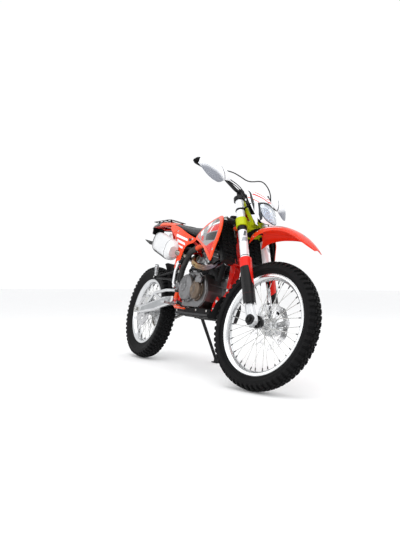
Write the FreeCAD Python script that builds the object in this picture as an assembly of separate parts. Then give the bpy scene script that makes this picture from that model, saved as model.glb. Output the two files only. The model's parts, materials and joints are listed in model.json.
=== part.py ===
import FreeCAD, Part
import math
import os

# Off-road motorcycle, parked leaning on its side stand.
# It is drawn upright in its own bike frame: X forward from the rear axle,
# Y to the rider's left, Z up from the ground, all in millimetres.
# The front group is then steered, and the whole machine leans to the left
# until both tyres and the stand's foot are on the ground.

# ---------------------------------------------------------------- dimensions
WHEELBASE = 1460.0
RAKE = math.radians(26.5)          # steering axis from the vertical
AXLE_OFFSET = 61.0                 # front axle ahead of the steering axis
AXLE_LEAD = 8.0                    # front axle ahead of the fork legs
FORK_HALF = 95.0                   # half the fork leg spacing
LEAN = math.radians(12.15)         # parked lean, to the left
STEER = math.radians(12.6)         # parked steering angle, to the left
STEER_LOCK = 40.0                  # lock to lock is twice this, degrees

R_FRONT = 351.0                    # front tyre over its knobs
R_REAR = 343.0                     # rear tyre over its knobs
W_FRONT = 47.0                     # half width of the front tyre
W_REAR = 55.0                      # half width of the rear tyre
RIM_F = 277.0                      # front rim flange radius
RIM_R = 242.0                      # rear rim flange radius

STAND_FOOT = (500.0, 360.0)        # foot on the ground, before the final shift
STAND_PIVOT = (540.0, 134.0, 368.0)
STAND_AXIS = (-0.37, 0.91, 0.19)
BAR_HALF = 371.0                   # half the handlebar's width

V = FreeCAD.Vector
SA, CA = math.sin(RAKE), math.cos(RAKE)
AX = V(-SA, 0, CA)
NN = V(CA, 0, SA)
PT = V(WHEELBASE, 0, R_FRONT) - NN * AXLE_OFFSET
FORK_N = AXLE_OFFSET - AXLE_LEAD


def S(s, n, y):
    """Point given along the steering axis, ahead of it and to the left."""
    p = PT + AX * s + NN * n
    return V(p.x, y, p.z)


# ------------------------------------------------------------ shape helpers
def cyl(a, b, r):
    a, b = V(*a), V(*b)
    d = b - a
    return Part.makeCylinder(r, d.Length, a, d)


def cone(a, b, r1, r2):
    a, b = V(*a), V(*b)
    d = b - a
    return Part.makeCone(r1, r2, d.Length, a, d)


def path(points, radius):
    """Straight runs joined by tangent arcs."""
    pts = [V(*p) for p in points]
    n = len(pts)
    rad = radius if isinstance(radius, (list, tuple)) else [radius] * (n - 2)
    edges = []
    last = pts[0]
    for i in range(1, n - 1):
        a, b, c = pts[i - 1], pts[i], pts[i + 1]
        u = (a - b).normalize()
        w = (c - b).normalize()
        ang = u.getAngle(w)
        turn = math.pi - ang
        if turn < 1e-3:
            continue
        t = rad[i - 1] * math.tan(turn / 2)
        lim = 0.48 * min((a - b).Length, (c - b).Length)
        if t > lim:
            t = lim
        r = t / math.tan(turn / 2)
        p1 = b + u * t
        p2 = b + w * t
        bis = (u + w).normalize()
        centre = b + bis * (r / math.sin(ang / 2))
        mid = centre + (b - centre).normalize() * r
        if (p1 - last).Length > 1e-4:
            edges.append(Part.LineSegment(last, p1).toShape())
        edges.append(Part.Arc(p1, mid, p2).toShape())
        last = p2
    edges.append(Part.LineSegment(last, pts[-1]).toShape())
    return Part.Wire(edges)


def tube(points, r, bend=None):
    w = path(points, bend if bend is not None else r * 3)
    a = V(*points[0])
    d = (V(*points[1]) - a).normalize()
    prof = Part.Wire([Part.makeCircle(r, a, d)])
    return w.makePipeShell([prof], True, False)


def poly(points):
    pts = [V(*p) for p in points]
    return Part.makePolygon(pts + [pts[0]])


def plate_y(points, y0, y1):
    """Outline in X and Z, extruded from y0 to y1."""
    w = poly([(x, y0, z) for x, z in points])
    return Part.Face(w).extrude(V(0, y1 - y0, 0))


def prism(points, d):
    return Part.Face(poly(points)).extrude(V(*d))


def loft(sections, ruled=False):
    out = Part.makeLoft([poly(s) for s in sections], True, ruled)
    if out.Volume < 0:
        out = Part.makeLoft([poly(s[::-1]) for s in sections], True, ruled)
    return out


def smooth_y(points, y0, y1):
    """Closed smooth outline in X and Z, extruded from y0 to y1."""
    c = Part.BSplineCurve()
    c.interpolate([V(x, y0, z) for x, z in points], PeriodicFlag=True)
    return Part.Face(Part.Wire([c.toShape()])).extrude(V(0, y1 - y0, 0))


def box(x0, x1, y0, y1, z0, z1):
    return Part.makeBox(x1 - x0, y1 - y0, z1 - z0, V(x0, y0, z0))


def fuse(shapes):
    shapes = list(shapes)
    out = shapes[0].multiFuse(shapes[1:]) if len(shapes) > 1 else shapes[0]
    try:
        out = out.removeSplitter()
    except Exception:
        pass
    return out


def weld(shapes):
    """Fuse one after another, which is steadier where tubes cross."""
    out = shapes[0]
    for s in shapes[1:]:
        out = out.fuse(s)
    return out


def largest(s):
    return max(s.Solids, key=lambda q: q.Volume)


def spin(points, centre):
    """Solid of revolution about the wheel axis from (radius, y) points."""
    cx, cz = centre
    w = poly([(cx, y, cz + r) for r, y in points])
    return Part.Face(w).revolve(V(cx, 0, cz), V(0, 1, 0), 360)


NODES = {}
STEERED = set()


def put(name, shape, steered=False):
    NODES[name] = shape
    if steered:
        STEERED.add(name)


# ------------------------------------------------------------------- wheels
def tyre_profile(R, half, flange, y_in):
    """Outer crown arc, shoulder knobs, side wall, bead; (radius, y)."""
    pts = []
    drop = 12.0
    w = half - 9.0
    rc = (w * w + drop * drop) / (2 * drop)
    m = 10
    for i in range(-m, m + 1):
        y = w * i / m
        pts.append((R - rc + math.sqrt(rc * rc - y * y), y))
    side = [(R - 20, half), (R - 38, half - 1.0), (R - 50, half - 5.0),
            (flange + 16, y_in + 6.0), (flange + 1.0, y_in + 1.5)]
    return pts, side


def make_tyre(centre, R, half, flange, y_in):
    crown, side = tyre_profile(R, half, flange, y_in)
    out = list(crown) + side
    inner = [(flange - 11.8, y_in - 2.8), (flange - 11.8, y_in - 9.0),
             (flange + 14, y_in - 2.0), (R - 48, half - 14.0), (R - 30, half - 18.0), (R - 20, 0.0)]
    half_in = inner
    mir = [(r, -y) for r, y in half_in[:-1]][::-1]
    left_side = [(r, -y) for r, y in side][::-1]
    loop = out + half_in + mir + left_side
    return spin(loop, centre)


def make_rim(centre, flange, y_out, well_half):
    f = flange
    half = [(f, y_out - 3.2), (f, y_out - 0.4), (f - 3, y_out), (f - 15, y_out), (f - 21, y_out - 6),
            (f - 27, well_half + 2), (f - 30, well_half - 2), (f - 30.5, 0)]
    ins = [(f - 27.0, 0), (f - 26.5, well_half - 4), (f - 24, well_half - 2), (f - 16.5, well_half + 3.5),
           (f - 12.2, y_out - 12), (f - 12.2, y_out - 4.0)]
    right = [(r, -y) for r, y in half]
    loop = half + right[:-1][::-1] + [(r, -y) for r, y in ins[1:]][::-1] + ins
    return spin(loop, centre)


def make_spokes(centre, r_hub, y_hub, r_rim, y_rim, count, sweep):
    """Crossed spokes from the hub flanges to the nipples at the rim."""
    cx, cz = centre
    out = []
    per = count // 2
    for side in (-1, 1):
        for k in range(per):
            a_rim = 2 * math.pi * (k + (0.25 if side > 0 else 0.75)) / per
            lead = sweep if k % 2 == 0 else -sweep
            a_hub = a_rim + lead
            p = V(cx + r_hub * math.sin(a_hub), side * (y_hub + (1.5 if k % 2 else -1.5)), cz + r_hub * math.cos(a_hub))
            q = V(cx + r_rim * math.sin(a_rim), side * y_rim, cz + r_rim * math.cos(a_rim))
            d = (q - p).normalize()
            out.append(Part.makeCylinder(1.9, (q - p).Length - 14, p, d))
            out.append(Part.makeCylinder(3.0, 14.5, q - d * 15, d))
    return out


def wave_disc(centre, y0, y1, r, amp, waves, r_in, r_bore, bolts, r_bolt, arms):
    cx, cz = centre
    n = waves * 8
    pts = []
    for i in range(n):
        a = 2 * math.pi * i / n
        rr = r + amp * math.cos(waves * a)
        pts.append((cx + rr * math.sin(a), cz + rr * math.cos(a)))
    disc = smooth_y(pts, y0, y1)
    cut = []
    for k in range(arms):
        a0 = 2 * math.pi * (k + 0.14) / arms
        a1 = 2 * math.pi * (k + 0.86) / arms
        ring = []
        for j in range(7):
            a = a0 + (a1 - a0) * j / 6
            ring.append((cx + r_in * math.sin(a), cz + r_in * math.cos(a)))
        a0 += 0.10
        a1 -= 0.10
        for j in range(6, -1, -1):
            a = a0 + (a1 - a0) * j / 6
            ring.append((cx + (r_bore + 17) * math.sin(a), cz + (r_bore + 17) * math.cos(a)))
        cut.append(plate_y(ring, y0 - 2, y1 + 2))
    cut.append(cyl((cx, y0 - 2, cz), (cx, y1 + 2, cz), r_bore))
    for k in range(waves * 2):
        a = 2 * math.pi * (k + 0.5) / (waves * 2)
        rr = (r + r_in) / 2 + (8 if k % 2 else -6)
        p = (cx + rr * math.sin(a), y0 - 2, cz + rr * math.cos(a))
        q = (p[0], y1 + 2, p[2])
        cut.append(cyl(p, q, 4.0))
    for k in range(bolts):
        a = 2 * math.pi * k / bolts
        p = (cx + r_bolt * math.sin(a), y0 - 2, cz + r_bolt * math.cos(a))
        cut.append(cyl(p, (p[0], y1 + 2, p[2]), 4.1))
    return disc.cut(Part.makeCompound(cut))


FC = (WHEELBASE, R_FRONT)
RC = (0.0, R_REAR)
AXLE_R = 11.0

put("front_rim", make_rim(FC, RIM_F, 27.5, 10.0), True)
put("front_tyre", largest(make_tyre(FC, R_FRONT, W_FRONT, RIM_F, 26.0).cut(NODES["front_rim"])), True)
front_hub = spin([(AXLE_R + 0.05, -46), (17, -46), (17, -38), (33, -34), (33, -28), (21, -22), (20, 0), (21, 20),
                  (33, 26), (33, 32), (40, 36), (50, 38.5), (50, 46), (33.9, 46), (33.9, 49), (17, 49), (AXLE_R + 0.05, 49)], FC)
put("front_hub", fuse([front_hub] + make_spokes(FC, 29.0, 30.0, RIM_F - 30.9, 3.5, 36, 0.62)), True)
put("front_disc", wave_disc(FC, 46.0, 50.0, 127.0, 3.5, 10, 92.0, 34.0, 6, 43.0, 5), True)

put("rear_rim", make_rim(RC, RIM_R, 34.5, 13.0))
put("rear_tyre", largest(make_tyre(RC, R_REAR, W_REAR, RIM_R, 33.0).cut(NODES["rear_rim"])))
rear_hub = spin([(AXLE_R + 0.05, -62), (30, -62), (35.9, -59.5), (35.9, -56), (50, -56), (50, -50), (34, -40), (36, -34), (36, -28), (26, -20),
                 (25, 20), (36, 28), (36, 34), (34, 42), (52, 52), (66, 58), (66, 66.4), (24, 66.4), (20, 68), (AXLE_R + 0.05, 68)], RC)
put("rear_hub", fuse([rear_hub] + make_spokes(RC, 32.0, 31.0, RIM_R - 30.9, 4.0, 36, 0.62)))
put("rear_disc", wave_disc(RC, -60.0, -56.0, 113.0, 3.5, 9, 80.0, 36.0, 6, 43.0, 5))


def sprocket(centre, y0, y1, teeth, r_root, r_tip, r_bore, windows):
    cx, cz = centre
    pts = []
    for k in range(teeth):
        for fr, rr in ((0.0, r_root), (0.30, r_root), (0.42, r_tip), (0.58, r_tip), (0.70, r_root)):
            if fr == 0.0:
                continue
            a = 2 * math.pi * (k + fr) / teeth
            pts.append((cx + rr * math.sin(a), cz + rr * math.cos(a)))
    s = plate_y(pts, y0, y1)
    cut = [cyl((cx, y0 - 1, cz), (cx, y1 + 1, cz), r_bore)]
    for k in range(windows):
        a = 2 * math.pi * (k + 0.5) / windows
        rr = (r_root + r_bore) / 2 + 4
        p = (cx + rr * math.sin(a), y0 - 1, cz + rr * math.cos(a))
        cut.append(cyl(p, (p[0], y1 + 1, p[2]), 13.0))
    for k in range(6):
        a = 2 * math.pi * k / 6
        p = (cx + 56 * math.sin(a), y0 - 1, cz + 56 * math.cos(a))
        cut.append(cyl(p, (p[0], y1 + 1, p[2]), 4.1))
    return s.cut(Part.makeCompound(cut))


CHAIN_Y = 70.0
R_SPROCKET = 98.0
put("rear_sprocket", sprocket(RC, 66.5, 73.5, 48, 93.0, R_SPROCKET, 42.0, 6))

# Axles.
fx, fz = FC
ax_body = fuse([cyl((fx, -127, fz), (fx, 127, fz), AXLE_R),
                cyl((fx, -131, fz), (fx, -122.0, fz), 17.0)])
spacer = spin([(AXLE_R - 0.5, -70), (18, -70), (34, -66), (34, -52), (20, -48), (AXLE_R - 0.5, -48)], FC)
left_sp = spin([(AXLE_R - 0.5, 70), (17, 70), (17, 50), (AXLE_R - 0.5, 50)], FC)
nut_f = cyl((fx, 122.0, fz), (fx, 130, fz), 15.0)
front_axle = fuse([ax_body, spacer, left_sp, nut_f]).cut(cyl((fx, -140, fz), (fx, 130, fz), 7.5))
put("front_axle", front_axle, True)

rx, rz = RC
rear_axle = fuse([cyl((rx, -124, rz), (rx, 124, rz), AXLE_R),
                  cyl((rx, -131, rz), (rx, -116.4, rz), 16.0), cyl((rx, 116.4, rz), (rx, 128, rz), 15.0),
                  spin([(AXLE_R - 0.5, 81.7), (17, 81.7), (17, 70.5), (AXLE_R - 0.5, 70.5)], RC),
                  spin([(AXLE_R - 0.5, -81.7), (17, -81.7), (17, -64), (AXLE_R - 0.5, -64)], RC)])
put("rear_axle", rear_axle)

# --------------------------------------------------------------- front fork
tubes, legs, guards = [], [], []
for sg in (-1, 1):
    y = sg * FORK_HALF
    top = cyl(tuple(S(352, FORK_N, y)), tuple(S(796, FORK_N, y)), 25.5)
    band = cyl(tuple(S(556, FORK_N, y)), tuple(S(584.5, FORK_N, y)), 27.5)
    band2 = cyl(tuple(S(346, FORK_N, y)), tuple(S(366, FORK_N, y)), 27.5)
    cap = cyl(tuple(S(796, FORK_N, y)), tuple(S(806, FORK_N, y)), 19.0)
    tubes.append(fuse([top, band, band2, cap]).cut(cyl(tuple(S(300, FORK_N, y)), tuple(S(370, FORK_N, y)), 20.6)))
    rod = cyl(tuple(S(60, FORK_N, y)), tuple(S(369, FORK_N, y)), 20.5)
    lug = cyl(tuple(S(-22, FORK_N, y)), tuple(S(104, FORK_N, y)), 25.0)
    boss = cyl((fx, sg * 70, fz), (fx, sg * 122, fz), 27.0)
    base = cyl(tuple(S(-34, FORK_N, y)), tuple(S(-20, FORK_N, y)), 15.0)
    bore = cyl((fx, sg * 60, fz), (fx, sg * 140, fz), AXLE_R + 0.05)
    legs.append(weld([rod.cut(bore), lug.cut(bore), boss.cut(bore), base]))
    # guard: a half sleeve ahead of the leg, wrapped to the outside
    a0 = tuple(S(92, FORK_N, y))
    a1 = tuple(S(372, FORK_N, y))
    sleeve = cyl(a0, a1, 35.0).cut(cyl(tuple(S(80, FORK_N, y)), tuple(S(390, FORK_N, y)), 31.5))
    keep = prism([tuple(S(85, FORK_N + 2, y - sg * 60)), tuple(S(85, FORK_N + 60, y - sg * 60)), tuple(S(85, FORK_N + 60, y + sg * 60)),
                  tuple(S(85, FORK_N - 16, y + sg * 60)), tuple(S(85, FORK_N - 16, y + sg * 10))], tuple(AX * 300))
    guards.append(sleeve.common(keep))
put("fork_tubes", Part.makeCompound(tubes), True)
put("fork_legs", Part.makeCompound(legs), True)
put("fork_guards", Part.makeCompound(guards), True)


def clamp_plate(s0, s1, r_ring, n_front, n_back, waist):
    pts = [(-34, -FORK_HALF + 10), (n_back, -18), (n_back, 18), (-34, FORK_HALF - 10), (FORK_N + 4, FORK_HALF + 10),
           (n_front, FORK_HALF - 24), (n_front + 6, 0), (n_front, -FORK_HALF + 24), (FORK_N + 4, -FORK_HALF - 10)]
    pts[0] = (waist, -FORK_HALF + 22)
    pts[3] = (waist, FORK_HALF - 22)
    body = prism([tuple(S(s0, n, y)) for n, y in pts], tuple(AX * (s1 - s0)))
    rings = [cyl(tuple(S(s0, FORK_N, sg * FORK_HALF)), tuple(S(s1, FORK_N, sg * FORK_HALF)), r_ring) for sg in (-1, 1)]
    holes = [cyl(tuple(S(s0 - 1, FORK_N, sg * FORK_HALF)), tuple(S(s1 + 25, FORK_N, sg * FORK_HALF)), 25.5) for sg in (-1, 1)]
    return fuse([body] + rings), holes


low, low_holes = clamp_plate(586, 640, 33.5, 72, -24, 10)
up, up_holes = clamp_plate(766, 792, 33.5, 66, -24, 10)
stem = cyl(tuple(S(590, 0, 0)), tuple(S(803, 0, 0)), 15.95)
stem_nut = cyl(tuple(S(792, 0, 0)), tuple(S(806, 0, 0)), 19.0)
stays = []
for sg in (-1, 1):
    stays.append(loft([[tuple(p) for p in (S(800, 62, sg * 96), S(800, 72, sg * 96), S(786, 72, sg * 74), S(786, 62, sg * 74))],
                       [tuple(p) for p in (S(640, 88, sg * 40), S(640, 98, sg * 40), S(612, 98, sg * 22), S(612, 88, sg * 22))]], True))
    stays.append(prism([tuple(p) for p in (S(640, 66, sg * 44), S(640, 98, sg * 44), S(606, 98, sg * 20), S(606, 66, sg * 20))], (0, -sg * 12, 0)))
    stays.append(prism([tuple(p) for p in (S(800, 50, sg * 96), S(800, 72, sg * 96), S(786, 72, sg * 96), S(786, 50, sg * 96))], (0, -sg * 22, 0)))
tube_room = [cyl(tuple(S(645, FORK_N, sg * FORK_HALF)), tuple(S(764, FORK_N, sg * FORK_HALF)), 26.2) for sg in (-1, 1)]
clamps = fuse([low, up, stem, stem_nut] + stays).cut(Part.makeCompound(low_holes + up_holes)).cut(Part.makeCompound(tube_room))
put("triple_clamps", clamps, True)

# Handlebar with its clamps, grips, perches and levers.
BAR_S, BAR_N = 872.0, 24.0
bar_pts = [S(966, -14, -BAR_HALF), S(952, 2, -235), S(940, 8, -165), S(BAR_S, BAR_N, -82),
           S(BAR_S, BAR_N, 82), S(940, 8, 165), S(952, 2, 235), S(966, -14, BAR_HALF)]
bar = tube([tuple(p) for p in bar_pts], 11.0, [70, 60, 60, 60, 60, 70])
grips = []
for sg in (-1, 1):
    a, b = S(966, -14, sg * (BAR_HALF - 2)), S(952.0 + 14 * 0.184, 2 - 16 * 0.184, sg * 260)
    grips.append(cyl(tuple(a), tuple(b), 16.5))
    grips.append(cyl(tuple(a), tuple(a + (a - b).normalize() * 8), 15.0))
    grips.append(cyl(tuple(b), tuple(b + (b - a).normalize() * 5), 23.0))
mounts = []
for sg in (-1, 1):
    c0, c1 = S(BAR_S, BAR_N, sg * 26), S(BAR_S, BAR_N, sg * 60)
    mounts.append(cyl(tuple(c0), tuple(c1), 19.0))
    mounts.append(prism([tuple(S(793, 6, sg * 26)), tuple(S(793, 40, sg * 26)), tuple(S(872, 42, sg * 26)), tuple(S(872, 6, sg * 26))], (0, sg * 34, 0)))
ctrl = []
for sg in (-1, 1):
    # perch and lever, with the throttle or switch housing beside the grip
    u = S(951, 3, sg * 232)
    ctrl.append(cyl(tuple(S(950.4, 4.5, sg * 250)), tuple(S(949, 5, sg * 216)), 19.0))
    ctrl.append(tube([tuple(S(949, 8, sg * 205)), tuple(S(950, 40, sg * 205))], 9.0))
    ctrl.append(cyl(tuple(S(947, 5, sg * 214)), tuple(S(944, 7, sg * 194)), 17.0))
    ctrl.append(tube([tuple(S(948, 36, sg * 196)), tuple(S(950, 48, sg * 236)), tuple(S(950, 44, sg * 300)), tuple(S(950, 34, sg * 345))], 6.0, [20, 60]))
put("handlebar", fuse([bar] + grips + mounts + ctrl), True)

# Hand guards: curved plastic shields with a bracket to the bar.
hg = []
for sg in (-1, 1):
    secs = []
    for (y, n0, s_hi, s_lo) in ((-381, 24, 970, 932), (-362, 44, 973, 884), (-344, 60, 972, 836), (-317, 73, 963, 812), (-290, 80, 950, 803),
                               (-260, 83.5, 939, 820), (-230, 84, 931, 845), (-205, 81, 929, 859), (-180, 76, 929, 870)):
        yy = -sg * y
        sm = (s_hi + s_lo) / 2
        ring = [S(s_lo, n0 - 10, yy), S(s_lo, n0 - 6.5, yy), S(sm, n0 + 3.5, yy), S(s_hi, n0 - 8, yy), S(s_hi, n0 - 11.5, yy), S(sm, n0, yy)]
        secs.append([tuple(p) for p in ring])
    shield = loft(secs, True)
    stay = tube([tuple(S(936, 19, sg * 182)), tuple(S(924, 62, sg * 204)), tuple(S(900, 89, sg * 235))], 5.0, 20)
    end = tube([tuple(S(966, -16, sg * (BAR_HALF + 8.5))), tuple(S(962, 8, sg * (BAR_HALF + 12))), tuple(S(952, 34, sg * (BAR_HALF + 6)))], 8.0, 12)
    hg.append(fuse([shield, stay, end]))
put("hand_guards", Part.makeCompound([largest(h.cut(NODES["handlebar"])) for h in hg]), True)

# Headlight mask: a curved plastic shell, with the lens in its opening.
mask_s = [(835, 62, 118, 150), (800, 100, 128, 168), (740, 110, 132, 186), (690, 104, 140, 196), (640, 93, 150, 200), (590, 72, 160, 196), (568, 52, 162, 188)]


def mask_ring(s, w, n_side, n_mid, t):
    row = []
    for k in range(9):
        a = -1 + 2 * k / 8.0
        n = n_mid - (n_mid - n_side) * abs(a) ** 2.4
        row.append((n, w * a))
    outer = [tuple(S(s, n, y)) for n, y in row]
    inner = [tuple(S(s, n - t * (1 + 0.4 * abs(y) / w), y * (w - 2.5) / w)) for n, y in row][::-1]
    return outer + inner


mask = loft([mask_ring(s, w, a, b, 3.2) for s, w, a, b in mask_s])
lens_hole = prism([tuple(S(s, 120, y)) for s, y in ((697, -58), (697, 58), (650, 66), (590, 46), (580, 0), (590, -46), (650, -66))], tuple(NN * 140))
mask_cut = mask.cut(lens_hole)
stay_m = [tube([tuple(S(700, 72, sg * 92)), tuple(S(700, 112, sg * 98)), tuple(S(700, 143, sg * 104))], 5.0, 10) for sg in (-1, 1)]
bowl = loft([[tuple(S(s, 150, y)) for s, y in ((688, -50), (688, 50), (640, 56), (596, 34), (596, -34), (640, -56))],
             [tuple(S(s, 118, y)) for s, y in ((672, -30), (672, 30), (640, 34), (612, 22), (612, -22), (640, -34))]], True)
arms_m = [tube([tuple(S(652, 136, sg * 30)), tuple(S(652, 140, sg * 64)), tuple(S(652, 150, sg * 95))], 4.5, 20) for sg in (-1, 1)]
put("headlight_mask", weld([mask_cut, bowl] + arms_m + stay_m).cut(NODES["fork_tubes"]), True)
lens_rings = []
for s, w, a, b in ((694, 54, 172, 194), (670, 58, 172, 197), (645, 60, 172, 199), (615, 52, 172, 198), (588, 36, 172, 194)):
    row = []
    for k in range(7):
        q = -1 + 2 * k / 6.0
        row.append((b - (b - a) * 0.35 * q * q, w * q))
    lens_rings.append([tuple(S(s, n, y)) for n, y in row] + [tuple(S(s, 150, w)), tuple(S(s, 150, -w))])
put("headlight_lens", loft(lens_rings), True)

# Front fender: arched shell, in sections across the bike.
ff = [(1236, 868, 34, 788, 54), (1285, 888, 40, 826, 62), (1345, 897, 48, 846, 74), (1420, 897, 54, 853, 84), (1500, 884, 56, 847, 86),
      (1580, 853, 52, 822, 80), (1650, 808, 38, 784, 62), (1700, 768, 18, 757, 28)]


def arch(x, z_top, w_top, z_edge, w_edge, t=3.5):
    o = [(-w_edge, z_edge), (-w_edge + 2, (z_edge + z_top) / 2), (-w_top, z_top - 5), (-w_top / 2, z_top + 1), (0, z_top + 3),
         (w_top / 2, z_top + 1), (w_top, z_top - 5), (w_edge - 2, (z_edge + z_top) / 2), (w_edge, z_edge)]
    i = [(y * (abs(w_edge) - t) / w_edge, z - (t if abs(y) < w_edge - 3 else 0)) for y, z in o]
    return [(x, y, z) for y, z in o] + [(x, y, z) for y, z in reversed(i)]


seat_f = [(S(586, 14, 0).x, S(586, 14, 0).z), (S(586, 79, 0).x, S(586, 79, 0).z), (1262, 893), (1250, 866), (S(577, 60, 0).x, S(577, 60, 0).z), (S(577, 14, 0).x, S(577, 14, 0).z)]
put("front_fender", fuse([loft([arch(*a) for a in ff]), plate_y(seat_f, -28, 28)]), True)

# Front brake caliper on the left leg, open over the disc.
ccx, ccz = fx - 62, fz + 84
cal = fuse([plate_y([(ccx - 34, ccz - 34), (ccx + 16, ccz - 40), (ccx + 36, ccz - 6), (ccx + 24, ccz + 34), (ccx - 20, ccz + 36), (ccx - 40, ccz + 6)], 31.0, 76.0)])
slot = cyl((fx, 40.8, fz), (fx, 55.2, fz), 136.5)
cal = cal.cut(slot).cut(NODES["fork_legs"]).cut(cyl(tuple(S(88, FORK_N, FORK_HALF)), tuple(S(390, FORK_N, FORK_HALF)), 35.2))
put("front_brake_caliper", largest(cal), True)

hose_pts = [S(949, 41, -212), S(952, 64, -165), S(930, 86, -112), S(908, 98, -62), S(928, 102, -8), S(962, 102, 46), S(984, 98, 98), S(968, 95, 142), S(926, 92, 166), S(866, 91, 160),
            S(808, 90, 134), S(748, 88, 108), S(690, 87, 105), S(580, 86, 121), S(470, 84, 134), S(370, 62, 143), S(290, 36, 144), S(215, 2, 139), S(152, -48, 124), S(104, -66, 92), S(100, -46, 62), S(121, 12, 57)]
hose = tube([tuple(p) for p in hose_pts], 3.6, [36, 44, 44, 44, 44, 44, 34, 40, 50, 70, 90, 120, 200, 200, 120, 120, 90, 60, 40, 28])
put("front_brake_hose", largest(hose.cut(NODES["handlebar"]).cut(NODES["front_brake_caliper"])), True)

# --------------------------------------------------------------- main frame
frame = []
head = cyl(tuple(S(645, 0, 0)), tuple(S(760, 0, 0)), 30.0)
frame.append(head)
frame.append(plate_y([(1082, 936), (1046, 912), (1006, 862), (1046, 786), (1066, 800), (1062, 860)], -8, 8))
frame.append(tube([tuple(S(722, -8, 0)), tuple(S(628, -72, 0)), (1092, 0, 640), (1090, 0, 505)], 21.0, [60, 300]))
frame.append(plate_y([(S(636, -51, 0).x, S(636, -51, 0).z), (1112, 644), (1109, 500), (1070, 500), (1071, 636), (S(622, -92, 0).x, S(622, -92, 0).z)], -29, 29))
frame.append(box(1080, 1146, -52, 52, 668, 675))
for sg in (1, -1):
    frame.append(tube([(1096, sg * 9, 524), (1082, sg * 34, 470), (1058, sg * 74, 380), (980, sg * 84, 366), (700, sg * 84, 366), (606, sg * 94, 380), (588, sg * 98, 440)], 12.5, [40, 50, 50, 90, 50, 30]))
    frame.append(tube([tuple(S(672, -6, sg * 8)), (985, sg * 80, 836), (790, sg * 98, 787), (664, sg * 100, 750), (604, sg * 100, 640), (588, sg * 100, 440)], 17.0, [60, 120, 90, 60, 120]))
    frame.append(tube([(760, sg * 92, 780), (560, sg * 84, 872), (340, sg * 74, 940), (100, sg * 58, 986), (-120, sg * 50, 1002)], 10.0, [80, 120, 160]))
    frame.append(tube([(600, sg * 95, 600), (430, sg * 88, 760), (250, sg * 70, 952)], 9.0, 120))
    frame.append(plate_y([(560, 400), (620, 392), (640, 440), (628, 520), (604, 560), (572, 520)], sg * 84 if sg > 0 else -96, sg * 96 if sg > 0 else -84))
    frame.append(plate_y([(600, 372), (700, 356), (706, 384), (660, 430), (612, 430)], sg * 84 if sg > 0 else -94, sg * 94 if sg > 0 else -84))
    # lower engine mount ears
    frame.append(plate_y([(1000, 372), (1062, 372), (1076, 452), (1040, 476), (1006, 430)], sg * 56 - 4, sg * 56 + 4))
frame.append(cyl((588, -96, 440), (588, 96, 440), 9.0))
frame.append(cyl((664, -98, 752), (664, 98, 752), 12.0))
frame.append(plate_y([(650, 744), (678, 744), (660, 800), (626, 806), (622, 786)], -31, -21))
frame.append(plate_y([(650, 744), (678, 744), (660, 800), (626, 806), (622, 786)], 21, 31))
frame.append(cyl((700, -84, 366), (700, 84, 366), 10.0))
frame.append(cyl((1040, -80, 372), (1040, 80, 372), 10.0))
frame.append(cyl((-118, -50, 1002), (-118, 50, 1002), 8.0))
frame.append(cyl((340, -74, 940), (340, 74, 940), 8.0))
# stand bracket, at the left of the lower frame
sp = V(*STAND_PIVOT)
sa = V(*STAND_AXIS).normalize()
frame.append(tube([(606, 88, 392), (575, 104, 380), tuple(sp - sa * 22)], 10.0, 12))
frame.append(Part.makeCylinder(15.0, 20, sp - sa * 28, sa))
frame.append(Part.makeCylinder(7.9, 26, sp - sa * 12, sa))
frame_s = weld(frame).cut(cyl(tuple(S(600, 0, 0)), tuple(S(800, 0, 0)), 16.0))
put("frame", frame_s)

# -------------------------------------------------------------------- engine
crank = plate_y([(715, 399), (930, 398), (985, 440), (1000, 500), (960, 575), (900, 612), (740, 612), (715, 560)], -118, 112)
gear = plate_y([(624, 436), (646, 408), (740, 406), (740, 594), (664, 584), (628, 536)], -76, 54)
clutch = fuse([cyl((784, -166, 513), (784, -117, 513), 92.0), cyl((900, -158, 500), (900, -117, 500), 66.0), cyl((694, -166, 513), (694, -70, 513), 26.0)])
gen = fuse([cyl((860, 111, 500), (860, 150, 500), 78.0), cyl((770, 111, 470), (770, 136, 470), 40.0)])
shaft = cyl((655, 50, 462), (655, 86, 462), 12.0)
put("crankcase", weld([crank, gear, clutch, gen, shaft]).cut(frame_s))

cyl_axis = V(0.20, 0, 0.98).normalize()
c0 = V(884, 0, 600)
fins = []
for k in range(8):
    b = c0 + cyl_axis * (22 + k * 13.5)
    fins.append(Part.makeCylinder(70.0, 4.5, b, cyl_axis))
barrel = Part.makeCylinder(56.0, 128, c0, cyl_axis)
h0 = c0 + cyl_axis * 128
head_low = Part.makeBox(140, 136, 46, V(-70, -68, 0))
head_up = Part.makeBox(112, 124, 34, V(-56, -62, 44))
rot = FreeCAD.Rotation(V(0, 0, 1), cyl_axis)
hl = fuse([head_low, head_up])
hl.Placement = FreeCAD.Placement(h0, rot)
cover = Part.makeCylinder(30.0, 130, V(0, -65, 60), V(0, 1, 0))
cover.Placement = FreeCAD.Placement(h0, rot).multiply(cover.Placement)
put("cylinder", fuse([barrel, hl, cover] + fins).cut(box(700, 1000, -120, 120, 560, 612.2)))

# Exhaust: header from the head's front port, round the right side.
hp = [(978, -22, 735), (1018, -34, 735), (1046, -60, 700), (1030, -112, 648), (985, -146, 628), (900, -150, 640), (826, -144, 664), (765, -108, 700), (712, -66, 728)]
LINK = [(711.8, -65.8, 728.1), (660, -60, 714), (606, -62, 714), (566, -124, 738), (520, -156, 752)]
put("exhaust_header", largest(fuse([tube(hp, 18.0, [30, 45, 45, 45, 70, 70, 60]), cyl((972, -22, 735), (992, -22, 735), 29.0)]).cut(NODES["cylinder"])))
m0, m1 = V(548, -156, 742), V(240, -157, 838)
md = (m1 - m0).normalize()
mrot = FreeCAD.Rotation(V(1, 0, 0), md)


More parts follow.
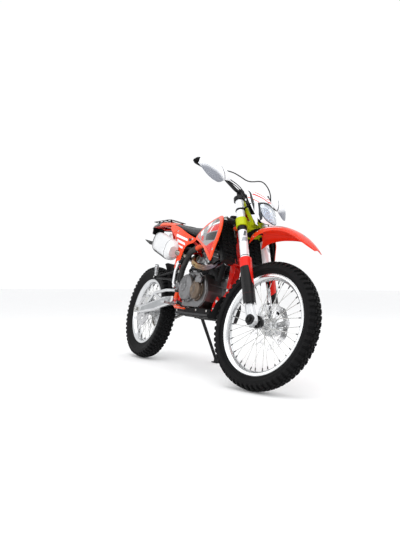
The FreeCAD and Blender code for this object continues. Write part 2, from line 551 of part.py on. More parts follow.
def oval(x, w, h, cy=0, cz=0, n=12):
    pts = []
    for k in range(n):
        a = 2 * math.pi * k / n + math.pi / n
        e = 0.72
        pts.append((x, cy + w * math.copysign(abs(math.cos(a)) ** e, math.cos(a)), cz + h * math.copysign(abs(math.sin(a)) ** e, math.sin(a))))
    return pts


can = loft([oval(0, 30, 36, 10), oval(30, 48, 62, 4), oval(56, 52, 70), oval(290, 52, 70), oval(310, 45, 60), oval(322, 32, 40)], True)
can = can.cut(Part.makeCylinder(17, 60, V(290, 0, 0), V(1, 0, 0)))
can.Placement = FreeCAD.Placement(m0, mrot)
link = tube(LINK, 17.0, [40, 40, 40])
put("muffler", fuse([can, link]).cut(NODES["exhaust_header"]))

# ---------------------------------------------------------------- swing arm
arm = []
for sg in (1, -1):
    y0, y1 = (84, 112) if sg > 0 else (-112, -84)
    arm.append(plate_y([(-46, 322), (40, 318), (300, 352), (420, 378), (540, 402), (540, 456), (400, 446), (280, 420), (60, 372), (-46, 370)], y0, y1))
    arm.append(plate_y([(490, 404), (500, 404), (556, 422), (556, 456), (500, 452), (490, 450)], min(sg * 40, sg * 112), max(sg * 40, sg * 112)))
    arm.append(tube([(150, sg * 98, 400), (226, sg * 98, 470), (400, sg * 92, 496), (500, sg * 70, 500)], 11.0, [30, 100]))
    arm.append(tube([(232, sg * 98, 466), (392, sg * 98, 425)], 9.0))
arm.append(box(440, 500, -112, 112, 402, 450))
arm.append(cyl((500, -78, 500), (500, 78, 500), 12.0))
arm.append(plate_y([(478, 440), (524, 440), (512, 508), (488, 508)], -30, 30))
arm.append(box(540, 600, -60, -36, 412, 468))
arm.append(box(540, 600, 34, 58, 412, 468))
arm.append(cyl((588, -60, 440), (588, -34, 440), 24.0))
arm.append(cyl((588, 30, 440), (588, 58, 440), 24.0))
cutters = [cyl((588, -95, 440), (588, 95, 440), 9.05), cyl((0, -140, rz), (0, 140, rz), AXLE_R + 0.05)]
put("swing_arm", fuse(arm).cut(Part.makeCompound(cutters)))

sh0, sh1 = V(560, 0, 520), V(640, 0, 790)
sd = (sh1 - sh0).normalize()
sl = (sh1 - sh0).Length
shock = fuse([Part.makeCylinder(9, sl, sh0, sd), Part.makeCylinder(33, 150, sh0 + sd * 40, sd), Part.makeCylinder(26, 70, sh0 + sd * 190, sd),
              Part.makeCylinder(38, 8, sh0 + sd * 34, sd), Part.makeCylinder(38, 8, sh0 + sd * 188, sd),
              cyl(tuple(sh0 + V(0, -20, 0)), tuple(sh0 + V(0, 20, 0)), 15), cyl(tuple(sh1 + V(0, -20, 0)), tuple(sh1 + V(0, 20, 0)), 15)])
put("rear_shock", shock.cut(frame_s).cut(NODES["swing_arm"]))

# Chain: two rows of link plates round both sprockets, pinned on the runs.
fs = (655.0, 462.0)


def belt(c0, r0, c1, r1, grow):
    """Outline of a loop round two circles, as points."""
    (x0, z0), (x1, z1) = c0, c1
    dx, dz = x1 - x0, z1 - z0
    L = math.hypot(dx, dz)
    base = math.atan2(dz, dx)
    a = math.acos((r0 - r1) / L)
    pts = []
    m = 16
    R0, R1 = r0 + grow, r1 + grow
    for i in range(m + 1):
        t = base + a + (2 * math.pi - 2 * a) * i / m
        pts.append((x0 + R0 * math.cos(t), z0 + R0 * math.sin(t)))
    for i in range(m + 1):
        t = base - a + 2 * a * i / m
        pts.append((x1 + R1 * math.cos(t), z1 + R1 * math.sin(t)))
    return pts, base, a


R_PITCH_R, R_PITCH_F = 96.0, 29.0
ring_o, base_a, tang = belt(RC, R_PITCH_R, fs, R_PITCH_F, 7.0)
ring_i, _, _ = belt(RC, R_PITCH_R, fs, R_PITCH_F, -7.0)
plates = []
for y0, y1 in ((61.0, 63.2), (76.8, 79.0)):
    plates.append(plate_y(ring_o, y0, y1).cut(plate_y(ring_i, y0 - 1, y1 + 1)))
pins = []
for up_down in (1, -1):
    t = base_a + up_down * tang
    p = V(R_PITCH_R * math.cos(t), 0, rz + R_PITCH_R * math.sin(t))
    q = V(fs[0] + R_PITCH_F * math.cos(t), 0, fs[1] + R_PITCH_F * math.sin(t))
    d = q - p
    L = d.Length
    k = 112.0
    while k < L - 4:
        c = p + d * (k / L)
        pins.append(cyl((c.x, 61.5, c.z), (c.x, 78.5, c.z), 5.0))
        k += 47.6
front_sprocket = fuse([cyl((fs[0], 66.5, fs[1]), (fs[0], 73.5, fs[1]), 33.0)]).cut(cyl((fs[0], 60, fs[1]), (fs[0], 80, fs[1]), 12.1))
pins.append(cyl((fs[0] + 29, 61.5, fs[1]), (fs[0] + 29, 78.5, fs[1]), 5.0))
put("drive_chain", fuse(plates + pins + [front_sprocket]))

# ------------------------------------------------------- tank, seat, panels
tank_secs = []
for x, zb, zt, w in ((742, 812, 846, 62), (850, 815, 868, 92), (925, 838, 902, 112), (962, 862, 962, 116), (1000, 878, 968, 104), (1034, 900, 956, 74)):
    zm = (zb + zt) / 2
    tank_secs.append([(x, -w * 0.8, zb), (x, w * 0.8, zb), (x, w, zm), (x, w * 0.8, zt - (zt - zb) * 0.14), (x, w * 0.35, zt), (x, -w * 0.35, zt), (x, -w * 0.8, zt - (zt - zb) * 0.14), (x, -w, zm)])
tank = loft(tank_secs, True)
cap = fuse([cyl((975, 0, 955), (975, 0, 984), 31.0), cyl((975, 0, 984), (975, 0, 990), 24.0)])
tank_all = fuse([tank, cap]).cut(frame_s)
put("fuel_tank", tank_all)

seat_secs = []
for x, zt, zb, wt, wb in ((330, 984, 957, 84, 92), (440, 966, 918, 90, 100), (560, 944, 890, 92, 104), (660, 930, 866, 90, 104), (745, 926, 850, 84, 98), (840, 934, 872, 72, 86), (905, 948, 908, 60, 72), (945, 966, 966 - 1.5, 40, 44)):
    if x == 945:
        x, zt, zb = 938, 961, 945
    seat_secs.append([(x, -wb, zb), (x, wb, zb), (x, wb - 1, zb + (zt - zb) * 0.55), (x, wt * 0.8, zt - 4), (x, wt * 0.3, zt), (x, -wt * 0.3, zt), (x, -wt * 0.8, zt - 4), (x, -wb + 1, zb + (zt - zb) * 0.55)])
put("seat", loft(seat_secs, True).cut(NODES["fuel_tank"]).cut(frame_s))


def panel(stations, outline, sg, t):
    """Curved shell through (x, [(z, y), ...]) stations, cut to its outline in X and Z."""
    secs = []
    for x, row in stations:
        outer = [(x, sg * y, z) for z, y in row]
        inner = [(x, sg * (y - t), z) for z, y in row][::-1]
        secs.append(outer + inner)
    shell = loft(secs)
    cut = plate_y(outline, min(0, sg * 300), max(0, sg * 300))
    return shell.common(cut)


SHROUD_ROWS = [(730, [(1000, 96), (900, 112), (850, 118), (800, 122), (720, 122), (620, 120)]),
               (850, [(1000, 104), (900, 128), (850, 142), (800, 150), (720, 152), (620, 150)]),
               (950, [(1000, 112), (920, 134), (860, 160), (800, 174), (720, 180), (620, 180)]),
               (1050, [(1000, 124), (930, 148), (860, 182), (800, 194), (720, 204), (620, 208)]),
               (1130, [(1000, 144), (930, 164), (860, 190), (800, 200), (720, 212), (620, 214)]),
               (1215, [(1000, 164), (930, 176), (860, 192), (800, 200), (720, 210), (620, 212)])]
SHROUD_OUT = [(738, 838), (800, 876), (880, 918), (960, 940), (1050, 948), (1096, 940), (1136, 914), (1172, 872), (1182, 836),
              (1178, 770), (1166, 680), (1152, 654), (1136, 660), (1090, 696), (1020, 736), (930, 770), (840, 802), (770, 822)]
PANEL_ROWS = [(280, [(1000, 92), (960, 100), (920, 106), (860, 108), (760, 104), (620, 100)]),
              (400, [(1000, 94), (960, 104), (920, 112), (860, 120), (760, 118), (620, 112)]),
              (520, [(1000, 96), (940, 108), (900, 118), (840, 130), (760, 132), (620, 126)]),
              (640, [(1000, 100), (940, 108), (880, 116), (820, 130), (740, 134), (620, 130)]),
              (760, [(1000, 104), (940, 108), (860, 112), (810, 120), (740, 128), (620, 126)])]
PANEL_OUT = [(288, 972), (400, 950), (500, 918), (590, 884), (670, 856), (738, 836), (748, 822), (726, 806), (664, 794), (634, 772), (612, 720),
             (598, 660), (560, 634), (530, 636), (526, 660), (540, 720), (530, 776), (470, 838), (390, 888), (300, 936)]


def shroud(sg):
    return panel(SHROUD_ROWS, SHROUD_OUT, sg, 3.5)


put("shroud_right", shroud(-1))
put("shroud_left", shroud(1))
bosses = [cyl((930, sg * 96, 884), (930, sg * 170, 884), 9.0) for sg in (-1, 1)]
put("fuel_tank", largest(weld([tank_all] + bosses).cut(NODES["shroud_right"]).cut(NODES["shroud_left"])))


def side_panel(sg):
    return panel(PANEL_ROWS, PANEL_OUT, sg, 3.5)


can_big = loft([oval(-20, 56, 76), oval(340, 56, 76)], True)
can_big.Placement = FreeCAD.Placement(m0, mrot)


def panel_peg(sg):
    """Peg that stands the panel off the rail of the rear frame."""
    return cyl((452, sg * 80, 906), (452, sg * 112, 906), 7.0)


put("side_panel_right", largest(weld([side_panel(-1).cut(can_big), panel_peg(-1)]).cut(frame_s).cut(NODES["muffler"]).cut(NODES["seat"])))
put("side_panel_left", largest(weld([side_panel(1), panel_peg(1)]).cut(frame_s).cut(NODES["seat"])))

# Rear fender: arched top shell with the inner mudguard below it.
rf = [(326, 981, 68, 960, 94), (260, 992, 72, 966, 97), (150, 1008, 76, 976, 98), (0, 1016, 70, 984, 88), (-110, 1013, 54, 989, 68), (-192, 1005, 30, 993, 40)]
rear_fender = loft([arch(*a) for a in rf])
inner = []
arc = []
for deg in (8, 20, 32, 44, 56):
    a = math.radians(deg)
    arc.append((390 * math.cos(a), 343 + 395 * math.sin(a) + 60 * (deg / 98.0)))
secs = []
for x, z in arc:
    d = V(x, 0, z - 343).normalize()
    w = 55
    ring = [V(x, -w, z) - d * 14, V(x, -w + 16, z), V(x, w - 16, z), V(x, w, z) - d * 14, V(x, w - 3, z) - d * 18, V(x, w - 17, z) - d * 4, V(x, -w + 17, z) - d * 4, V(x, -w + 3, z) - d * 18]
    secs.append([tuple(p) for p in ring])
mud = loft(secs)
duct = prism([(288, -34, 648), (312, -34, 612), (420, -34, 804), (420, -34, 830), (402, -34, 830)], (0, 68, 0))
airbox = loft([[(400, -58, 800), (400, 58, 800), (400, 58, 930), (400, -58, 930)], [(560, -70, 800), (560, 70, 800), (560, 70, 884), (560, -70, 884)]], True)
put("rear_fender", weld([rear_fender, mud, airbox, duct]).cut(frame_s).cut(NODES["seat"]).cut(NODES["side_panel_right"]).cut(NODES["side_panel_left"]))

# Radiators beside the head tube, with the filler cap on the right one.
rads = []
for sg in (1, -1):
    core = prism([tuple(S(450, -62, sg * 50)), tuple(S(450, -62, sg * 136)), tuple(S(450, -90, sg * 136)), tuple(S(450, -90, sg * 50))], tuple(AX * 242))
    tank_t = prism([tuple(S(690, -60, sg * 46)), tuple(S(690, -60, sg * 138)), tuple(S(690, -94, sg * 138)), tuple(S(690, -94, sg * 46))], tuple(AX * 26))
    tank_b = prism([tuple(S(428, -60, sg * 46)), tuple(S(428, -60, sg * 138)), tuple(S(428, -94, sg * 138)), tuple(S(428, -94, sg * 46))], tuple(AX * 26))
    parts = [core, tank_t, tank_b]
    if sg < 0:
        parts += [cyl(tuple(S(714, -77, -84)), tuple(S(738, -77, -84)), 17.0), cyl(tuple(S(732, -77, -84)), tuple(S(742, -77, -84)), 22.0)]
    rads.append(fuse(parts))
put("radiators", Part.makeCompound([r.cut(frame_s).cut(NODES["fuel_tank"]).cut(NODES["exhaust_header"]) for r in rads]))

# Skid plate under the engine and up the front of the lower frame.
def trough(x, w_top, z_top, w_low, z_low, t=4.0):
    return [(x, -w_top, z_top), (x, -w_low, z_low + t), (x, w_low, z_low + t), (x, w_top, z_top),
            (x, w_top + t, z_top), (x, w_low + t * 0.6, z_low), (x, -w_low - t * 0.6, z_low), (x, -w_top - t, z_top)]


def bow(z, w, x_mid, x_side, t=4.0):
    return [(x_side, -w, z), (x_mid, -w * 0.6, z), (x_mid, w * 0.6, z), (x_side, w, z),
            (x_side + t * 0.7, w + t * 0.8, z), (x_mid + t, w * 0.6 + t * 0.5, z), (x_mid + t, -w * 0.6 - t * 0.5, z), (x_side + t * 0.7, -w - t * 0.8, z)]


belly = loft([trough(618, 104, 372, 101, 346), trough(760, 106, 390, 103, 340), trough(960, 106, 392, 102, 340), trough(1052, 96, 392, 93, 341), trough(1071, 64, 354, 60, 341)], True)
prow = loft([bow(341.6, 96, 1077, 1046), bow(388, 92, 1090, 1072), bow(430, 86, 1094, 1086), bow(478, 62, 1104, 1100)], True)
lift_pad = box(800, 930, -60, 60, 339.2, 343.0)
skid_s = weld([belly, prow, lift_pad]).cut(frame_s)
put("skid_plate", skid_s)

# Foot pegs: the rider's pegs, and the passenger's folded up on their brackets.
pegs = []
for sg in (1, -1):
    y0 = sg * 110
    brk = plate_y([(606, 372), (700, 372), (690, 418), (640, 430), (606, 430)], min(sg * 96.2, sg * 106), max(sg * 96.2, sg * 106))
    peg = box(608, 658, min(sg * 118, sg * 214), max(sg * 118, sg * 214), 394, 410)
    peg = peg.cut(box(616, 650, min(sg * 128, sg * 206), max(sg * 128, sg * 206), 390, 414))
    mid = box(630, 636, min(sg * 120, sg * 210), max(sg * 120, sg * 210), 394, 410)
    hinge = cyl((633, sg * 105, 400), (633, sg * 122, 400), 11.0)
    pegs.append(fuse([brk, peg, mid, hinge]))
    pp = V(383, sg * 182, 567)
    bars = [tube([tuple(pp), (540, sg * 134, 612), (592, sg * 121, 620)], 7.5, 60), tube([tuple(pp), (540, sg * 134, 560), (592, sg * 121, 552)], 7.5, 60),
            plate_y([(578, 536), (606, 536), (608, 632), (582, 632)], min(sg * 106, sg * 122), max(sg * 106, sg * 122))]
    knuckle = cyl((383, sg * 170, 567), (383, sg * 196, 567), 12.0)
    fold = cone((388, sg * 186, 578), (414, sg * 204, 648), 10.0, 14.0)
    pegs.append(fuse(bars + [knuckle, fold]))
put("foot_pegs", Part.makeCompound([largest(q.cut(frame_s)) for q in pegs]))
put("skid_plate", largest(skid_s.cut(NODES["foot_pegs"])))

brake_pedal = fuse([tube([(676, -132, 388), (730, -168, 384), (830, -184, 378)], 8.5, 40), cyl((676, -106.0, 388), (676, -140, 388), 13.0), box(826, 872, -206, -164, 370, 382)])
gear_lever = fuse([tube([(700, 128, 446), (740, 168, 430), (850, 172, 404)], 7.5, 30), cyl((700, 54.0, 446), (700, 136, 446), 8.0), cyl((852, 160, 404), (852, 200, 404), 9.0)])
kick = fuse([tube([(694, -178, 513), (700, -196, 530), (716, -206, 600), (738, -206, 648)], 8.5, [12, 60]), cyl((694, -166.0, 513), (694, -190, 513), 15.0),
             cyl((728, -206, 640), (748, -206, 660), 12.0), tube([(738, -206, 650), (800, -204, 682)], 8.0)])
put("foot_levers", Part.makeCompound([largest(q.cut(NODES["crankcase"]).cut(NODES["skid_plate"])) for q in (brake_pedal, gear_lever, kick)]))

# Rear brake caliper over the disc, on the right arm.
rcx, rcz = 78.0, 343 + 78.0
rcal = plate_y([(rcx - 44, rcz - 8), (rcx - 8, rcz - 44), (rcx + 34, rcz - 30), (rcx + 36, rcz + 16), (rcx + 4, rcz + 40), (rcx - 36, rcz + 30)], -83.7, -42.0)
rcal = rcal.cut(cyl((0, -65.2, rz), (0, -50.8, rz), 122.0))
put("rear_brake_caliper", rcal.cut(NODES["swing_arm"]))

# Rear rack: a holed plate with a rail, above the fender.
rk = [(190, 1028), (120, 1035), (-60, 1039), (-130, 1040.5), (-142, 1037), (-130, 1035.5), (-60, 1034), (120, 1030), (190, 1023)]
rack = plate_y(rk, -62, 62)
holes = []
RACK_BOLTS = []
for cx0 in (-97.0, 26.0):
    for sg in (-1, 1):
        holes.append(box(cx0 - 24, cx0 + 24, min(sg * 12, sg * 50), max(sg * 12, sg * 50), 1000, 1080))
holes.append(box(78, 134, -46, 46, 1000, 1080))
RACK_C = (-40.0, 0.0, 1038.6)
for k in range(4):
    a = math.pi / 4 + math.pi / 2 * k
    bx, by = RACK_C[0] + 28.0 * math.cos(a), 28.0 * math.sin(a)
    holes.append(cyl((bx, by, 1000), (bx, by, 1080), 3.3))
rack = rack.cut(Part.makeCompound(holes))
rack_feet = [cyl((x, sg * 30, z0), (x, sg * 50, z1), 7.0) for sg in (-1, 1) for x, z0, z1 in ((-60, 1006, 1036), (150, 1000, 1029))]
put("rear_rack", largest(weld([rack] + rack_feet).cut(NODES["rear_fender"])))

# Tail light with the plate bracket.
lamp = loft([[(-146, -46, 945), (-146, 46, 945), (-146, 44, 1008), (-146, -44, 1008)], [(-186, -38, 948), (-186, 38, 948), (-190, 36, 1002), (-190, -36, 1002)]], True)
brkt = fuse([plate_y([(-146, 990), (-96, 994), (-116, 936), (-122, 900), (-130, 856), (-150, 862), (-152, 900), (-160, 950)], -9, 9),
             prism([(-138, -60, 858), (-138, 60, 858), (-250, 60, 901.2), (-250, -60, 901.2)], (1.44, 0, 3.73))])
PLATE_C = (-206.0, 0.0, 888.1)
PLATE_N = V(0.36, 0, 0.933).normalize()
for sg in (-1, 1):
    brkt = brkt.cut(Part.makeCylinder(3.2, 30, V(PLATE_C[0], sg * 45, PLATE_C[2]) - PLATE_N * 15, PLATE_N))
put("tail_light", largest(weld([lamp, brkt]).cut(NODES["rear_fender"]).cut(frame_s)))

# --------------------------------------------------- steer, lean and ground
AXIS_STEER = FreeCAD.Rotation(AX, math.degrees(STEER))


def steer_place():
    return FreeCAD.Placement(PT - AXIS_STEER.multVec(PT), AXIS_STEER)


def lowest(centre, normal, profile):
    k = math.sqrt(max(0.0, 1 - normal.z ** 2))
    return min(centre.z + y * normal.z - r * k for r, y in profile)


def dense(R, half):
    drop, w = 12.0, half - 9.0
    rc = (w * w + drop * drop) / (2 * drop)
    pts = [(R - rc + math.sqrt(rc * rc - (w * i / 10) ** 2), w * i / 10) for i in range(-10, 11)]
    return pts + [(R - 20, half), (R - 20, -half)]


PF, PR = dense(R_FRONT, W_FRONT), dense(R_REAR, W_REAR)


def gaps(pitch, z):
    rot = FreeCAD.Rotation(V(1, 0, 0), -math.degrees(LEAN)).multiply(FreeCAD.Rotation(V(0, 1, 0), math.degrees(pitch)))
    pl = FreeCAD.Placement(V(0, 0, z), rot)
    sp_ = steer_place()
    cf = pl.multVec(sp_.multVec(V(FC[0], 0, FC[1])))
    nf = rot.multVec(AXIS_STEER.multVec(V(0, 1, 0)))
    cr = pl.multVec(V(RC[0], 0, RC[1]))
    nr = rot.multVec(V(0, 1, 0))
    return lowest(cf, nf, PF), lowest(cr, nr, PR), pl


pitch, lift = 0.0, 0.0
for _ in range(30):
    gf, gr, _pl = gaps(pitch, lift)
    pitch += (gf - gr) / WHEELBASE
    lift -= gr
gf, gr, LEAN_PLACE = gaps(pitch, lift)

# The side stand is drawn on the ground, under its pivot on the frame.
pv = LEAN_PLACE.multVec(sp)
pa = LEAN_PLACE.Rotation.multVec(sa)
foot = V(STAND_FOOT[0], STAND_FOOT[1], 0)
knee = foot + V(0, -4, 12)
leg_top = pv + pa * 4
leg = tube([tuple(pv + pa * 4), tuple(knee)], 11.0)
eye = Part.makeCylinder(17.0, 14, pv - pa * 7, pa)
foot_plate = prism([(foot.x - 34, foot.y - 26, 0), (foot.x + 34, foot.y - 26, 0), (foot.x + 40, foot.y, 0), (foot.x + 30, foot.y + 28, 0), (foot.x - 30, foot.y + 28, 0), (foot.x - 40, foot.y, 0)], (0, 0, 7))
foot_heel = cone(tuple(foot + V(0, -2, 3)), tuple(foot + V(0, -10, 40)), 22, 12)
hook = leg_top + (knee - leg_top) * 0.42
off = V(-1, 0, 0) * 17
coil_b = hook + off
coil_a = leg_top + (knee - leg_top) * 0.10 + off
spring = fuse([cyl(tuple(coil_a), tuple(coil_b), 6.5), cyl(tuple(coil_b), tuple(hook), 3.0), cyl(tuple(coil_a), tuple(leg_top + (knee - leg_top) * 0.10), 3.0)])
stand = fuse([leg, eye, foot_plate, foot_heel, spring]).cut(Part.makeCylinder(7.95, 60, pv - pa * 30, pa))
stand = stand.cut(box(-2000, 3000, -2000, 2000, -50, 0))

FINAL = {}
SP = steer_place()
for name, shape in NODES.items():
    m = LEAN_PLACE.toMatrix()
    if name in STEERED:
        m = LEAN_PLACE.multiply(SP).toMatrix()
    FINAL[name] = shape.transformed(m, True) if hasattr(shape, "transformed") else shape
FINAL["side_stand"] = stand

# Origin on the ground, under the middle of the bounding box.
lo = [1e9] * 3
hi = [-1e9] * 3
for name, shape in FINAL.items():
    if not shape.Solids:
        print("EMPTY", name)
        continue
    b = shape.optimalBoundingBox(False, False)
    lo = [min(lo[0], b.XMin), min(lo[1], b.YMin), min(lo[2], b.ZMin)]
    hi = [max(hi[0], b.XMax), max(hi[1], b.YMax), max(hi[2], b.ZMax)]
SHIFT = V(-(lo[0] + hi[0]) / 2, -(lo[1] + hi[1]) / 2, -lo[2])

os.makedirs("parts", exist_ok=True)
for name, shape in FINAL.items():
    s = shape.copy()
    s.translate(SHIFT)
    solids = s.Solids
    if len(solids) == 1:
        s = solids[0]
    else:
        s = Part.makeCompound(solids)
    FINAL[name] = s
    s.exportStep("parts/%s.step" % name)
    if not s.isValid():
        print("INVALID", name)

print("SIZE %.2f %.2f %.2f" % tuple(hi[i] - lo[i] for i in range(3)))
print("SHIFT %.4f %.4f %.4f" % (SHIFT.x, SHIFT.y, SHIFT.z), "ZMIN %.3f" % lo[2], "GAPS %.4f %.4f" % (gf, gr), "PITCH %.5f LIFT %.4f" % (pitch, lift))


def world(p, steered=False):
    p = V(*p)
    if steered:
        p = SP.multVec(p)
    return LEAN_PLACE.multVec(p) + SHIFT


def wdir(d, steered=False):
    d = V(*d)
    if steered:
        d = AXIS_STEER.multVec(d)
    return LEAN_PLACE.Rotation.multVec(d)


def show(name, p, d):
    print("AXIS %s %.4f %.4f %.4f %.7f %.7f %.7f" % (name, p.x, p.y, p.z, d.x, d.y, d.z))


show("steering", world(tuple(S(700, 0, 0))), wdir(tuple(AX)))
show("front_wheel", world((FC[0], 0, FC[1]), True), wdir((0, 1, 0), True))
show("rear_wheel", world((RC[0], 0, RC[1])), wdir((0, 1, 0)))
show("side_stand", pv + SHIFT, pa)
show("bike_x", world((0, 0, 0)), wdir((1, 0, 0)))
show("bike_y", world((0, 0, 0)), wdir((0, 1, 0)))
show("bike_z", world((0, 0, 0)), wdir((0, 0, 1)))
show("foot", foot + SHIFT, V(0, 0, -1))
show("rack", world(RACK_C), wdir((0, 0, 1)))
show("plate", world(PLATE_C), wdir(tuple(PLATE_N)))
show("skid", world((865, 0, 339.2)), wdir((0, 0, -1)))
show("bar", world(tuple(S(BAR_S, BAR_N, 0)), True), wdir((0, 1, 0), True))
for name, s in FINAL.items():
    print("NODE %-22s solids %d vol %.1f cm3" % (name, len(s.Solids), s.Volume / 1000.0))
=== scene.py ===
import json
import math
import random

import bmesh
import bpy
import numpy as np
from mathutils import Euler, Matrix, Vector


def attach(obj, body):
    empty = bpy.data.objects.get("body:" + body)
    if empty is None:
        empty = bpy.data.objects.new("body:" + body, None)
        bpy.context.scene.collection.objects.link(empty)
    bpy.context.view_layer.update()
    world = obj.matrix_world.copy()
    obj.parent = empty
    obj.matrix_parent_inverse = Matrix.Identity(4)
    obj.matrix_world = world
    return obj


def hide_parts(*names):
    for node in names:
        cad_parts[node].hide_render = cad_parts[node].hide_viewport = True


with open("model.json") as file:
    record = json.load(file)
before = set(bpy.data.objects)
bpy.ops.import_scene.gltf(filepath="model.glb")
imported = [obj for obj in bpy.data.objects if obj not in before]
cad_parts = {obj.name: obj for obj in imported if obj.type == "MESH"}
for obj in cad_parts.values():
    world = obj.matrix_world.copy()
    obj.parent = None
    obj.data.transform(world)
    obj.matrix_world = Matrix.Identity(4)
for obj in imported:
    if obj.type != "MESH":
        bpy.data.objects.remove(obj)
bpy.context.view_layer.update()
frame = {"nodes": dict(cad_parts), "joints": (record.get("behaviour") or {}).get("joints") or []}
NODES = frame["nodes"]

# ------------------------------------------------------------------ frames
# Everything is drawn upright in the bike frame, in millimetres: X forward
# from the rear axle, Y to the left, Z up. The front group is steered, and
# the machine leans on its side stand.
WB, R_F, R_R = 1460.0, 351.0, 343.0
RAKE, LEAN, STEER, PITCH = math.radians(26.5), math.radians(12.15), math.radians(12.6), 0.00275
SA, CA = math.sin(RAKE), math.cos(RAKE)
AX = np.array([-SA, 0, CA])
NN = np.array([CA, 0, SA])
PT = np.array([WB, 0, R_F]) - NN * 61.0
FORK_N, FORK_Y = 53.0, 95.0
FC = np.array([WB, 0, R_F])
RC = np.array([0.0, 0, R_R])
SHOW = {}


def rot_about(axis, ang):
    return np.array(Matrix.Rotation(ang, 3, Vector(axis)))


R_LEAN = rot_about((1, 0, 0), -LEAN) @ rot_about((0, 1, 0), PITCH)
R_ST = rot_about(AX, STEER)
JOINTS = {j["name"]: j for j in frame["joints"]}
ORG = np.array(JOINTS["rear_wheel_spin"]["pos_m"]) - R_LEAN @ np.array([0, 0, R_R]) / 1000.0


def W(p, st=False):
    """Bike frame, mm, to the row frame, metres. Works on one point or many."""
    p = np.asarray(p, float)
    if st:
        p = PT + (p - PT) @ R_ST.T
    return ORG + (p @ R_LEAN.T) / 1000.0


def Wd(d, st=False):
    d = np.asarray(d, float)
    if st:
        d = d @ R_ST.T
    return d @ R_LEAN.T


def S(s, n, y):
    """Point along the steering axis, ahead of it and to the left."""
    p = PT + AX * s + NN * n
    return np.array([p[0], y, p[2]])


# ------------------------------------------------------------------ camera
SHIFT_W = ORG * 1000.0 - np.array([0, 0, 2.0995])
cam_data = bpy.data.cameras.new("camera")
cam = bpy.data.objects.new("camera", cam_data)
bpy.context.scene.collection.objects.link(cam)
cam_az, cam_e, cam_roll, cam_f = math.radians(61.29), math.radians(-1.431), math.radians(0.241), 568.37
fwd = np.array([-math.sin(cam_az) * math.cos(cam_e), math.cos(cam_az) * math.cos(cam_e), -math.sin(cam_e)])
right = np.array([math.cos(cam_az), math.sin(cam_az), 0.0])
up = np.cross(right, fwd)
r2 = right * math.cos(cam_roll) + up * math.sin(cam_roll)
u2 = -right * math.sin(cam_roll) + up * math.cos(cam_roll)
cam_m = Matrix([[r2[0], u2[0], -fwd[0], 0], [r2[1], u2[1], -fwd[1], 0], [r2[2], u2[2], -fwd[2], 0], [0, 0, 0, 1]])
cam_m.translation = Vector((np.array([3935.7, -1659.4, 567.3]) + SHIFT_W) / 1000.0)
cam.matrix_world = cam_m
cam_data.sensor_width = 36.0
cam_data.sensor_fit = "AUTO"
cam_data.lens = cam_f / 534.0 * 36.0
cam_data.clip_start, cam_data.clip_end = 0.05, 60.0
bpy.context.scene.camera = cam


# --------------------------------------------------------------- mesh code
class MB:
    """Collects faces in the bike frame, then makes one object of them."""

    def __init__(self):
        self.v, self.f, self.m, self.n = [], [], [], 0

    def add(self, verts, faces, mat=0):
        verts = np.asarray(verts, float).reshape(-1, 3)
        b = self.n
        self.v.append(verts)
        self.n += len(verts)
        for q in faces:
            self.f.append([int(i) + b for i in q])
            self.m.append(mat)

    def obj(self, name, mats, body, st=False, smooth=34, slot=None, rep=(), bevel=0.0, sub=0, solid=0.0, raw=False):
        co = np.concatenate(self.v) if self.v else np.zeros((0, 3))
        me = bpy.data.meshes.new(name)
        wco = co if raw else W(co, st)
        me.from_pydata([tuple(c) for c in wco], [], self.f)
        me.polygons.foreach_set("material_index", np.array(self.m, np.int32))
        for m in mats:
            me.materials.append(m)
        bm = bmesh.new()
        bm.from_mesh(me)
        bmesh.ops.remove_doubles(bm, verts=bm.verts, dist=2e-6)
        bmesh.ops.recalc_face_normals(bm, faces=bm.faces)
        bm.to_mesh(me)
        bm.free()
        me.polygons.foreach_set("use_smooth", np.ones(len(me.polygons), bool))
        me.set_sharp_from_angle(angle=math.radians(smooth))
        me.update()
        o = bpy.data.objects.new(name, me)
        bpy.context.scene.collection.objects.link(o)
        if solid:
            md = o.modifiers.new("thick", "SOLIDIFY")
            md.thickness = solid / 1000.0
            md.offset = -1.0
            md.use_even_offset = True
        if bevel:
            md = o.modifiers.new("edge", "BEVEL")
            md.width = bevel / 1000.0
            md.segments = 2
            md.limit_method = "ANGLE"
            md.angle_limit = math.radians(38)
            md.harden_normals = True
        if sub:
            md = o.modifiers.new("sub", "SUBSURF")
            md.levels = md.render_levels = sub
        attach(o, body)
        if rep:
            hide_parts(*rep)
        SHOW[name] = o
        return o


def unit(v):
    v = np.asarray(v, float)
    return v / max(1e-12, np.linalg.norm(v))


def basis(d):
    d = unit(d)
    a = np.array([0, 0, 1.0]) if abs(d[2]) < 0.9 else np.array([1.0, 0, 0])
    u = unit(np.cross(a, d))
    return u, np.cross(d, u), d


def ring_faces(n, m, close_u=True, close_v=False):
    """Quads between n rings of m points."""
    out = []
    for i in range(n if close_v else n - 1):
        for j in range(m if close_u else m - 1):
            a = i * m + j
            b = i * m + (j + 1) % m
            c = ((i + 1) % n) * m + (j + 1) % m
            d = ((i + 1) % n) * m + j
            out.append((a, b, c, d))
    return out


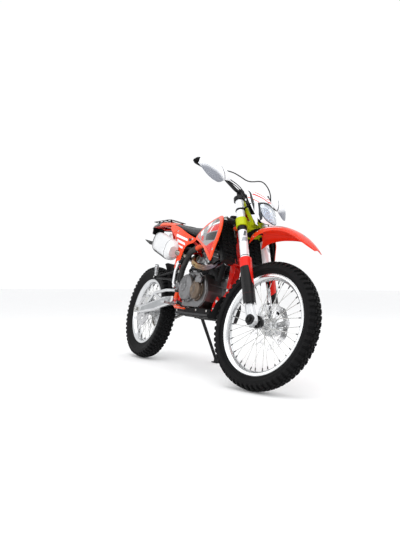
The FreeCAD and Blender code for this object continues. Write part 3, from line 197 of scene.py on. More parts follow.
def revolve(mb, prof, c, d, segs=48, mat=0, loop=False, ref=None):
    """(radius, along) profile turned about the axis d through c."""
    u, w, d = basis(d)
    if ref is not None:
        u = unit(np.asarray(ref, float) - d * np.dot(ref, d))
        w = np.cross(d, u)
    c = np.asarray(c, float)
    ang = np.arange(segs) * 2 * math.pi / segs
    cs, sn = np.cos(ang), np.sin(ang)
    rings, verts = [], []
    for r, a in prof:
        if r <= 1e-6:
            rings.append([len(verts)])
            verts.append(c + d * a)
        else:
            k = len(verts)
            rings.append(list(range(k, k + segs)))
            verts.extend(list(c + d * a + r * (np.outer(cs, u) + np.outer(sn, w))))
    faces = []
    pairs = list(zip(rings[:-1], rings[1:]))
    if loop:
        pairs.append((rings[-1], rings[0]))
    for p, q in pairs:
        if len(p) == 1 and len(q) == 1:
            continue
        for j in range(segs):
            k = (j + 1) % segs
            if len(p) == 1:
                faces.append((p[0], q[j], q[k]))
            elif len(q) == 1:
                faces.append((p[j], p[k], q[0]))
            else:
                faces.append((p[j], p[k], q[k], q[j]))
    mb.add(verts, faces, mat)


def rod(mb, a, b, r, ch=0.8, segs=20, mat=0, r2=None):
    a, b = np.asarray(a, float), np.asarray(b, float)
    L = np.linalg.norm(b - a)
    r2 = r if r2 is None else r2
    ch = min(ch, r * 0.45, r2 * 0.45, L * 0.4)
    revolve(mb, [(0, 0), (r - ch, 0), (r, ch), (r2, L - ch), (r2 - ch, L), (0, L)], a, b - a, segs, mat)


def pipe(mb, a, b, r, ri, ch=0.8, segs=28, mat=0):
    a, b = np.asarray(a, float), np.asarray(b, float)
    L = np.linalg.norm(b - a)
    revolve(mb, [(r - ch, 0), (r, ch), (r, L - ch), (r - ch, L), (ri, L), (ri, 0)], a, b - a, segs, mat, loop=True)


def catmull(pts, per=8):
    """Smooth line through the points."""
    p = [np.asarray(q, float) for q in pts]
    p = [2 * p[0] - p[1]] + p + [2 * p[-1] - p[-2]]
    out = []
    for i in range(1, len(p) - 2):
        p0, p1, p2, p3 = p[i - 1:i + 3]
        t0, t1 = 0.0, max(1e-6, np.linalg.norm(p1 - p0)) ** 0.5
        t2 = t1 + max(1e-6, np.linalg.norm(p2 - p1)) ** 0.5
        t3 = t2 + max(1e-6, np.linalg.norm(p3 - p2)) ** 0.5
        for k in range(per):
            t = t1 + (t2 - t1) * k / per
            a1 = (t1 - t) / (t1 - t0) * p0 + (t - t0) / (t1 - t0) * p1
            a2 = (t2 - t) / (t2 - t1) * p1 + (t - t1) / (t2 - t1) * p2
            a3 = (t3 - t) / (t3 - t2) * p2 + (t - t2) / (t3 - t2) * p3
            b1 = (t2 - t) / (t2 - t0) * a1 + (t - t0) / (t2 - t0) * a2
            b2 = (t3 - t) / (t3 - t1) * a2 + (t - t1) / (t3 - t1) * a3
            out.append((t2 - t) / (t2 - t1) * b1 + (t - t1) / (t2 - t1) * b2)
    out.append(p[-2])
    return out


def arcs(points, radius, step=0.16):
    """Straight steel runs joined by arcs, as for a bent tube."""
    pts = [np.asarray(p, float) for p in points]
    n = len(pts)
    rad = radius if isinstance(radius, (list, tuple)) else [radius] * (n - 2)
    out = [pts[0]]
    for i in range(1, n - 1):
        a, b, c = pts[i - 1:i + 2]
        u, w = unit(a - b), unit(c - b)
        ang = math.acos(max(-1, min(1, float(np.dot(u, w)))))
        turn = math.pi - ang
        if turn < 1e-3:
            continue
        t = min(rad[i - 1] * math.tan(turn / 2), 0.48 * min(np.linalg.norm(a - b), np.linalg.norm(c - b)))
        r = t / math.tan(turn / 2)
        ctr = b + unit(u + w) * (r / math.sin(ang / 2))
        p1, p2 = b + u * t, b + w * t
        e1 = unit(p1 - ctr)
        e2 = unit((p2 - ctr) - e1 * np.dot(p2 - ctr, e1))
        k = max(2, int(turn / step) + 1)
        for j in range(k + 1):
            q = turn * j / k
            out.append(ctr + r * (e1 * math.cos(q) + e2 * math.sin(q)))
    out.append(pts[-1])
    return out


def sweep(mb, line, r, segs=14, mat=0, cap=True, flat=None, up=None, closed=False, round_end=False):
    """Tube along a line of points. r is a number or one per point; flat is (width, height) scale."""
    P = np.array(line, float)
    n = len(P)
    T = np.zeros_like(P)
    T[1:-1] = P[2:] - P[:-2]
    T[0], T[-1] = P[1] - P[0], P[-1] - P[-2]
    T /= np.linalg.norm(T, axis=1)[:, None]
    R = np.full(n, r, float) if np.isscalar(r) else np.asarray(r, float)
    if up is None:
        u, _, _ = basis(T[0])
    else:
        u = np.asarray(up, float)
    rings = []
    sc = flat or (1.0, 1.0)
    for i in range(n):
        u = unit(u - T[i] * np.dot(u, T[i]))
        w = np.cross(T[i], u)
        a = np.arange(segs) * 2 * math.pi / segs
        rings.append(P[i] + R[i] * (np.outer(np.cos(a) * sc[0], u) + np.outer(np.sin(a) * sc[1], w)))
    verts = list(np.concatenate(rings))
    faces = ring_faces(n, segs)
    if cap:
        for i, sgn in ((0, -1), (n - 1, 1)):
            if round_end:
                base = i * segs
                ctr = P[i] + T[i] * sgn * R[i] * 0.45
                mid = P[i] + T[i] * sgn * R[i] * 0.3 + (rings[i] - P[i]) * 0.7
                k = len(verts)
                verts.extend(list(mid))
                verts.append(ctr)
                for j in range(segs):
                    jj = (j + 1) % segs
                    faces.append((base + j, base + jj, k + jj, k + j))
                    faces.append((k + j, k + jj, k + segs))
            else:
                faces.append(tuple(range(i * segs, i * segs + segs)))
    mb.add(verts, faces, mat)


def inset_poly(pts, d):
    """Moves a closed 2-D outline inwards by d (positive turns only)."""
    P = np.array(pts, float)
    area = 0.5 * np.sum(P[:, 0] * np.roll(P[:, 1], -1) - np.roll(P[:, 0], -1) * P[:, 1])
    sgn = 1.0 if area > 0 else -1.0
    out = []
    n = len(P)
    for i in range(n):
        a, b, c = P[i - 1], P[i], P[(i + 1) % n]
        e1, e2 = unit2(b - a), unit2(c - b)
        n1 = np.array([-e1[1], e1[0]]) * sgn
        n2 = np.array([-e2[1], e2[0]]) * sgn
        m = n1 + n2
        q = max(0.35, float(np.dot(m, m)) / 2)
        out.append(b + m * d / q)
    return np.array(out)


def unit2(v):
    return v / max(1e-9, np.linalg.norm(v))


def slab(mb, outline, o, U, Vv, t0, t1, ch=1.5, mat=0):
    """Chamfered plate: outline in the (U, Vv) plane through o, from t0 to t1 along its normal."""
    o, U, Vv = np.asarray(o, float), unit(U), unit(Vv)
    N = unit(np.cross(U, Vv))
    P = np.array(outline, float)
    ch = min(ch, abs(t1 - t0) * 0.4)
    I = inset_poly(P, ch)
    sg = 1.0 if t1 > t0 else -1.0
    rings = []
    for q, t in ((I, t0), (P, t0 + sg * ch), (P, t1 - sg * ch), (I, t1)):
        rings.append(o + np.outer(q[:, 0], U) + np.outer(q[:, 1], Vv) + N * t)
    m = len(P)
    faces = ring_faces(4, m)
    faces.append(tuple(range(m)))
    faces.append(tuple(range(3 * m, 4 * m)))
    mb.add(np.concatenate(rings), faces, mat)


def plate(mb, outline_xz, y0, y1, ch=1.5, mat=0):
    """Plate with its outline in X and Z, between y0 and y1."""
    slab(mb, outline_xz, (0, 0, 0), (1, 0, 0), (0, 0, 1), -y0, -y1, ch, mat)


def brick(mb, x0, x1, y0, y1, z0, z1, ch=1.5, mat=0):
    plate(mb, [(x0, z0), (x1, z0), (x1, z1), (x0, z1)], y0, y1, ch, mat)


def circle2(cx, cz, r, n=24, a0=0.0):
    return [(cx + r * math.cos(a0 + 2 * math.pi * k / n), cz + r * math.sin(a0 + 2 * math.pi * k / n)) for k in range(n)]


def bolt(mb, p, d, r=5.0, h=4.0, mat=0, washer=True, socket=False):
    """Hex or socket head bolt standing out of p along d."""
    p, d = np.asarray(p, float), unit(d)
    if washer:
        rod(mb, p - d * 0.6, p + d * 1.0, r * 1.55, 0.3, 18, mat)
    if socket:
        revolve(mb, [(0, -0.6), (r, -0.6), (r, h - 0.7), (r - 0.7, h), (r * 0.55, h), (r * 0.55, h * 0.45), (0, h * 0.45)], p, d, 14, mat)
    else:
        revolve(mb, [(0, -0.6), (r * 1.1, -0.6), (r * 1.1, h - 0.8), (r * 0.92, h), (0, h)], p, d, 6, mat)


def torus(mb, c, d, R, r, segs=40, m=10, mat=0):
    prof = [(R + r * math.cos(2 * math.pi * k / m), r * math.sin(2 * math.pi * k / m)) for k in range(m)]
    revolve(mb, prof, c, d, segs, mat, loop=True)


def helix(mb, a, b, R, r, turns, mat=0, segs=8, per=14):
    a, b = np.asarray(a, float), np.asarray(b, float)
    u, w, d = basis(b - a)
    L = np.linalg.norm(b - a)
    n = int(turns * per)
    line = []
    for k in range(n + 1):
        t = 2 * math.pi * turns * k / n
        line.append(a + d * L * k / n + R * (u * math.cos(t) + w * math.sin(t)))
    sweep(mb, line, r, segs, mat)


def shell(mb, grid, t, mat=0, flip=False, mat_in=None):
    """Thin closed shell over a grid of points; t is its thickness, inwards."""
    G = np.array(grid, float)
    n, m = G.shape[:2]
    du = np.gradient(G, axis=0)
    dv = np.gradient(G, axis=1)
    N = np.cross(du, dv)
    N /= np.maximum(1e-9, np.linalg.norm(N, axis=2))[..., None]
    if flip:
        N = -N
    I = G - N * t
    verts = np.concatenate([G.reshape(-1, 3), I.reshape(-1, 3)])
    k = n * m
    faces = []
    for i in range(n - 1):
        for j in range(m - 1):
            a, b, c, d = i * m + j, i * m + j + 1, (i + 1) * m + j + 1, (i + 1) * m + j
            faces.append((a, b, c, d))
    nf = len(faces)
    inner = [(f[3] + k, f[2] + k, f[1] + k, f[0] + k) for f in faces]
    rim = []
    edge = [i * m for i in range(n)] + [(n - 1) * m + j for j in range(1, m)] + [i * m + m - 1 for i in range(n - 2, -1, -1)] + [j for j in range(m - 2, 0, -1)]
    for q in range(len(edge)):
        a, b = edge[q], edge[(q + 1) % len(edge)]
        rim.append((a, b, b + k, a + k))
    mb.add(verts, faces + rim, mat)
    mb.n -= len(verts)
    mb.v.pop()
    mb.add(verts, inner, mat if mat_in is None else mat_in)
    return nf


def curve(name, pts, r, body, mat, st=False, rep=(), res=8, order=3, raw=False):
    """Hose or cable: a NURBS line with the route's points as its control points."""
    cd = bpy.data.curves.new(name, "CURVE")
    cd.dimensions = "3D"
    cd.bevel_depth = r / 1000.0
    cd.bevel_resolution = 4
    cd.resolution_u = res
    cd.use_fill_caps = True
    sp = cd.splines.new("NURBS")
    w = W(np.array(pts, float), st) if not raw else np.array(pts, float)
    sp.points.add(len(w) - 1)
    for i, p in enumerate(w):
        sp.points[i].co = (p[0], p[1], p[2], 1.0)
    sp.order_u = order
    sp.use_endpoint_u = True
    cd.materials.append(mat)
    o = bpy.data.objects.new(name, cd)
    bpy.context.scene.collection.objects.link(o)
    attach(o, body)
    if rep:
        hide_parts(*rep)
    return o


def lut(rows, per=24):
    """Smooth table through rows of (position, values...), returned as a function of position."""
    R = sorted(rows)
    out = []
    w = len(R[0]) - 1
    pts = [np.array([r[0]] + [0, 0]) for r in R]
    xs = np.array([r[0] for r in R], float)
    ys = np.array([r[1:] for r in R], float)
    m = np.zeros_like(ys)
    d = (ys[1:] - ys[:-1]) / (xs[1:] - xs[:-1])[:, None]
    m[0], m[-1] = d[0], d[-1]
    m[1:-1] = (d[:-1] * (xs[2:] - xs[1:-1])[:, None] + d[1:] * (xs[1:-1] - xs[:-2])[:, None]) / (xs[2:] - xs[:-2])[:, None]

    def f(x):
        x = float(np.clip(x, xs[0], xs[-1]))
        i = int(np.clip(np.searchsorted(xs, x) - 1, 0, len(xs) - 2))
        h = xs[i + 1] - xs[i]
        t = (x - xs[i]) / h
        return ((2 * t ** 3 - 3 * t ** 2 + 1) * ys[i] + (t ** 3 - 2 * t ** 2 + t) * h * m[i] + (-2 * t ** 3 + 3 * t ** 2) * ys[i + 1] + (t ** 3 - t ** 2) * h * m[i + 1])

    return f


def rounded(outline, r=6.0, k=3):
    """2-D outline with its corners rounded."""
    P = [np.asarray(p, float) for p in outline]
    n = len(P)
    out = []
    for i in range(n):
        a, b, c = P[i - 1], P[i], P[(i + 1) % n]
        u, w = a - b, c - b
        lu, lw = np.linalg.norm(u), np.linalg.norm(w)
        u, w = u / lu, w / lw
        t = min(r, 0.42 * lu, 0.42 * lw)
        if abs(float(np.dot(u, w)) + 1) < 0.01:
            out.append(b)
            continue
        for j in range(k + 1):
            q = j / k
            out.append((1 - q) ** 2 * (b + u * t) + 2 * q * (1 - q) * b + q * q * (b + w * t))
    return np.array(out)


def smooth_outline(outline, per=5):
    """Closed smooth curve through a 2-D outline."""
    P = [np.array([p[0], p[1], 0.0]) for p in outline]
    n = len(P)
    ext = [P[-1]] + P + [P[0], P[1]]
    out = []
    for i in range(1, n + 1):
        seg = catmull([ext[i - 1], ext[i], ext[i + 1], ext[i + 2] if i + 2 < len(ext) else P[1]], per)
        out += [(q[0], q[1]) for q in seg[per:2 * per]]
    return np.array(out)


def clip_grid(outlines, cu, cv):
    """Cuts flat outlines along lines of constant u and v; gives points and faces."""
    bm = bmesh.new()
    for o in outlines:
        vs = [bm.verts.new((float(a), float(b), 0.0)) for a, b in o]
        bm.faces.new(vs)
    bmesh.ops.remove_doubles(bm, verts=bm.verts, dist=1e-3)
    for k, cuts in ((0, cu), (1, cv)):
        for c in cuts:
            co = [0.0, 0.0, 0.0]
            no = [0.0, 0.0, 0.0]
            co[k], no[k] = float(c), 1.0
            bmesh.ops.bisect_plane(bm, geom=bm.verts[:] + bm.edges[:] + bm.faces[:], dist=1e-4, plane_co=co, plane_no=no)
    bmesh.ops.remove_doubles(bm, verts=bm.verts, dist=0.02)
    bm.verts.index_update()
    pts = np.array([v.co[:2] for v in bm.verts])
    faces = [[v.index for v in f.verts] for f in bm.faces]
    rims = [(e.verts[0].index, e.verts[1].index) for e in bm.edges if len(e.link_faces) == 1]
    bm.free()
    return pts, faces, rims


def skin(mb, outlines, fn, cu, cv, t=3.0, mat=0, mat_in=None, sg=1.0, rim_mat=None, pts_faces=None):
    """Curved plate of thickness t: flat outlines in (u, v) laid on the surface fn."""
    pts, faces, rims = clip_grid(outlines, cu, cv) if pts_faces is None else pts_faces
    P = np.array([fn(u, v) for u, v in pts])
    e = 0.6
    du = np.array([fn(u + e, v) for u, v in pts]) - np.array([fn(u - e, v) for u, v in pts])
    dv = np.array([fn(u, v + e) for u, v in pts]) - np.array([fn(u, v - e) for u, v in pts])
    N = np.cross(du, dv)
    N /= np.maximum(1e-9, np.linalg.norm(N, axis=1))[:, None]
    Q = P - N * t * sg
    k = len(P)
    V = np.concatenate([P, Q])
    b = mb.n
    mb.add(V, faces, mat)
    for q in faces:
        mb.f.append([i + k + b for i in q[::-1]])
        mb.m.append(mat if mat_in is None else mat_in)
    for a, c in rims:
        mb.f.append([a + b, c + b, c + k + b, a + k + b])
        mb.m.append(mat if rim_mat is None else rim_mat)


def frange(a, b, step):
    n = max(1, int(round((b - a) / step)))
    return [a + (b - a) * i / n for i in range(1, n)]


# --------------------------------------------------------------- materials
class NT:
    """One procedural material."""

    def __init__(self, name):
        self.mat = bpy.data.materials.new(name)
        self.mat.use_nodes = True
        self.nt = self.mat.node_tree
        self.nt.nodes.clear()
        self.out = self.nt.nodes.new("ShaderNodeOutputMaterial")
        self.b = self.nt.nodes.new("ShaderNodeBsdfPrincipled")
        self.nt.links.new(self.b.outputs[0], self.out.inputs[0])
        self._c = {}

    def put(self, sock, v):
        if isinstance(v, bpy.types.NodeSocket):
            self.nt.links.new(v, sock)
        elif isinstance(v, (tuple, list)) and len(v) == 3 and sock.type == "RGBA":
            sock.default_value = (*v, 1.0)
        else:
            sock.default_value = v

    def set(self, **kw):
        names = {"base": "Base Color", "metal": "Metallic", "rough": "Roughness", "coat": "Coat Weight", "coat_rough": "Coat Roughness",
                 "spec": "Specular IOR Level", "ior": "IOR", "sheen": "Sheen Weight", "sheen_rough": "Sheen Roughness", "aniso": "Anisotropic",
                 "trans": "Transmission Weight", "alpha": "Alpha", "normal": "Normal", "emit": "Emission Color", "emit_s": "Emission Strength"}
        for k, v in kw.items():
            self.put(self.b.inputs[names[k]], v)
        return self

    def node(self, kind, **props):
        n = self.nt.nodes.new(kind)
        for k, v in props.items():
            setattr(n, k, v)
        return n

    def math(self, op, a, b=0.0, clamp=False):
        n = self.node("ShaderNodeMath", operation=op, use_clamp=clamp)
        self.put(n.inputs[0], a)
        self.put(n.inputs[1], b)
        return n.outputs[0]

    def dot(self, a, vec):
        n = self.node("ShaderNodeVectorMath", operation="DOT_PRODUCT")
        self.put(n.inputs[0], a)
        n.inputs[1].default_value = tuple(float(x) for x in vec)
        return n.outputs["Value"]

    def mix(self, fac, a, b):
        n = self.node("ShaderNodeMix", data_type="RGBA")
        self.put(n.inputs[0], fac)
        self.put(n.inputs[6], a)
        self.put(n.inputs[7], b)
        return n.outputs[2]

    def lerp(self, fac, a, b):
        n = self.node("ShaderNodeMix", data_type="FLOAT")
        self.put(n.inputs[0], fac)
        self.put(n.inputs[2], a)
        self.put(n.inputs[3], b)
        return n.outputs[0]

    def coord(self, st=False):
        """Bike-frame place in metres, which stays with the piece as it moves."""
        if st not in self._c:
            tc = self.node("ShaderNodeTexCoord")
            mp = self.node("ShaderNodeMapping", vector_type="POINT")
            A = R_LEAN.T
            o = ORG
            if st:
                A = R_ST.T @ R_LEAN.T
                loc = PT / 1000.0 - R_ST.T @ (PT / 1000.0) - A @ o
            else:
                loc = -A @ o
            e = Matrix(A.tolist()).to_euler("XYZ")
            mp.inputs["Location"].default_value = tuple(float(x) for x in loc)
            mp.inputs["Rotation"].default_value = (e.x, e.y, e.z)
            self.nt.links.new(tc.outputs["Object"], mp.inputs["Vector"])
            self._c[st] = mp.outputs[0]
        return self._c[st]

    def scaled(self, v, sc):
        n = self.node("ShaderNodeVectorMath", operation="MULTIPLY")
        self.put(n.inputs[0], v)
        n.inputs[1].default_value = sc
        return n.outputs[0]

    def noise(self, scale, detail=3.0, rough=0.5, coord=None, dist=0.0):
        n = self.node("ShaderNodeTexNoise")
        n.inputs["Scale"].default_value = scale
        n.inputs["Detail"].default_value = detail
        n.inputs["Roughness"].default_value = rough
        n.inputs["Distortion"].default_value = dist
        self.nt.links.new(coord if coord is not None else self.coord(), n.inputs["Vector"])
        return n.outputs[0]

    def voronoi(self, scale, feature="F1", coord=None):
        n = self.node("ShaderNodeTexVoronoi", feature=feature)
        n.inputs["Scale"].default_value = scale
        self.nt.links.new(coord if coord is not None else self.coord(), n.inputs["Vector"])
        return n.outputs["Distance"]

    def ramp(self, fac, stops):
        n = self.node("ShaderNodeValToRGB")
        while len(n.color_ramp.elements) < len(stops):
            n.color_ramp.elements.new(0.5)
        for e, (p, c) in zip(n.color_ramp.elements, stops):
            e.position = p
            e.color = (*c, 1.0) if len(c) == 3 else c
        self.nt.links.new(fac, n.inputs[0])
        return n.outputs[0]

    def map(self, fac, a, b, c, d, clamp=True):
        n = self.node("ShaderNodeMapRange", clamp=clamp)
        self.put(n.inputs[0], fac)
        for i, v in enumerate((a, b, c, d)):
            n.inputs[1 + i].default_value = v
        return n.outputs[0]

    def bump(self, h, strength=0.3, dist=0.001, normal=None):
        n = self.node("ShaderNodeBump")
        n.inputs["Strength"].default_value = strength
        n.inputs["Distance"].default_value = dist
        self.put(n.inputs["Height"], h)
        if normal is not None:
            self.put(n.inputs["Normal"], normal)
        self.put(self.b.inputs["Normal"], n.outputs[0])
        return n.outputs[0]

    def poly(self, outline, U, V, coord, soft=0.0005):
        """1 inside a convex outline given along U and V, in metres."""
        P = np.array(outline, float)
        area = 0.5 * np.sum(P[:, 0] * np.roll(P[:, 1], -1) - np.roll(P[:, 0], -1) * P[:, 1])
        if area < 0:
            P = P[::-1]
        U, V = np.asarray(U, float), np.asarray(V, float)
        out = None
        for i in range(len(P)):
            a, b = P[i], P[(i + 1) % len(P)]
            e = b - a
            nrm = np.array([-e[1], e[0]]) / max(1e-9, np.hypot(*e))
            vec = U * nrm[0] + V * nrm[1]
            d = self.dot(coord, vec / soft)
            d = self.math("SUBTRACT", d, float(np.dot(nrm, a)) / soft, clamp=True)
            out = d if out is None else self.math("MINIMUM", out, d)
        return out

    def graphics(self, base, layers, st, U, V):
        c = self.coord(st)
        col = base
        for colour, outlines in layers:
            m = None
            for o in outlines:
                q = self.poly([(x / 1000.0, z / 1000.0) for x, z in o], U, V, c)
                m = q if m is None else self.math("MAXIMUM", m, q)
            col = self.mix(m, col, colour)
        return col


ORANGE, RED, WHITE = (0.80, 0.046, 0.0015), (0.58, 0.007, 0.003), (0.80, 0.81, 0.83)
BLACK, GREY, LGREY, LIME = (0.010, 0.010, 0.011), (0.11, 0.113, 0.118), (0.20, 0.204, 0.214), (0.46, 0.52, 0.006)
X3, Y3, Z3 = (1, 0, 0), (0, 1, 0), (0, 0, 1)


def m_plastic(name, base, rough=0.28, grain=0.0, st=False, layers=None, U=X3, V=Z3, coat=0.35, scuff=0.5, spec=0.5):
    """Injection-moulded plastic: faint flow mottling, orange peel, fine scuffs."""
    t = NT(name)
    c = t.coord(st)
    col = t.graphics(base, layers, st, U, V) if layers else base
    big = t.noise(9.0, 3.0, 0.6, c)
    col = t.mix(t.map(big, 0.35, 0.75, 0.0, 0.14), col, tuple(x * 0.72 for x in (base if not layers else (0.6, 0.5, 0.5))) if not layers else col)
    fine = t.noise(260.0, 2.0, 0.5, c)
    scr = t.noise(60.0, 6.0, 0.7, t.scaled(c, (1.0, 0.25, 3.0)))
    t.set(base=col, rough=t.map(scr, 0.3, 0.8, rough * 0.8, rough * (1.25 + scuff)), coat=coat, coat_rough=0.08, ior=1.49, spec=spec)
    if grain:
        g = t.voronoi(900.0, coord=c)
        t.bump(t.math("ADD", t.math("MULTIPLY", g, 1.0), fine), grain, 0.0006)
    else:
        t.bump(t.math("ADD", t.math("MULTIPLY", fine, 0.25), big), 0.10, 0.0012)
    return t.mat


def m_paint(name, base, rough=0.24, st=False, dirt=0.25, coat=0.7):
    """Sprayed paint over metal, with a darker cast in hollows and faint orange peel."""
    t = NT(name)
    c = t.coord(st)
    n = t.noise(14.0, 5.0, 0.6, c)
    col = t.mix(t.map(n, 0.45, 0.8, 0.0, dirt), base, tuple(x * 0.45 for x in base))
    peel = t.noise(190.0, 2.0, 0.5, c)
    t.set(base=col, rough=t.map(t.noise(35.0, 5.0, 0.7, c), 0.3, 0.8, rough * 0.8, rough * 1.6), coat=coat, coat_rough=0.06)
    t.bump(peel, 0.10, 0.0008)
    return t.mat


def m_metal(name, base, rough=0.3, st=False, cast=0.0, brush=None, var=0.25, tint=None, aniso=0.0):
    """Bare alloy or steel. brush is a stretch vector for machining lines; cast is grain depth."""
    t = NT(name)
    c = t.coord(st)
    n = t.noise(11.0, 6.0, 0.65, c)
    col = t.mix(t.map(n, 0.35, 0.75, 0.0, 1.0), base, tint or tuple(x * (1 - var) for x in base))
    r = t.map(t.noise(42.0, 5.0, 0.7, c), 0.3, 0.75, rough * 0.75, rough * 1.35)
    t.set(base=col, metal=1.0, rough=r, aniso=aniso)
    if brush:
        b = t.noise(1.0, 3.0, 0.6, t.scaled(c, brush))
        t.bump(b, 0.16, 0.0005)
    elif cast:
        g = t.noise(420.0, 3.0, 0.7, c)
        t.bump(t.math("ADD", g, t.math("MULTIPLY", t.voronoi(650.0, coord=c), 0.8)), cast, 0.0009)
    return t.mat


def m_turned(name, base, centre, axis, rough=0.2, st=False, freq=900.0, metal=1.0, strength=0.12, streak=0.2):
    """Lathe-turned or circularly brushed metal round a centre and axis, in the bike frame."""
    t = NT(name)
    c = t.coord(st)
    sub = t.node("ShaderNodeVectorMath", operation="SUBTRACT")
    t.put(sub.inputs[0], c)
    sub.inputs[1].default_value = tuple(float(x) / 1000.0 for x in centre)
    rel = sub.outputs[0]
    al = t.dot(rel, axis)
    ln = t.node("ShaderNodeVectorMath", operation="LENGTH")
    t.put(ln.inputs[0], rel)
    rad = t.math("SQRT", t.math("MAXIMUM", t.math("SUBTRACT", t.math("POWER", ln.outputs["Value"], 2.0), t.math("POWER", al, 2.0)), 1e-8))
    comb = t.node("ShaderNodeCombineXYZ")
    t.put(comb.inputs[0], rad)
    t.put(comb.inputs[1], al)
    lines = t.noise(freq, 2.0, 0.6, comb.outputs[0])
    big = t.noise(12.0, 5.0, 0.6, c)
    t.set(base=t.mix(t.map(big, 0.35, 0.75, 0.0, 1.0), base, tuple(x * (1 - streak) for x in base)), metal=metal,
          rough=t.map(lines, 0.3, 0.7, rough * 0.8, rough * 1.4), aniso=0.3)
    t.bump(lines, strength, 0.0004)
    return t.mat


def m_rubber(name, base=(0.0055, 0.0055, 0.006), rough=0.72, st=False, grain=0.35, dust=(0.020, 0.019, 0.018)):
    t = NT(name)
    c = t.coord(st)
    n = t.noise(18.0, 7.0, 0.7, c)
    f = t.noise(520.0, 3.0, 0.6, c)
    col = t.mix(t.map(n, 0.50, 0.85, 0.0, 0.45), base, dust)
    col = t.mix(t.map(f, 0.55, 0.8, 0.0, 0.25), col, tuple(x * 1.6 for x in base))
    t.set(base=col, rough=t.map(n, 0.3, 0.8, rough * 0.86, min(1.0, rough * 1.2)), spec=0.22, sheen=0.03, sheen_rough=0.5)
    t.bump(t.math("ADD", f, t.math("MULTIPLY", t.noise(90.0, 5.0, 0.6, c), 1.6)), grain, 0.0011)
    return t.mat


M = {}
for st in (False, True):
    k = "_f" if st else ""
    M["black" + k] = m_plastic("grained_black" + k, (0.0045, 0.0045, 0.005), 0.46, grain=0.30, st=st, coat=0.0, spec=0.3)
    M["black_gloss" + k] = m_plastic("moulded_black" + k, (0.010, 0.010, 0.011), 0.22, st=st, coat=0.3)
    M["alloy" + k] = m_metal("cast_alloy" + k, (0.60, 0.61, 0.62), 0.36, st=st, cast=0.28)
    M["alloy_dark" + k] = m_metal("cast_dark" + k, (0.20, 0.20, 0.205), 0.42, st=st, cast=0.3)
    M["satin_black" + k] = m_paint("satin_black" + k, (0.0055, 0.0055, 0.006), 0.38, st=st, dirt=0.1, coat=0.2)
    M["zinc" + k] = m_metal("zinc_steel" + k, (0.62, 0.62, 0.60), 0.26, st=st, var=0.3)
    M["steel" + k] = m_metal("machined_steel" + k, (0.56, 0.56, 0.57), 0.22, st=st, brush=(60, 900, 60), var=0.2)
    M["rubber" + k] = m_rubber("moulded_rubber" + k, rough=0.6, st=st, grain=0.25, dust=(0.03, 0.03, 0.03))
    M["orange" + k] = m_plastic("orange_gloss" + k, ORANGE, 0.20, st=st, coat=0.5)
    M["white" + k] = m_plastic("white_gloss" + k, WHITE, 0.22, st=st, coat=0.4)
    M["polished" + k] = m_metal("polished_alloy" + k, (0.83, 0.84, 0.85), 0.14, st=st, var=0.08)
M["frame_red"] = m_paint("frame_red", RED, 0.22, dirt=0.3)
M["frame_orange"] = m_paint("frame_orange", (0.76, 0.060, 0.004), 0.22, dirt=0.3)
M["lime"] = m_paint("lime_paint", LIME, 0.34, st=True, dirt=0.3, coat=0.35)
M["tyre"] = m_rubber("tyre_rubber")
M["tyre_f"] = m_rubber("tyre_rubber_f", st=True)
M["rim_f"] = m_turned("rim_alloy_f", (0.66, 0.67, 0.68), FC, (0, 1, 0), 0.20, st=True, streak=0.06)
M["rim_r"] = m_turned("rim_alloy_r", (0.66, 0.67, 0.68), RC, (0, 1, 0), 0.20, streak=0.06)
M["disc_f"] = m_turned("disc_steel_f", (0.60, 0.60, 0.61), FC, (0, 1, 0), 0.2, st=True, freq=1500.0, strength=0.2)
M["disc_r"] = m_turned("disc_steel_r", (0.60, 0.60, 0.61), RC, (0, 1, 0), 0.2, freq=1500.0, strength=0.2)
M["cover"] = m_metal("engine_cover", (0.21, 0.21, 0.215), 0.36, cast=0.12, var=0.26)


def m_header():
    """Heat-tinted steel: straw near the head, brown and blue further on."""
    t = NT("header_steel")
    c = t.coord()
    x = t.dot(c, (1, 0, 0))
    n = t.noise(16.0, 5.0, 0.6, c)
    v = t.math("ADD", t.map(x, 0.70, 1.05, 0.0, 1.0), t.math("MULTIPLY", t.math("SUBTRACT", n, 0.5), 0.5))
    col = t.ramp(v, [(0.0, (0.26, 0.24, 0.22)), (0.25, (0.26, 0.17, 0.07)), (0.5, (0.34, 0.21, 0.06)), (0.75, (0.20, 0.11, 0.05)), (1.0, (0.12, 0.10, 0.12))])
    t.set(base=col, metal=1.0, rough=t.map(t.noise(50.0, 5.0, 0.7, c), 0.3, 0.8, 0.13, 0.32))
    t.bump(t.noise(160.0, 3.0, 0.6, c), 0.06, 0.0006)
    return t.mat


M["header"] = m_header()


def m_glass(name, base, trans=0.85, rough=0.04, ior=1.49):
    t = NT(name)
    c = t.coord(True)
    n = t.noise(30.0, 3.0, 0.5, c)
    t.set(base=t.mix(t.map(n, 0.3, 0.8, 0.0, 0.2), base, tuple(min(1, x * 0.9) for x in base)), trans=trans, rough=rough, ior=ior, coat=0.3, coat_rough=0.02)
    t.bump(n, 0.03, 0.0006)
    return t.mat


M["lens"] = m_glass("lamp_lens", (0.86, 0.92, 1.0), 0.72)
M["amber"] = m_glass("amber_lens", (0.9, 0.35, 0.03), 0.5)


def m_red_lens():
    t = NT("red_lens")
    c = t.coord()
    w = t.math("SINE", t.math("MULTIPLY", t.dot(c, (0, 1, 0)), 900.0))
    t.set(base=t.mix(t.map(w, -1, 1, 0.0, 0.5), (0.62, 0.012, 0.01), (0.30, 0.004, 0.004)), rough=0.12, coat=0.8, coat_rough=0.03, trans=0.25, ior=1.49)
    t.bump(w, 0.25, 0.0006)
    return t.mat


M["red_lens"] = m_red_lens()


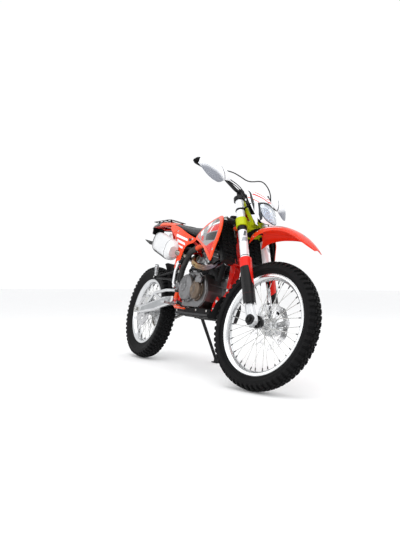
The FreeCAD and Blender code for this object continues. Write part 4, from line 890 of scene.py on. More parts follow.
def m_core():
    """Radiator core: close fins between tubes."""
    t = NT("radiator_core")
    c = t.coord()
    a = t.dot(c, tuple(AX))
    fins = t.math("SINE", t.math("MULTIPLY", t.dot(c, (0, 1, 0)), 2600.0))
    rows = t.math("SINE", t.math("MULTIPLY", a, 620.0))
    col = t.mix(t.map(fins, -1, 1, 0, 1), (0.012, 0.012, 0.013), (0.10, 0.10, 0.105))
    t.set(base=col, metal=0.6, rough=0.42)
    t.bump(t.math("ADD", fins, t.math("MULTIPLY", rows, 2.0)), 0.7, 0.0012)
    return t.mat


M["core"] = m_core()


def m_seat():
    """Grippy vinyl: pebbled grain with dull highlights."""
    t = NT("seat_vinyl")
    c = t.coord()
    g = t.voronoi(420.0, "SMOOTH_F1", c)
    f = t.noise(900.0, 2.0, 0.6, c)
    big = t.noise(7.0, 4.0, 0.6, c)
    col = t.mix(t.map(big, 0.35, 0.75, 0.0, 1.0), (0.012, 0.013, 0.0145), (0.022, 0.024, 0.026))
    col = t.mix(t.map(g, 0.0, 0.6, 0.30, 0.0), col, (0.045, 0.047, 0.050))
    t.set(base=col, rough=t.map(big, 0.3, 0.7, 0.50, 0.66), sheen=0.3, sheen_rough=0.45, spec=0.4)
    t.bump(t.math("ADD", t.math("MULTIPLY", g, 1.4), f), 0.45, 0.0009)
    return t.mat


M["seat"] = m_seat()


def m_thread():
    t = NT("seam_thread")
    c = t.coord()
    t.set(base=t.mix(t.noise(700.0, 2.0, 0.5, c), (0.10, 0.10, 0.105), (0.22, 0.22, 0.23)), rough=0.8, sheen=0.3)
    t.bump(t.noise(1500.0, 2.0, 0.5, c), 0.4, 0.0005)
    return t.mat


M["thread"] = m_thread()


def m_muffler():
    """Painted silver-white can with a brushed cast."""
    t = NT("muffler_skin")
    c = t.coord()
    n = t.noise(10.0, 4.0, 0.6, c)
    br = t.noise(1.0, 3.0, 0.6, t.scaled(c, (18, 700, 700)))
    t.set(base=t.mix(t.map(n, 0.35, 0.75, 0.0, 1.0), (0.74, 0.745, 0.75), (0.62, 0.63, 0.64)), metal=0.25, rough=t.map(br, 0.3, 0.7, 0.30, 0.46), coat=0.25, coat_rough=0.1)
    t.bump(br, 0.12, 0.0005)
    return t.mat


M["muffler"] = m_muffler()


# ------------------------------------------------------------------ wheels
def crown(R, half, y):
    w = half - 9.0
    rc = (w * w + 144.0) / 24.0
    return R - rc + math.sqrt(max(1.0, rc * rc - y * y))


def knob(mb, c, th, length, sec, lean=0.0, mat=0):
    """One tread block: section points (radius, y, base flag) swept along the tyre."""
    P = np.array([(r, y) for r, y, b in sec])
    base = np.array([b for r, y, b in sec], float)
    cen = P.mean(axis=0)
    ins = P + (cen - P) * 0.0
    dist = np.linalg.norm(P - cen, axis=1)
    ins = P + (cen - P) * (1.2 / np.maximum(dist, 3.0))[:, None]
    ins = np.where(base[:, None] > 0, P, ins)
    rings = []
    for t, Q in ((-length / 2, ins), (-length / 2 + 1.3, P), (length / 2 - 1.3, P), (length / 2, ins)):
        tt = t + np.sign(t) * base * 1.6
        a = th + (tt + (Q[:, 1] - cen[1]) * lean) / Q[:, 0]
        rings.append(np.stack([c[0] + Q[:, 0] * np.sin(a), c[1] + Q[:, 1], c[2] + Q[:, 0] * np.cos(a)], axis=1))
    m = len(P)
    faces = ring_faces(4, m)
    faces.append(tuple(range(m)))
    faces.append(tuple(range(3 * m, 4 * m)))
    mb.add(np.concatenate(rings), faces, mat)


def tyre(name, c, R, half, flange, y_in, body, st, mat, rep, pitches, deep):
    mb = MB()
    w = half - 9.0
    # carcass with its moulded side ribs
    top = [(crown(R, half, y) - deep, y) for y in np.linspace(-(w + 1), w + 1, 23)]
    side = [(R - deep - 15, half - 4.0), (R - 36, half - 2.6), (R - 44, half - 3.0), (R - 46, half - 2.2), (R - 48, half - 3.6), (R - 54, half - 5.6),
            (flange + 21, y_in + 7.2), (flange + 20, y_in + 8.0), (flange + 18, y_in + 7.6), (flange + 16, y_in + 5.8), (flange + 9, y_in + 4.2),
            (flange + 6.5, y_in + 4.4), (flange + 4.5, y_in + 2.6), (flange + 1.2, y_in + 1.2), (flange - 1.0, y_in - 4.5), (flange - 11, y_in - 6.0)]
    inner = [(flange - 11, y_in - 9.0), (flange + 14, y_in - 3.0), (R - 50, half - 15.0), (R - 32, half - 19.0), (R - 24, 0.0)]
    prof = list(top) + side + inner + [(r, -y) for r, y in inner[:-1]][::-1] + [(r, -y) for r, y in side][::-1]
    revolve(mb, prof, c, (0, 1, 0), 144, 0, loop=True, ref=(0, 0, 1))
    g = 0.35

    def block(th, y0, y1, length, lean=0.0):
        ym = (y0 + y1) / 2
        sec = [(crown(R, half, y0) - deep - 2, y0 - 1.4, 1), (crown(R, half, y0) - g, y0, 0), (crown(R, half, ym) - g, ym, 0), (crown(R, half, y1) - g, y1, 0),
               (crown(R, half, y1) - deep - 2, y1 + 1.4, 1)]
        knob(mb, c, th, length, sec, lean)

    def shoulder(th, sg, y0, length, low):
        sec = [(crown(R, half, y0) - deep - 2, sg * (y0 - 1.4), 1), (crown(R, half, y0) - g, sg * y0, 0), (crown(R, half, w - 1) - g, sg * (w - 1), 0),
               (R - 15.5, sg * (w + 5.2), 0), (R - 20.5, sg * (half - 0.5), 0), (R - low, sg * (half - 0.8), 0), (R - low - 6, sg * (half - 5), 1)]
        knob(mb, c, th, length, sec)

    step = 2 * math.pi / pitches
    k0 = half / 47.0
    for k in range(pitches):
        a = k * step
        big = k % 2 == 0
        block(a, -12.5 * k0, -1.6, step * R * 0.36)
        block(a, 1.6, 12.5 * k0, step * R * 0.36)
        block(a + step * 0.5, -7.0 * k0, 7.0 * k0, step * R * 0.30)
        for sg in (-1, 1):
            y0, y1 = 15.5 * k0, 25.5 * k0
            block(a + step * 0.5, min(sg * y0, sg * y1), max(sg * y0, sg * y1), step * R * 0.42, 0.18 * sg)
            shoulder(a + step * (0.02 if sg > 0 else 0.5), sg, w - 9.5, step * R * (0.50 if big else 0.40), 30 if big else 25)
    mb.obj(name, [mat], body, st, smooth=32, slot="tyre", rep=rep)


tyre("front_tyre_knobby", FC, R_F, 47.0, 277.0, 26.0, "front_wheel", True, M["tyre_f"], ("front_tyre",), 62, 11.5)
tyre("rear_tyre_knobby", RC, R_R, 55.0, 242.0, 33.0, "rear_wheel", False, M["tyre"], ("rear_tyre",), 56, 13.0)


def rim(name, c, f, y_out, well, body, st, mat, rep, r_sp, y_sp):
    mb = MB()
    half = [(f + 0.2, y_out - 3.4), (f + 0.0, y_out - 1.0), (f - 1.6, y_out - 0.1), (f - 3.6, y_out - 0.5), (f - 5.0, y_out - 1.6), (f - 13.0, y_out - 1.4), (f - 15.5, y_out - 2.2),
            (f - 18.5, y_out - 5.0), (f - 21, y_out - 7.6), (f - 24.5, well + 5.5), (f - 27.4, well + 0.8), (f - 29.4, well - 3.5), (f - 30.3, 0)]
    ins = [(f - 26.4, 0), (f - 26.0, well - 4), (f - 23.5, well - 2), (f - 16.0, well + 3.5), (f - 12.0, y_out - 12), (f - 10.6, y_out - 4.4), (f - 3.0, y_out - 4.0)]
    prof = half + [(r, -y) for r, y in half[:-1]][::-1] + [(r, -y) for r, y in ins[1:]][::-1] + ins
    revolve(mb, prof, c, (0, 1, 0), 128, 0, loop=True, ref=(0, 0, 1))
    # raised spoke seats round the well, the welded joint and the valve
    for k in range(36):
        sg = -1 if k % 2 else 1
        a = 2 * math.pi * (k // 2 + (0.25 if sg > 0 else 0.75)) / 18
        d = np.array([math.sin(a), 0, math.cos(a)])
        p = c + d * (f - 30.2) + np.array([0, sg * y_sp, 0])
        revolve(mb, [(0, 2.0), (6.6, 2.0), (6.2, -0.4), (4.4, -1.5), (0, -1.6)], p, d, 14, 0)
    a = 2 * math.pi * 0.5 / 18
    d = np.array([math.sin(a), 0, math.cos(a)])
    rod(mb, c + d * (f - 31), c + d * (f - 62), 3.1, 0.6, 12, 1)
    rod(mb, c + d * (f - 31), c + d * (f - 35), 6.2, 0.6, 6, 1)
    rod(mb, c + d * (f - 58), c + d * (f - 69), 4.3, 1.0, 12, 2)
    mb.obj(name, [mat, M["zinc_f" if st else "zinc"], M["black_gloss_f" if st else "black_gloss"]], body, st, smooth=30, slot="bright_alloy", rep=rep)


rim("front_rim_alloy", FC, 277.0, 27.5, 10.0, "front_wheel", True, M["rim_f"], ("front_rim",), 0, 3.5)
rim("rear_rim_alloy", RC, 242.0, 34.5, 13.0, "rear_wheel", False, M["rim_r"], ("rear_rim",), 0, 4.0)


def spokes(name, c, r_hub, y_hub, r_rim, y_rim, sweep_a, body, st):
    mb = MB()
    for side in (-1, 1):
        for k in range(18):
            ar = 2 * math.pi * (k + (0.25 if side > 0 else 0.75)) / 18
            ah = ar + (sweep_a if k % 2 == 0 else -sweep_a)
            p = c + np.array([r_hub * math.sin(ah), side * (y_hub + (1.5 if k % 2 else -1.5)), r_hub * math.cos(ah)])
            q = c + np.array([r_rim * math.sin(ar), side * y_rim, r_rim * math.cos(ar)])
            d = unit(q - p)
            out = 1.0 if k % 2 else -1.0
            # bent head through the flange, butted spoke, nipple at the rim
            elbow = [p - np.array([0, side * out * 5.5, 0]), p - np.array([0, side * out * 1.5, 0]), p + d * 1.5, p + d * 7.0]
            sweep(mb, catmull(elbow, 4) + [q - d * 14], 1.75, 8, 0)
            rod(mb, p - np.array([0, side * out * 5.2, 0]), p - np.array([0, side * out * 7.4, 0]), 3.0, 0.7, 10, 0)
            revolve(mb, [(0, -16.5), (2.7, -16.5), (2.9, -15.5), (2.9, -11.5), (3.1, -10.8), (3.1, -3.0), (2.6, 0.4), (0, 0.4)], q, d, 8, 1)
    return mb


def front_hub():
    mb = spokes("", FC, 29.0, 30.0, 246.1, 3.5, 0.62, "front_wheel", True)
    prof = [(11.4, -46), (15.8, -46), (16.6, -45), (17, -43), (17, -38.4), (30, -34.8), (32.6, -33.6), (33, -32.5), (33, -28.6), (32.2, -27.8), (26, -26.4), (21.6, -22), (20.2, -17),
            (20, 0), (20.2, 15), (21.6, 20), (26, 24.4), (32.2, 25.8), (33, 26.6), (33, 31.4), (35, 33.4), (40, 36), (48.6, 38.2), (50, 39.4), (50, 45), (49, 45.8), (34.4, 45.8), (33.6, 46.4),
            (33.6, 48.4), (33, 48.9), (17.4, 48.9), (16.8, 49.0), (11.4, 49.0)]
    revolve(mb, prof, FC, (0, 1, 0), 60, 2, loop=True)
    for k in range(6):
        a = 2 * math.pi * k / 6
        p = FC + np.array([43 * math.sin(a), 49.8, 43 * math.cos(a)])
        bolt(mb, p, (0, 1, 0), 5.6, 3.4, 3, washer=False, socket=True)
    mb.obj("front_hub_spokes", [M["zinc_f"], M["satin_black_f"], M["alloy_f"], M["steel_f"]], "front_wheel", True, smooth=35, slot="silver_alloy", rep=("front_hub",))


def rear_hub():
    mb = spokes("", RC, 32.0, 31.0, 211.1, 4.0, 0.62, "rear_wheel", False)
    prof = [(11.4, -61.8), (29, -61.8), (30, -61.2), (35.6, -59.6), (35.6, -56.2), (49, -55.8), (50, -55), (50, -51), (49, -49.6), (36, -41.4), (34.4, -39), (36, -34.6), (36, -28.8), (35, -27.8),
            (28.4, -24), (26.2, -19), (25.2, -8), (25, 6), (26.2, 19), (29, 24), (35, 27.8), (36, 28.8), (36, 34), (34.6, 37), (35.4, 42), (51, 51.4), (65, 57.4), (66, 58.6), (66, 65.8),
            (65.2, 66.3), (24.6, 66.3), (23.6, 66.8), (20.6, 67.8), (11.4, 67.8)]
    revolve(mb, prof, RC, (0, 1, 0), 60, 2, loop=True)
    for k in range(6):
        a = 2 * math.pi * k / 6
        u = np.array([math.sin(a), 0, math.cos(a)])
        bolt(mb, RC + u * 43 + np.array([0, -59.8, 0]), (0, -1, 0), 5.4, 3.0, 3, washer=False, socket=True)
        bolt(mb, RC + u * 56 + np.array([0, 73.3, 0]), (0, 1, 0), 6.4, 4.2, 3, washer=False)
    mb.obj("rear_hub_spokes", [M["zinc"], M["satin_black"], M["alloy"], M["steel"]], "rear_wheel", False, smooth=35, slot="silver_alloy", rep=("rear_hub",))


front_hub()
rear_hub()


def axles():
    mb = MB()
    f = FC
    pipe(mb, f + np.array([0, -127, 0]), f + np.array([0, 121.8, 0]), 10.9, 7.6, 0.8, 28, 0)
    # hexagonal head, washer, the left nut
    u6 = [(15.6 * math.cos(math.pi / 6 + k * math.pi / 3), 15.6 * math.sin(math.pi / 6 + k * math.pi / 3)) for k in range(6)]
    revolve(mb, [(7.6, -130.8), (12.4, -130.8), (16.8, -129.2), (16.8, -124.6), (10.9, -124.6), (7.6, -124.6)], f, (0, 1, 0), 6, 1, loop=True, ref=(0, 0, 1))
    revolve(mb, [(10.9, -124.8), (16.9, -124.8), (16.9, -122.2), (10.9, -122.2)], f, (0, 1, 0), 30, 1, loop=True)
    revolve(mb, [(7.6, 121.8), (14.9, 121.8), (14.9, 128.4), (13.2, 129.8), (7.6, 129.8)], f, (0, 1, 0), 6, 0, loop=True, ref=(0, 0, 1))
    revolve(mb, [(11.2, 50), (16, 50), (16.8, 51), (16.8, 69), (16, 70), (11.2, 70)], f, (0, 1, 0), 30, 0, loop=True)
    # speed drive housing on the right, black, with its cable boss
    revolve(mb, [(11.2, -70), (17, -70), (18, -69.6), (33, -66.6), (34, -65.6), (34, -53), (33.2, -52), (24, -50), (20, -48.2), (11.2, -48.2)], f, (0, 1, 0), 44, 1, loop=True)
    rod(mb, f + np.array([-18, -60, 16]), f + np.array([-25.5, -60, 22.0]), 5.2, 0.8, 14, 1)
    for k in range(5):
        a = 0.4 + 2 * math.pi * k / 5
        bolt(mb, f + np.array([26 * math.cos(a), -67.9, 26 * math.sin(a)]), (0, -1, 0), 2.6, 1.2, 0, washer=False)
    mb.obj("front_axle_set", [M["zinc_f"], M["satin_black_f"]], "front_fork", True, smooth=32, slot="steel", rep=("front_axle",))
    mb = MB()
    r = RC
    pipe(mb, r + np.array([0, -123.8, 0]), r + np.array([0, 123.8, 0]), 10.9, 5.0, 0.8, 28, 0)
    revolve(mb, [(5, -130.8), (13.4, -130.8), (15.8, -129.4), (15.8, -119.2), (5, -119.2)], r, (0, 1, 0), 6, 0, loop=True, ref=(0, 0, 1))
    revolve(mb, [(10.9, -119.4), (15.9, -119.4), (15.9, -116.6), (10.9, -116.6)], r, (0, 1, 0), 30, 0, loop=True)
    revolve(mb, [(5, 119.4), (14.9, 119.4), (14.9, 126.6), (13, 127.8), (5, 127.8)], r, (0, 1, 0), 6, 0, loop=True, ref=(0, 0, 1))
    revolve(mb, [(10.9, 116.6), (14.9, 116.6), (14.9, 119.6), (10.9, 119.6)], r, (0, 1, 0), 30, 0, loop=True)
    for sg, y0, y1 in ((1, 70.7, 81.5), (-1, 64.2, 81.5)):
        lo, hi = sorted((sg * y0, sg * y1))
        revolve(mb, [(11.2, lo), (16.2, lo), (16.9, lo + 0.8), (16.9, hi - 0.8), (16.2, hi), (11.2, hi)], r, (0, 1, 0), 30, 1, loop=True)
    mb.obj("rear_axle_set", [M["zinc"], M["alloy"]], "chassis", False, smooth=32, slot="steel", rep=("rear_axle",))


axles()


# -------------------------------------------------------------- front fork
def fork():
    mb = MB()     # 0 white sleeve, 1 black, 2 decal grey, 3 alloy, 4 chrome
    for sg in (-1, 1):
        y = sg * FORK_Y

        def F(s, r):
            return (r, s)

        c = S(0, FORK_N, y)
        # upper tube: lacquered sleeve, black collars under the lower clamp, chamfered ends
        revolve(mb, [(25.0, 366.0), (25.3, 367.0), (25.3, 556.0)], c, AX, 48, 0)
        revolve(mb, [(25.3, 640.5), (25.3, 765.5)], c, AX, 48, 0)
        revolve(mb, [(25.3, 792.2), (25.3, 795.0), (24.6, 795.8), (0, 795.8)], c, AX, 48, 4)
        revolve(mb, [(25.3, 555.6), (26.6, 556.2), (27.3, 557.0), (27.3, 566.0), (26.4, 566.8), (26.4, 568.6), (27.3, 569.4), (27.3, 583.4), (26.6, 584.3), (25.3, 584.6)], c, AX, 48, 1)
        # dust seal with its spring clip at the lower end
        revolve(mb, [(20.7, 346.2), (26.0, 346.2), (27.3, 347.4), (27.3, 352.6), (26.4, 353.2), (26.4, 354.6), (27.3, 355.2), (27.3, 364.8), (26.6, 366.0), (25.0, 366.2)], c, AX, 48, 1)
        # cap with its adjusters
        revolve(mb, [(19.0, 795.6), (19.0, 799.0), (17.8, 800.4), (13.0, 800.8), (12.4, 801.4)], c, AX, 6, 1)
        revolve(mb, [(0, 800.6), (9.0, 800.6), (9.0, 804.6), (8.0, 805.6), (3.0, 805.6), (2.6, 804.8), (0, 804.8)], c, AX, 28, 3)
    mb.obj("fork_upper_tubes", [M["fork_white"], M["satin_black_f"], M["alloy_f"], M["orange_f"], M["polished_f"]], "front_fork", True, smooth=35, slot="white_plastic", rep=("fork_tubes",))
    mb = MB()
    for sg in (-1, 1):
        y = sg * FORK_Y
        c = S(0, FORK_N, y)
        revolve(mb, [(20.3, 100.0), (20.3, 366.0)], c, AX, 48, 1)
        # cast bottom: neck, clamp round the axle, cap over its lower end
        revolve(mb, [(20.5, 112.0), (22.6, 110.5), (24.4, 106.0), (24.9, 100.0), (24.9, 58.0), (24.2, 40.0), (22.0, 30.0), (20.0, 20.0), (20.5, -8.0), (19.0, -20.4), (14.8, -22.0), (14.8, -33.0), (13.8, -33.8), (0, -33.8)], c, AX, 40, 0)
        o = S(0, FORK_N, 0)
        # web that leads down to the axle boss
        ax_c = FC
        web = []
        for s, n in ((96, -24), (96, 23), (60, 25), (30, 31), (8, 35), (-14, 35), (-26, 24), (-30, 8), (-26, -12), (-6, -22), (40, -24)):
            p = PT + AX * s + NN * (FORK_N + n)
            web.append((p[0], p[2]))
        y0, y1 = (y - 17, y + 17)
        plate(mb, web, y0, y1, 5.0, 0)
        # axle boss, split and clamped
        revolve(mb, [(11.1, min(sg * 70, sg * 122)), (25.6, min(sg * 70, sg * 122)), (26.8, min(sg * 70, sg * 122) + 1.4), (26.8, max(sg * 70, sg * 122) - 1.4), (25.6, max(sg * 70, sg * 122)), (11.1, max(sg * 70, sg * 122))],
                ax_c, (0, 1, 0), 44, 2 if sg < 0 else 0, loop=True)
        for q in (-13, 13):
            p = FC - AX * 18 + np.array([0, sg * 96 + q, 0]) - NN * 14.0
            rod(mb, p - NN * 8, p + NN * 4, 7.0, 1.0, 16, 2 if sg < 0 else 0)
            bolt(mb, p - NN * 8.0, -NN, 4.6, 3.6, 3, washer=False, socket=True)
        # guard mounting boss
        for s in (84, 52):
            p = S(s, FORK_N - 20.0, y + sg * 10)
            bolt(mb, p, unit(-NN + np.array([0, sg * 0.8, 0])), 4.6, 4.0, 3, washer=True, socket=True)
    mb.obj("fork_lower_legs", [M["alloy_f"], M["polished_f"], M["satin_black_f"], M["steel_f"]], "front_fork", True, smooth=38, slot="silver_alloy", rep=("fork_legs",))


def fork_guards():
    """Half sleeves ahead of the legs, orange above and black round the outside and foot."""
    mb = MB()
    for sg in (-1, 1):
        y = sg * FORK_Y
        n_s, n_a = 22, 30
        grid, lower = [], []
        for i in range(n_s + 1):
            s = 92.5 + (371.5 - 92.5) * i / n_s
            row = []
            # angle 0 points ahead, positive to the outside
            a_in = math.radians(-56 + 6 * math.sin(i / n_s * 3.0))
            a_out = math.radians(118)
            for j in range(n_a + 1):
                a = a_in + (a_out - a_in) * j / n_a
                r = 33.0 + 1.7 * math.sin(math.pi * j / n_a) ** 2
                rib = 0.8 * math.exp(-((math.degrees(a) - 22) / 5.0) ** 2)
                r = min(34.8, r + rib)
                row.append(PT + AX * s + NN * (FORK_N + r * math.cos(a)) + np.array([0, y + sg * r * math.sin(a), 0]))
            grid.append(row)
        shell(mb, grid, 2.2, 0, flip=(sg < 0))
        for s, a in ((110, 80), (110, 20), (350, 62), (240, 84)):
            ar = math.radians(a)
            p = PT + AX * s + NN * (FORK_N + 34.2 * math.cos(ar)) + np.array([0, y + sg * 34.2 * math.sin(ar), 0])
            d = NN * math.cos(ar) + np.array([0, sg * math.sin(ar), 0])
            bolt(mb, p - d * 1.2, d, 4.0, 1.6, 1, washer=False, socket=True)
    mb.obj("fork_guard_shells", [M["fork_guard"], M["steel_f"]], "front_fork", True, smooth=40, slot="orange_plastic", rep=("fork_guards",))


def m_fork_white():
    t = NT("fork_sleeve")
    c = t.coord(True)
    s = t.dot(c, tuple(AX))
    s0 = float(np.dot(PT, AX)) / 1000.0
    v = t.math("SUBTRACT", s, s0)
    y = t.dot(c, Y3)
    # two short grey bars on the sleeve, and a fine line below them
    q = t.node("ShaderNodeCombineXYZ")
    t.put(q.inputs[0], v)
    t.put(q.inputs[1], t.math("ABSOLUTE", y))
    m1 = t.poly([(0.512, 0.100), (0.546, 0.094), (0.546, 0.108), (0.512, 0.114)], X3, Y3, q.outputs[0])
    m2 = t.poly([(0.478, 0.090), (0.506, 0.084), (0.506, 0.116), (0.478, 0.120)], X3, Y3, q.outputs[0])
    m3 = t.poly([(0.386, 0.06), (0.391, 0.06), (0.391, 0.13), (0.386, 0.13)], X3, Y3, q.outputs[0])
    n = t.noise(12.0, 4.0, 0.6, c)
    col = t.mix(t.map(n, 0.35, 0.8, 0.0, 0.25), (0.80, 0.81, 0.83), (0.60, 0.61, 0.62))
    col = t.mix(m1, col, (0.10, 0.10, 0.11))
    col = t.mix(m2, col, (0.33, 0.34, 0.36))
    col = t.mix(m3, col, (0.10, 0.10, 0.11))
    br = t.noise(1.0, 2.0, 0.5, t.scaled(c, (500, 500, 40)))
    t.set(base=col, metal=0.25, rough=t.map(n, 0.3, 0.8, 0.18, 0.32), coat=0.5, coat_rough=0.05)
    t.bump(br, 0.05, 0.0004)
    return t.mat


M["fork_white"] = m_fork_white()


def m_fork_guard():
    t = NT("fork_guard_plastic")
    c = t.coord(True)
    v = t.math("SUBTRACT", t.dot(c, tuple(AX)), float(np.dot(PT, AX)) / 1000.0)
    ay = t.math("ABSOLUTE", t.dot(c, Y3))
    q = t.node("ShaderNodeCombineXYZ")
    t.put(q.inputs[0], v)
    t.put(q.inputs[1], ay)
    black = t.poly([(0.05, 0.02), (0.05, 0.20), (0.15, 0.20), (0.15, 0.02)], X3, Y3, q.outputs[0])
    for part in ([(0.1495, 0.20), (0.315, 0.20), (0.315, 0.112), (0.1495, 0.092)], [(0.1495, 0.02), (0.1495, 0.10), (0.215, 0.10)]):
        black = t.math("MAXIMUM", black, t.poly(part, X3, Y3, q.outputs[0]))
    n = t.noise(10.0, 4.0, 0.6, c)
    col = t.mix(t.map(n, 0.3, 0.8, 0.0, 0.25), (0.70, 0.016, 0.009), (0.55, 0.010, 0.007))
    col = t.mix(black, col, (0.0055, 0.0055, 0.006))
    sc = t.noise(80.0, 6.0, 0.7, c)
    t.set(base=col, rough=t.map(sc, 0.3, 0.8, 0.22, 0.5), coat=0.3, coat_rough=0.1)
    t.bump(sc, 0.08, 0.0006)
    return t.mat


M["fork_guard"] = m_fork_guard()


def clamps():
    mb = MB()       # 0 lime, 1 steel, 2 black
    for s0, s1, nf in ((586, 640, 72), (766, 792, 66)):
        c = S(0, 0, 0)
        out = [(10, -73), (-24, -18), (-24, 18), (10, 73), (57, 105), (nf, 71), (nf + 6, 0), (nf, -71), (57, -105)]
        pts = []
        for q in catmull([np.array([a, b, 0]) for a, b in [(14, -66), (-8, -34), (-24, -14), (-24, 14), (-8, 34), (14, 66)]], 4):
            pts.append((q[0], q[1]))
        pts += [(36, 78), (64, 80), (nf - 2, 60), (nf + 3, 34), (nf + 5.6, 0), (nf + 3, -34), (nf - 2, -60), (64, -80), (36, -78)]
        slab(mb, pts, PT + AX * s0, NN, (0, 1, 0), 0.2, s1 - s0 - 0.2, 3.0, 0 if s0 < 700 else 2)
        for sg in (-1, 1):
            cc = S(0, FORK_N, sg * FORK_Y)
            revolve(mb, [(25.6, s0 + 0.2), (31.6, s0 + 0.2), (33.2, s0 + 2.0), (33.2, s1 - 2.0), (31.6, s1 - 0.2), (25.6, s1 - 0.2)], cc, AX, 48, 0 if s0 < 700 else 2, loop=True)
            # pinch bolts through the split at the back of each ring
            for k, s in enumerate(np.linspace(s0 + 8, s1 - 8, 2 if s1 - s0 < 40 else 3)):
                p = S(s, FORK_N - 24.0, sg * (FORK_Y - 32))
                rod(mb, p, p + np.array([0, sg * 22, 0]), 6.4, 1.2, 18, 0 if s0 < 700 else 2)
                bolt(mb, p, (0, -sg, 0), 4.4, 3.2, 1, washer=False, socket=True)
        # painted shade of the lightening pockets: thin black patches on the clamp tops, seen from the front and above
        for sg in (-1, 1):
            slab(mb, [(26, sg * 26), (56, sg * 22), (58, sg * 50), (40, sg * 58)], PT + AX * (s1 - 1.2), NN, (0, 1, 0), 0.0, 0.9, 0.3, 2)
    c = S(0, 0, 0)
    revolve(mb, [(0, 640), (15.9, 640), (15.9, 766), (0, 766)], c, AX, 36, 1)
    revolve(mb, [(0, 590.0), (15.0, 590.0), (15.9, 591.0), (15.9, 594.0)], c, AX, 36, 1)
    revolve(mb, [(0, 805.8), (10.0, 805.8), (10.6, 805.0), (16.0, 805.0), (18.2, 803.4), (18.2, 793.8), (18.9, 793.0), (18.9, 792.2), (0, 792.2)], c, AX, 6, 1)
    for sg in (-1, 1):
        # sheet stays from the top clamp down to the lower one, ahead of the tubes
        a = [S(799, 63, sg * 95), S(787, 63, sg * 75), S(641, 89, sg * 22.5), S(613, 89, sg * 22.5), S(613, 89, sg * 38), S(639, 89, sg * 40)]
        front = [S(799, 46, sg * 95), S(799, 71, sg * 97), S(787, 71, sg * 75), S(787, 46, sg * 75)]
        low = [S(639, 74, sg * 44), S(639, 97, sg * 44), S(613, 97, sg * 22.5), S(613, 74, sg * 22.5)]
        n = 9
        rings = []
        for i in range(n):
            f = i / (n - 1)
            rings.append([(1 - f) * front[k] + f * low[k] for k in range(4)])
        v = np.array(rings).reshape(-1, 3)
        faces = ring_faces(n, 4)
        faces += [(0, 1, 2, 3), (4 * n - 4, 4 * n - 3, 4 * n - 2, 4 * n - 1)]
        mb.add(v, faces, 0)
        brick_pts = [(66.2, sg * 43.5), (97.4, sg * 43.5), (97.4, sg * 21.0), (66.2, sg * 21.0)]
        slab(mb, [(66.5, sg * 43), (97.6, sg * 43), (97.6, sg * 32.5), (66.5, sg * 32.5)], PT + AX * 607.0, NN, (0, 1, 0), 0, 32.0, 1.6, 0)
        slab(mb, [(51, sg * 95.6), (71.6, sg * 95.6), (71.6, sg * 75), (51, sg * 75)], PT + AX * 787.0, NN, (0, 1, 0), 0, 12.4, 1.6, 2)
        bolt(mb, S(623, 97.6, sg * 36), NN, 4.6, 3.0, 1, washer=False, socket=True)
        bolt(mb, S(793, 71.6, sg * 86), NN, 3.8, 2.4, 1, washer=False, socket=True)
    mb.obj("fork_clamps", [M["lime"], M["steel_f"], M["satin_black_f"]], "front_fork", True, smooth=38, slot="lime_alloy", rep=("triple_clamps",))


BAR_S, BAR_N, BAR_HALF = 872.0, 24.0, 371.0
BAR_PTS = [S(966, -14, -BAR_HALF), S(952, 2, -235), S(940, 8, -165), S(BAR_S, BAR_N, -82),
           S(BAR_S, BAR_N, 82), S(940, 8, 165), S(952, 2, 235), S(966, -14, BAR_HALF)]


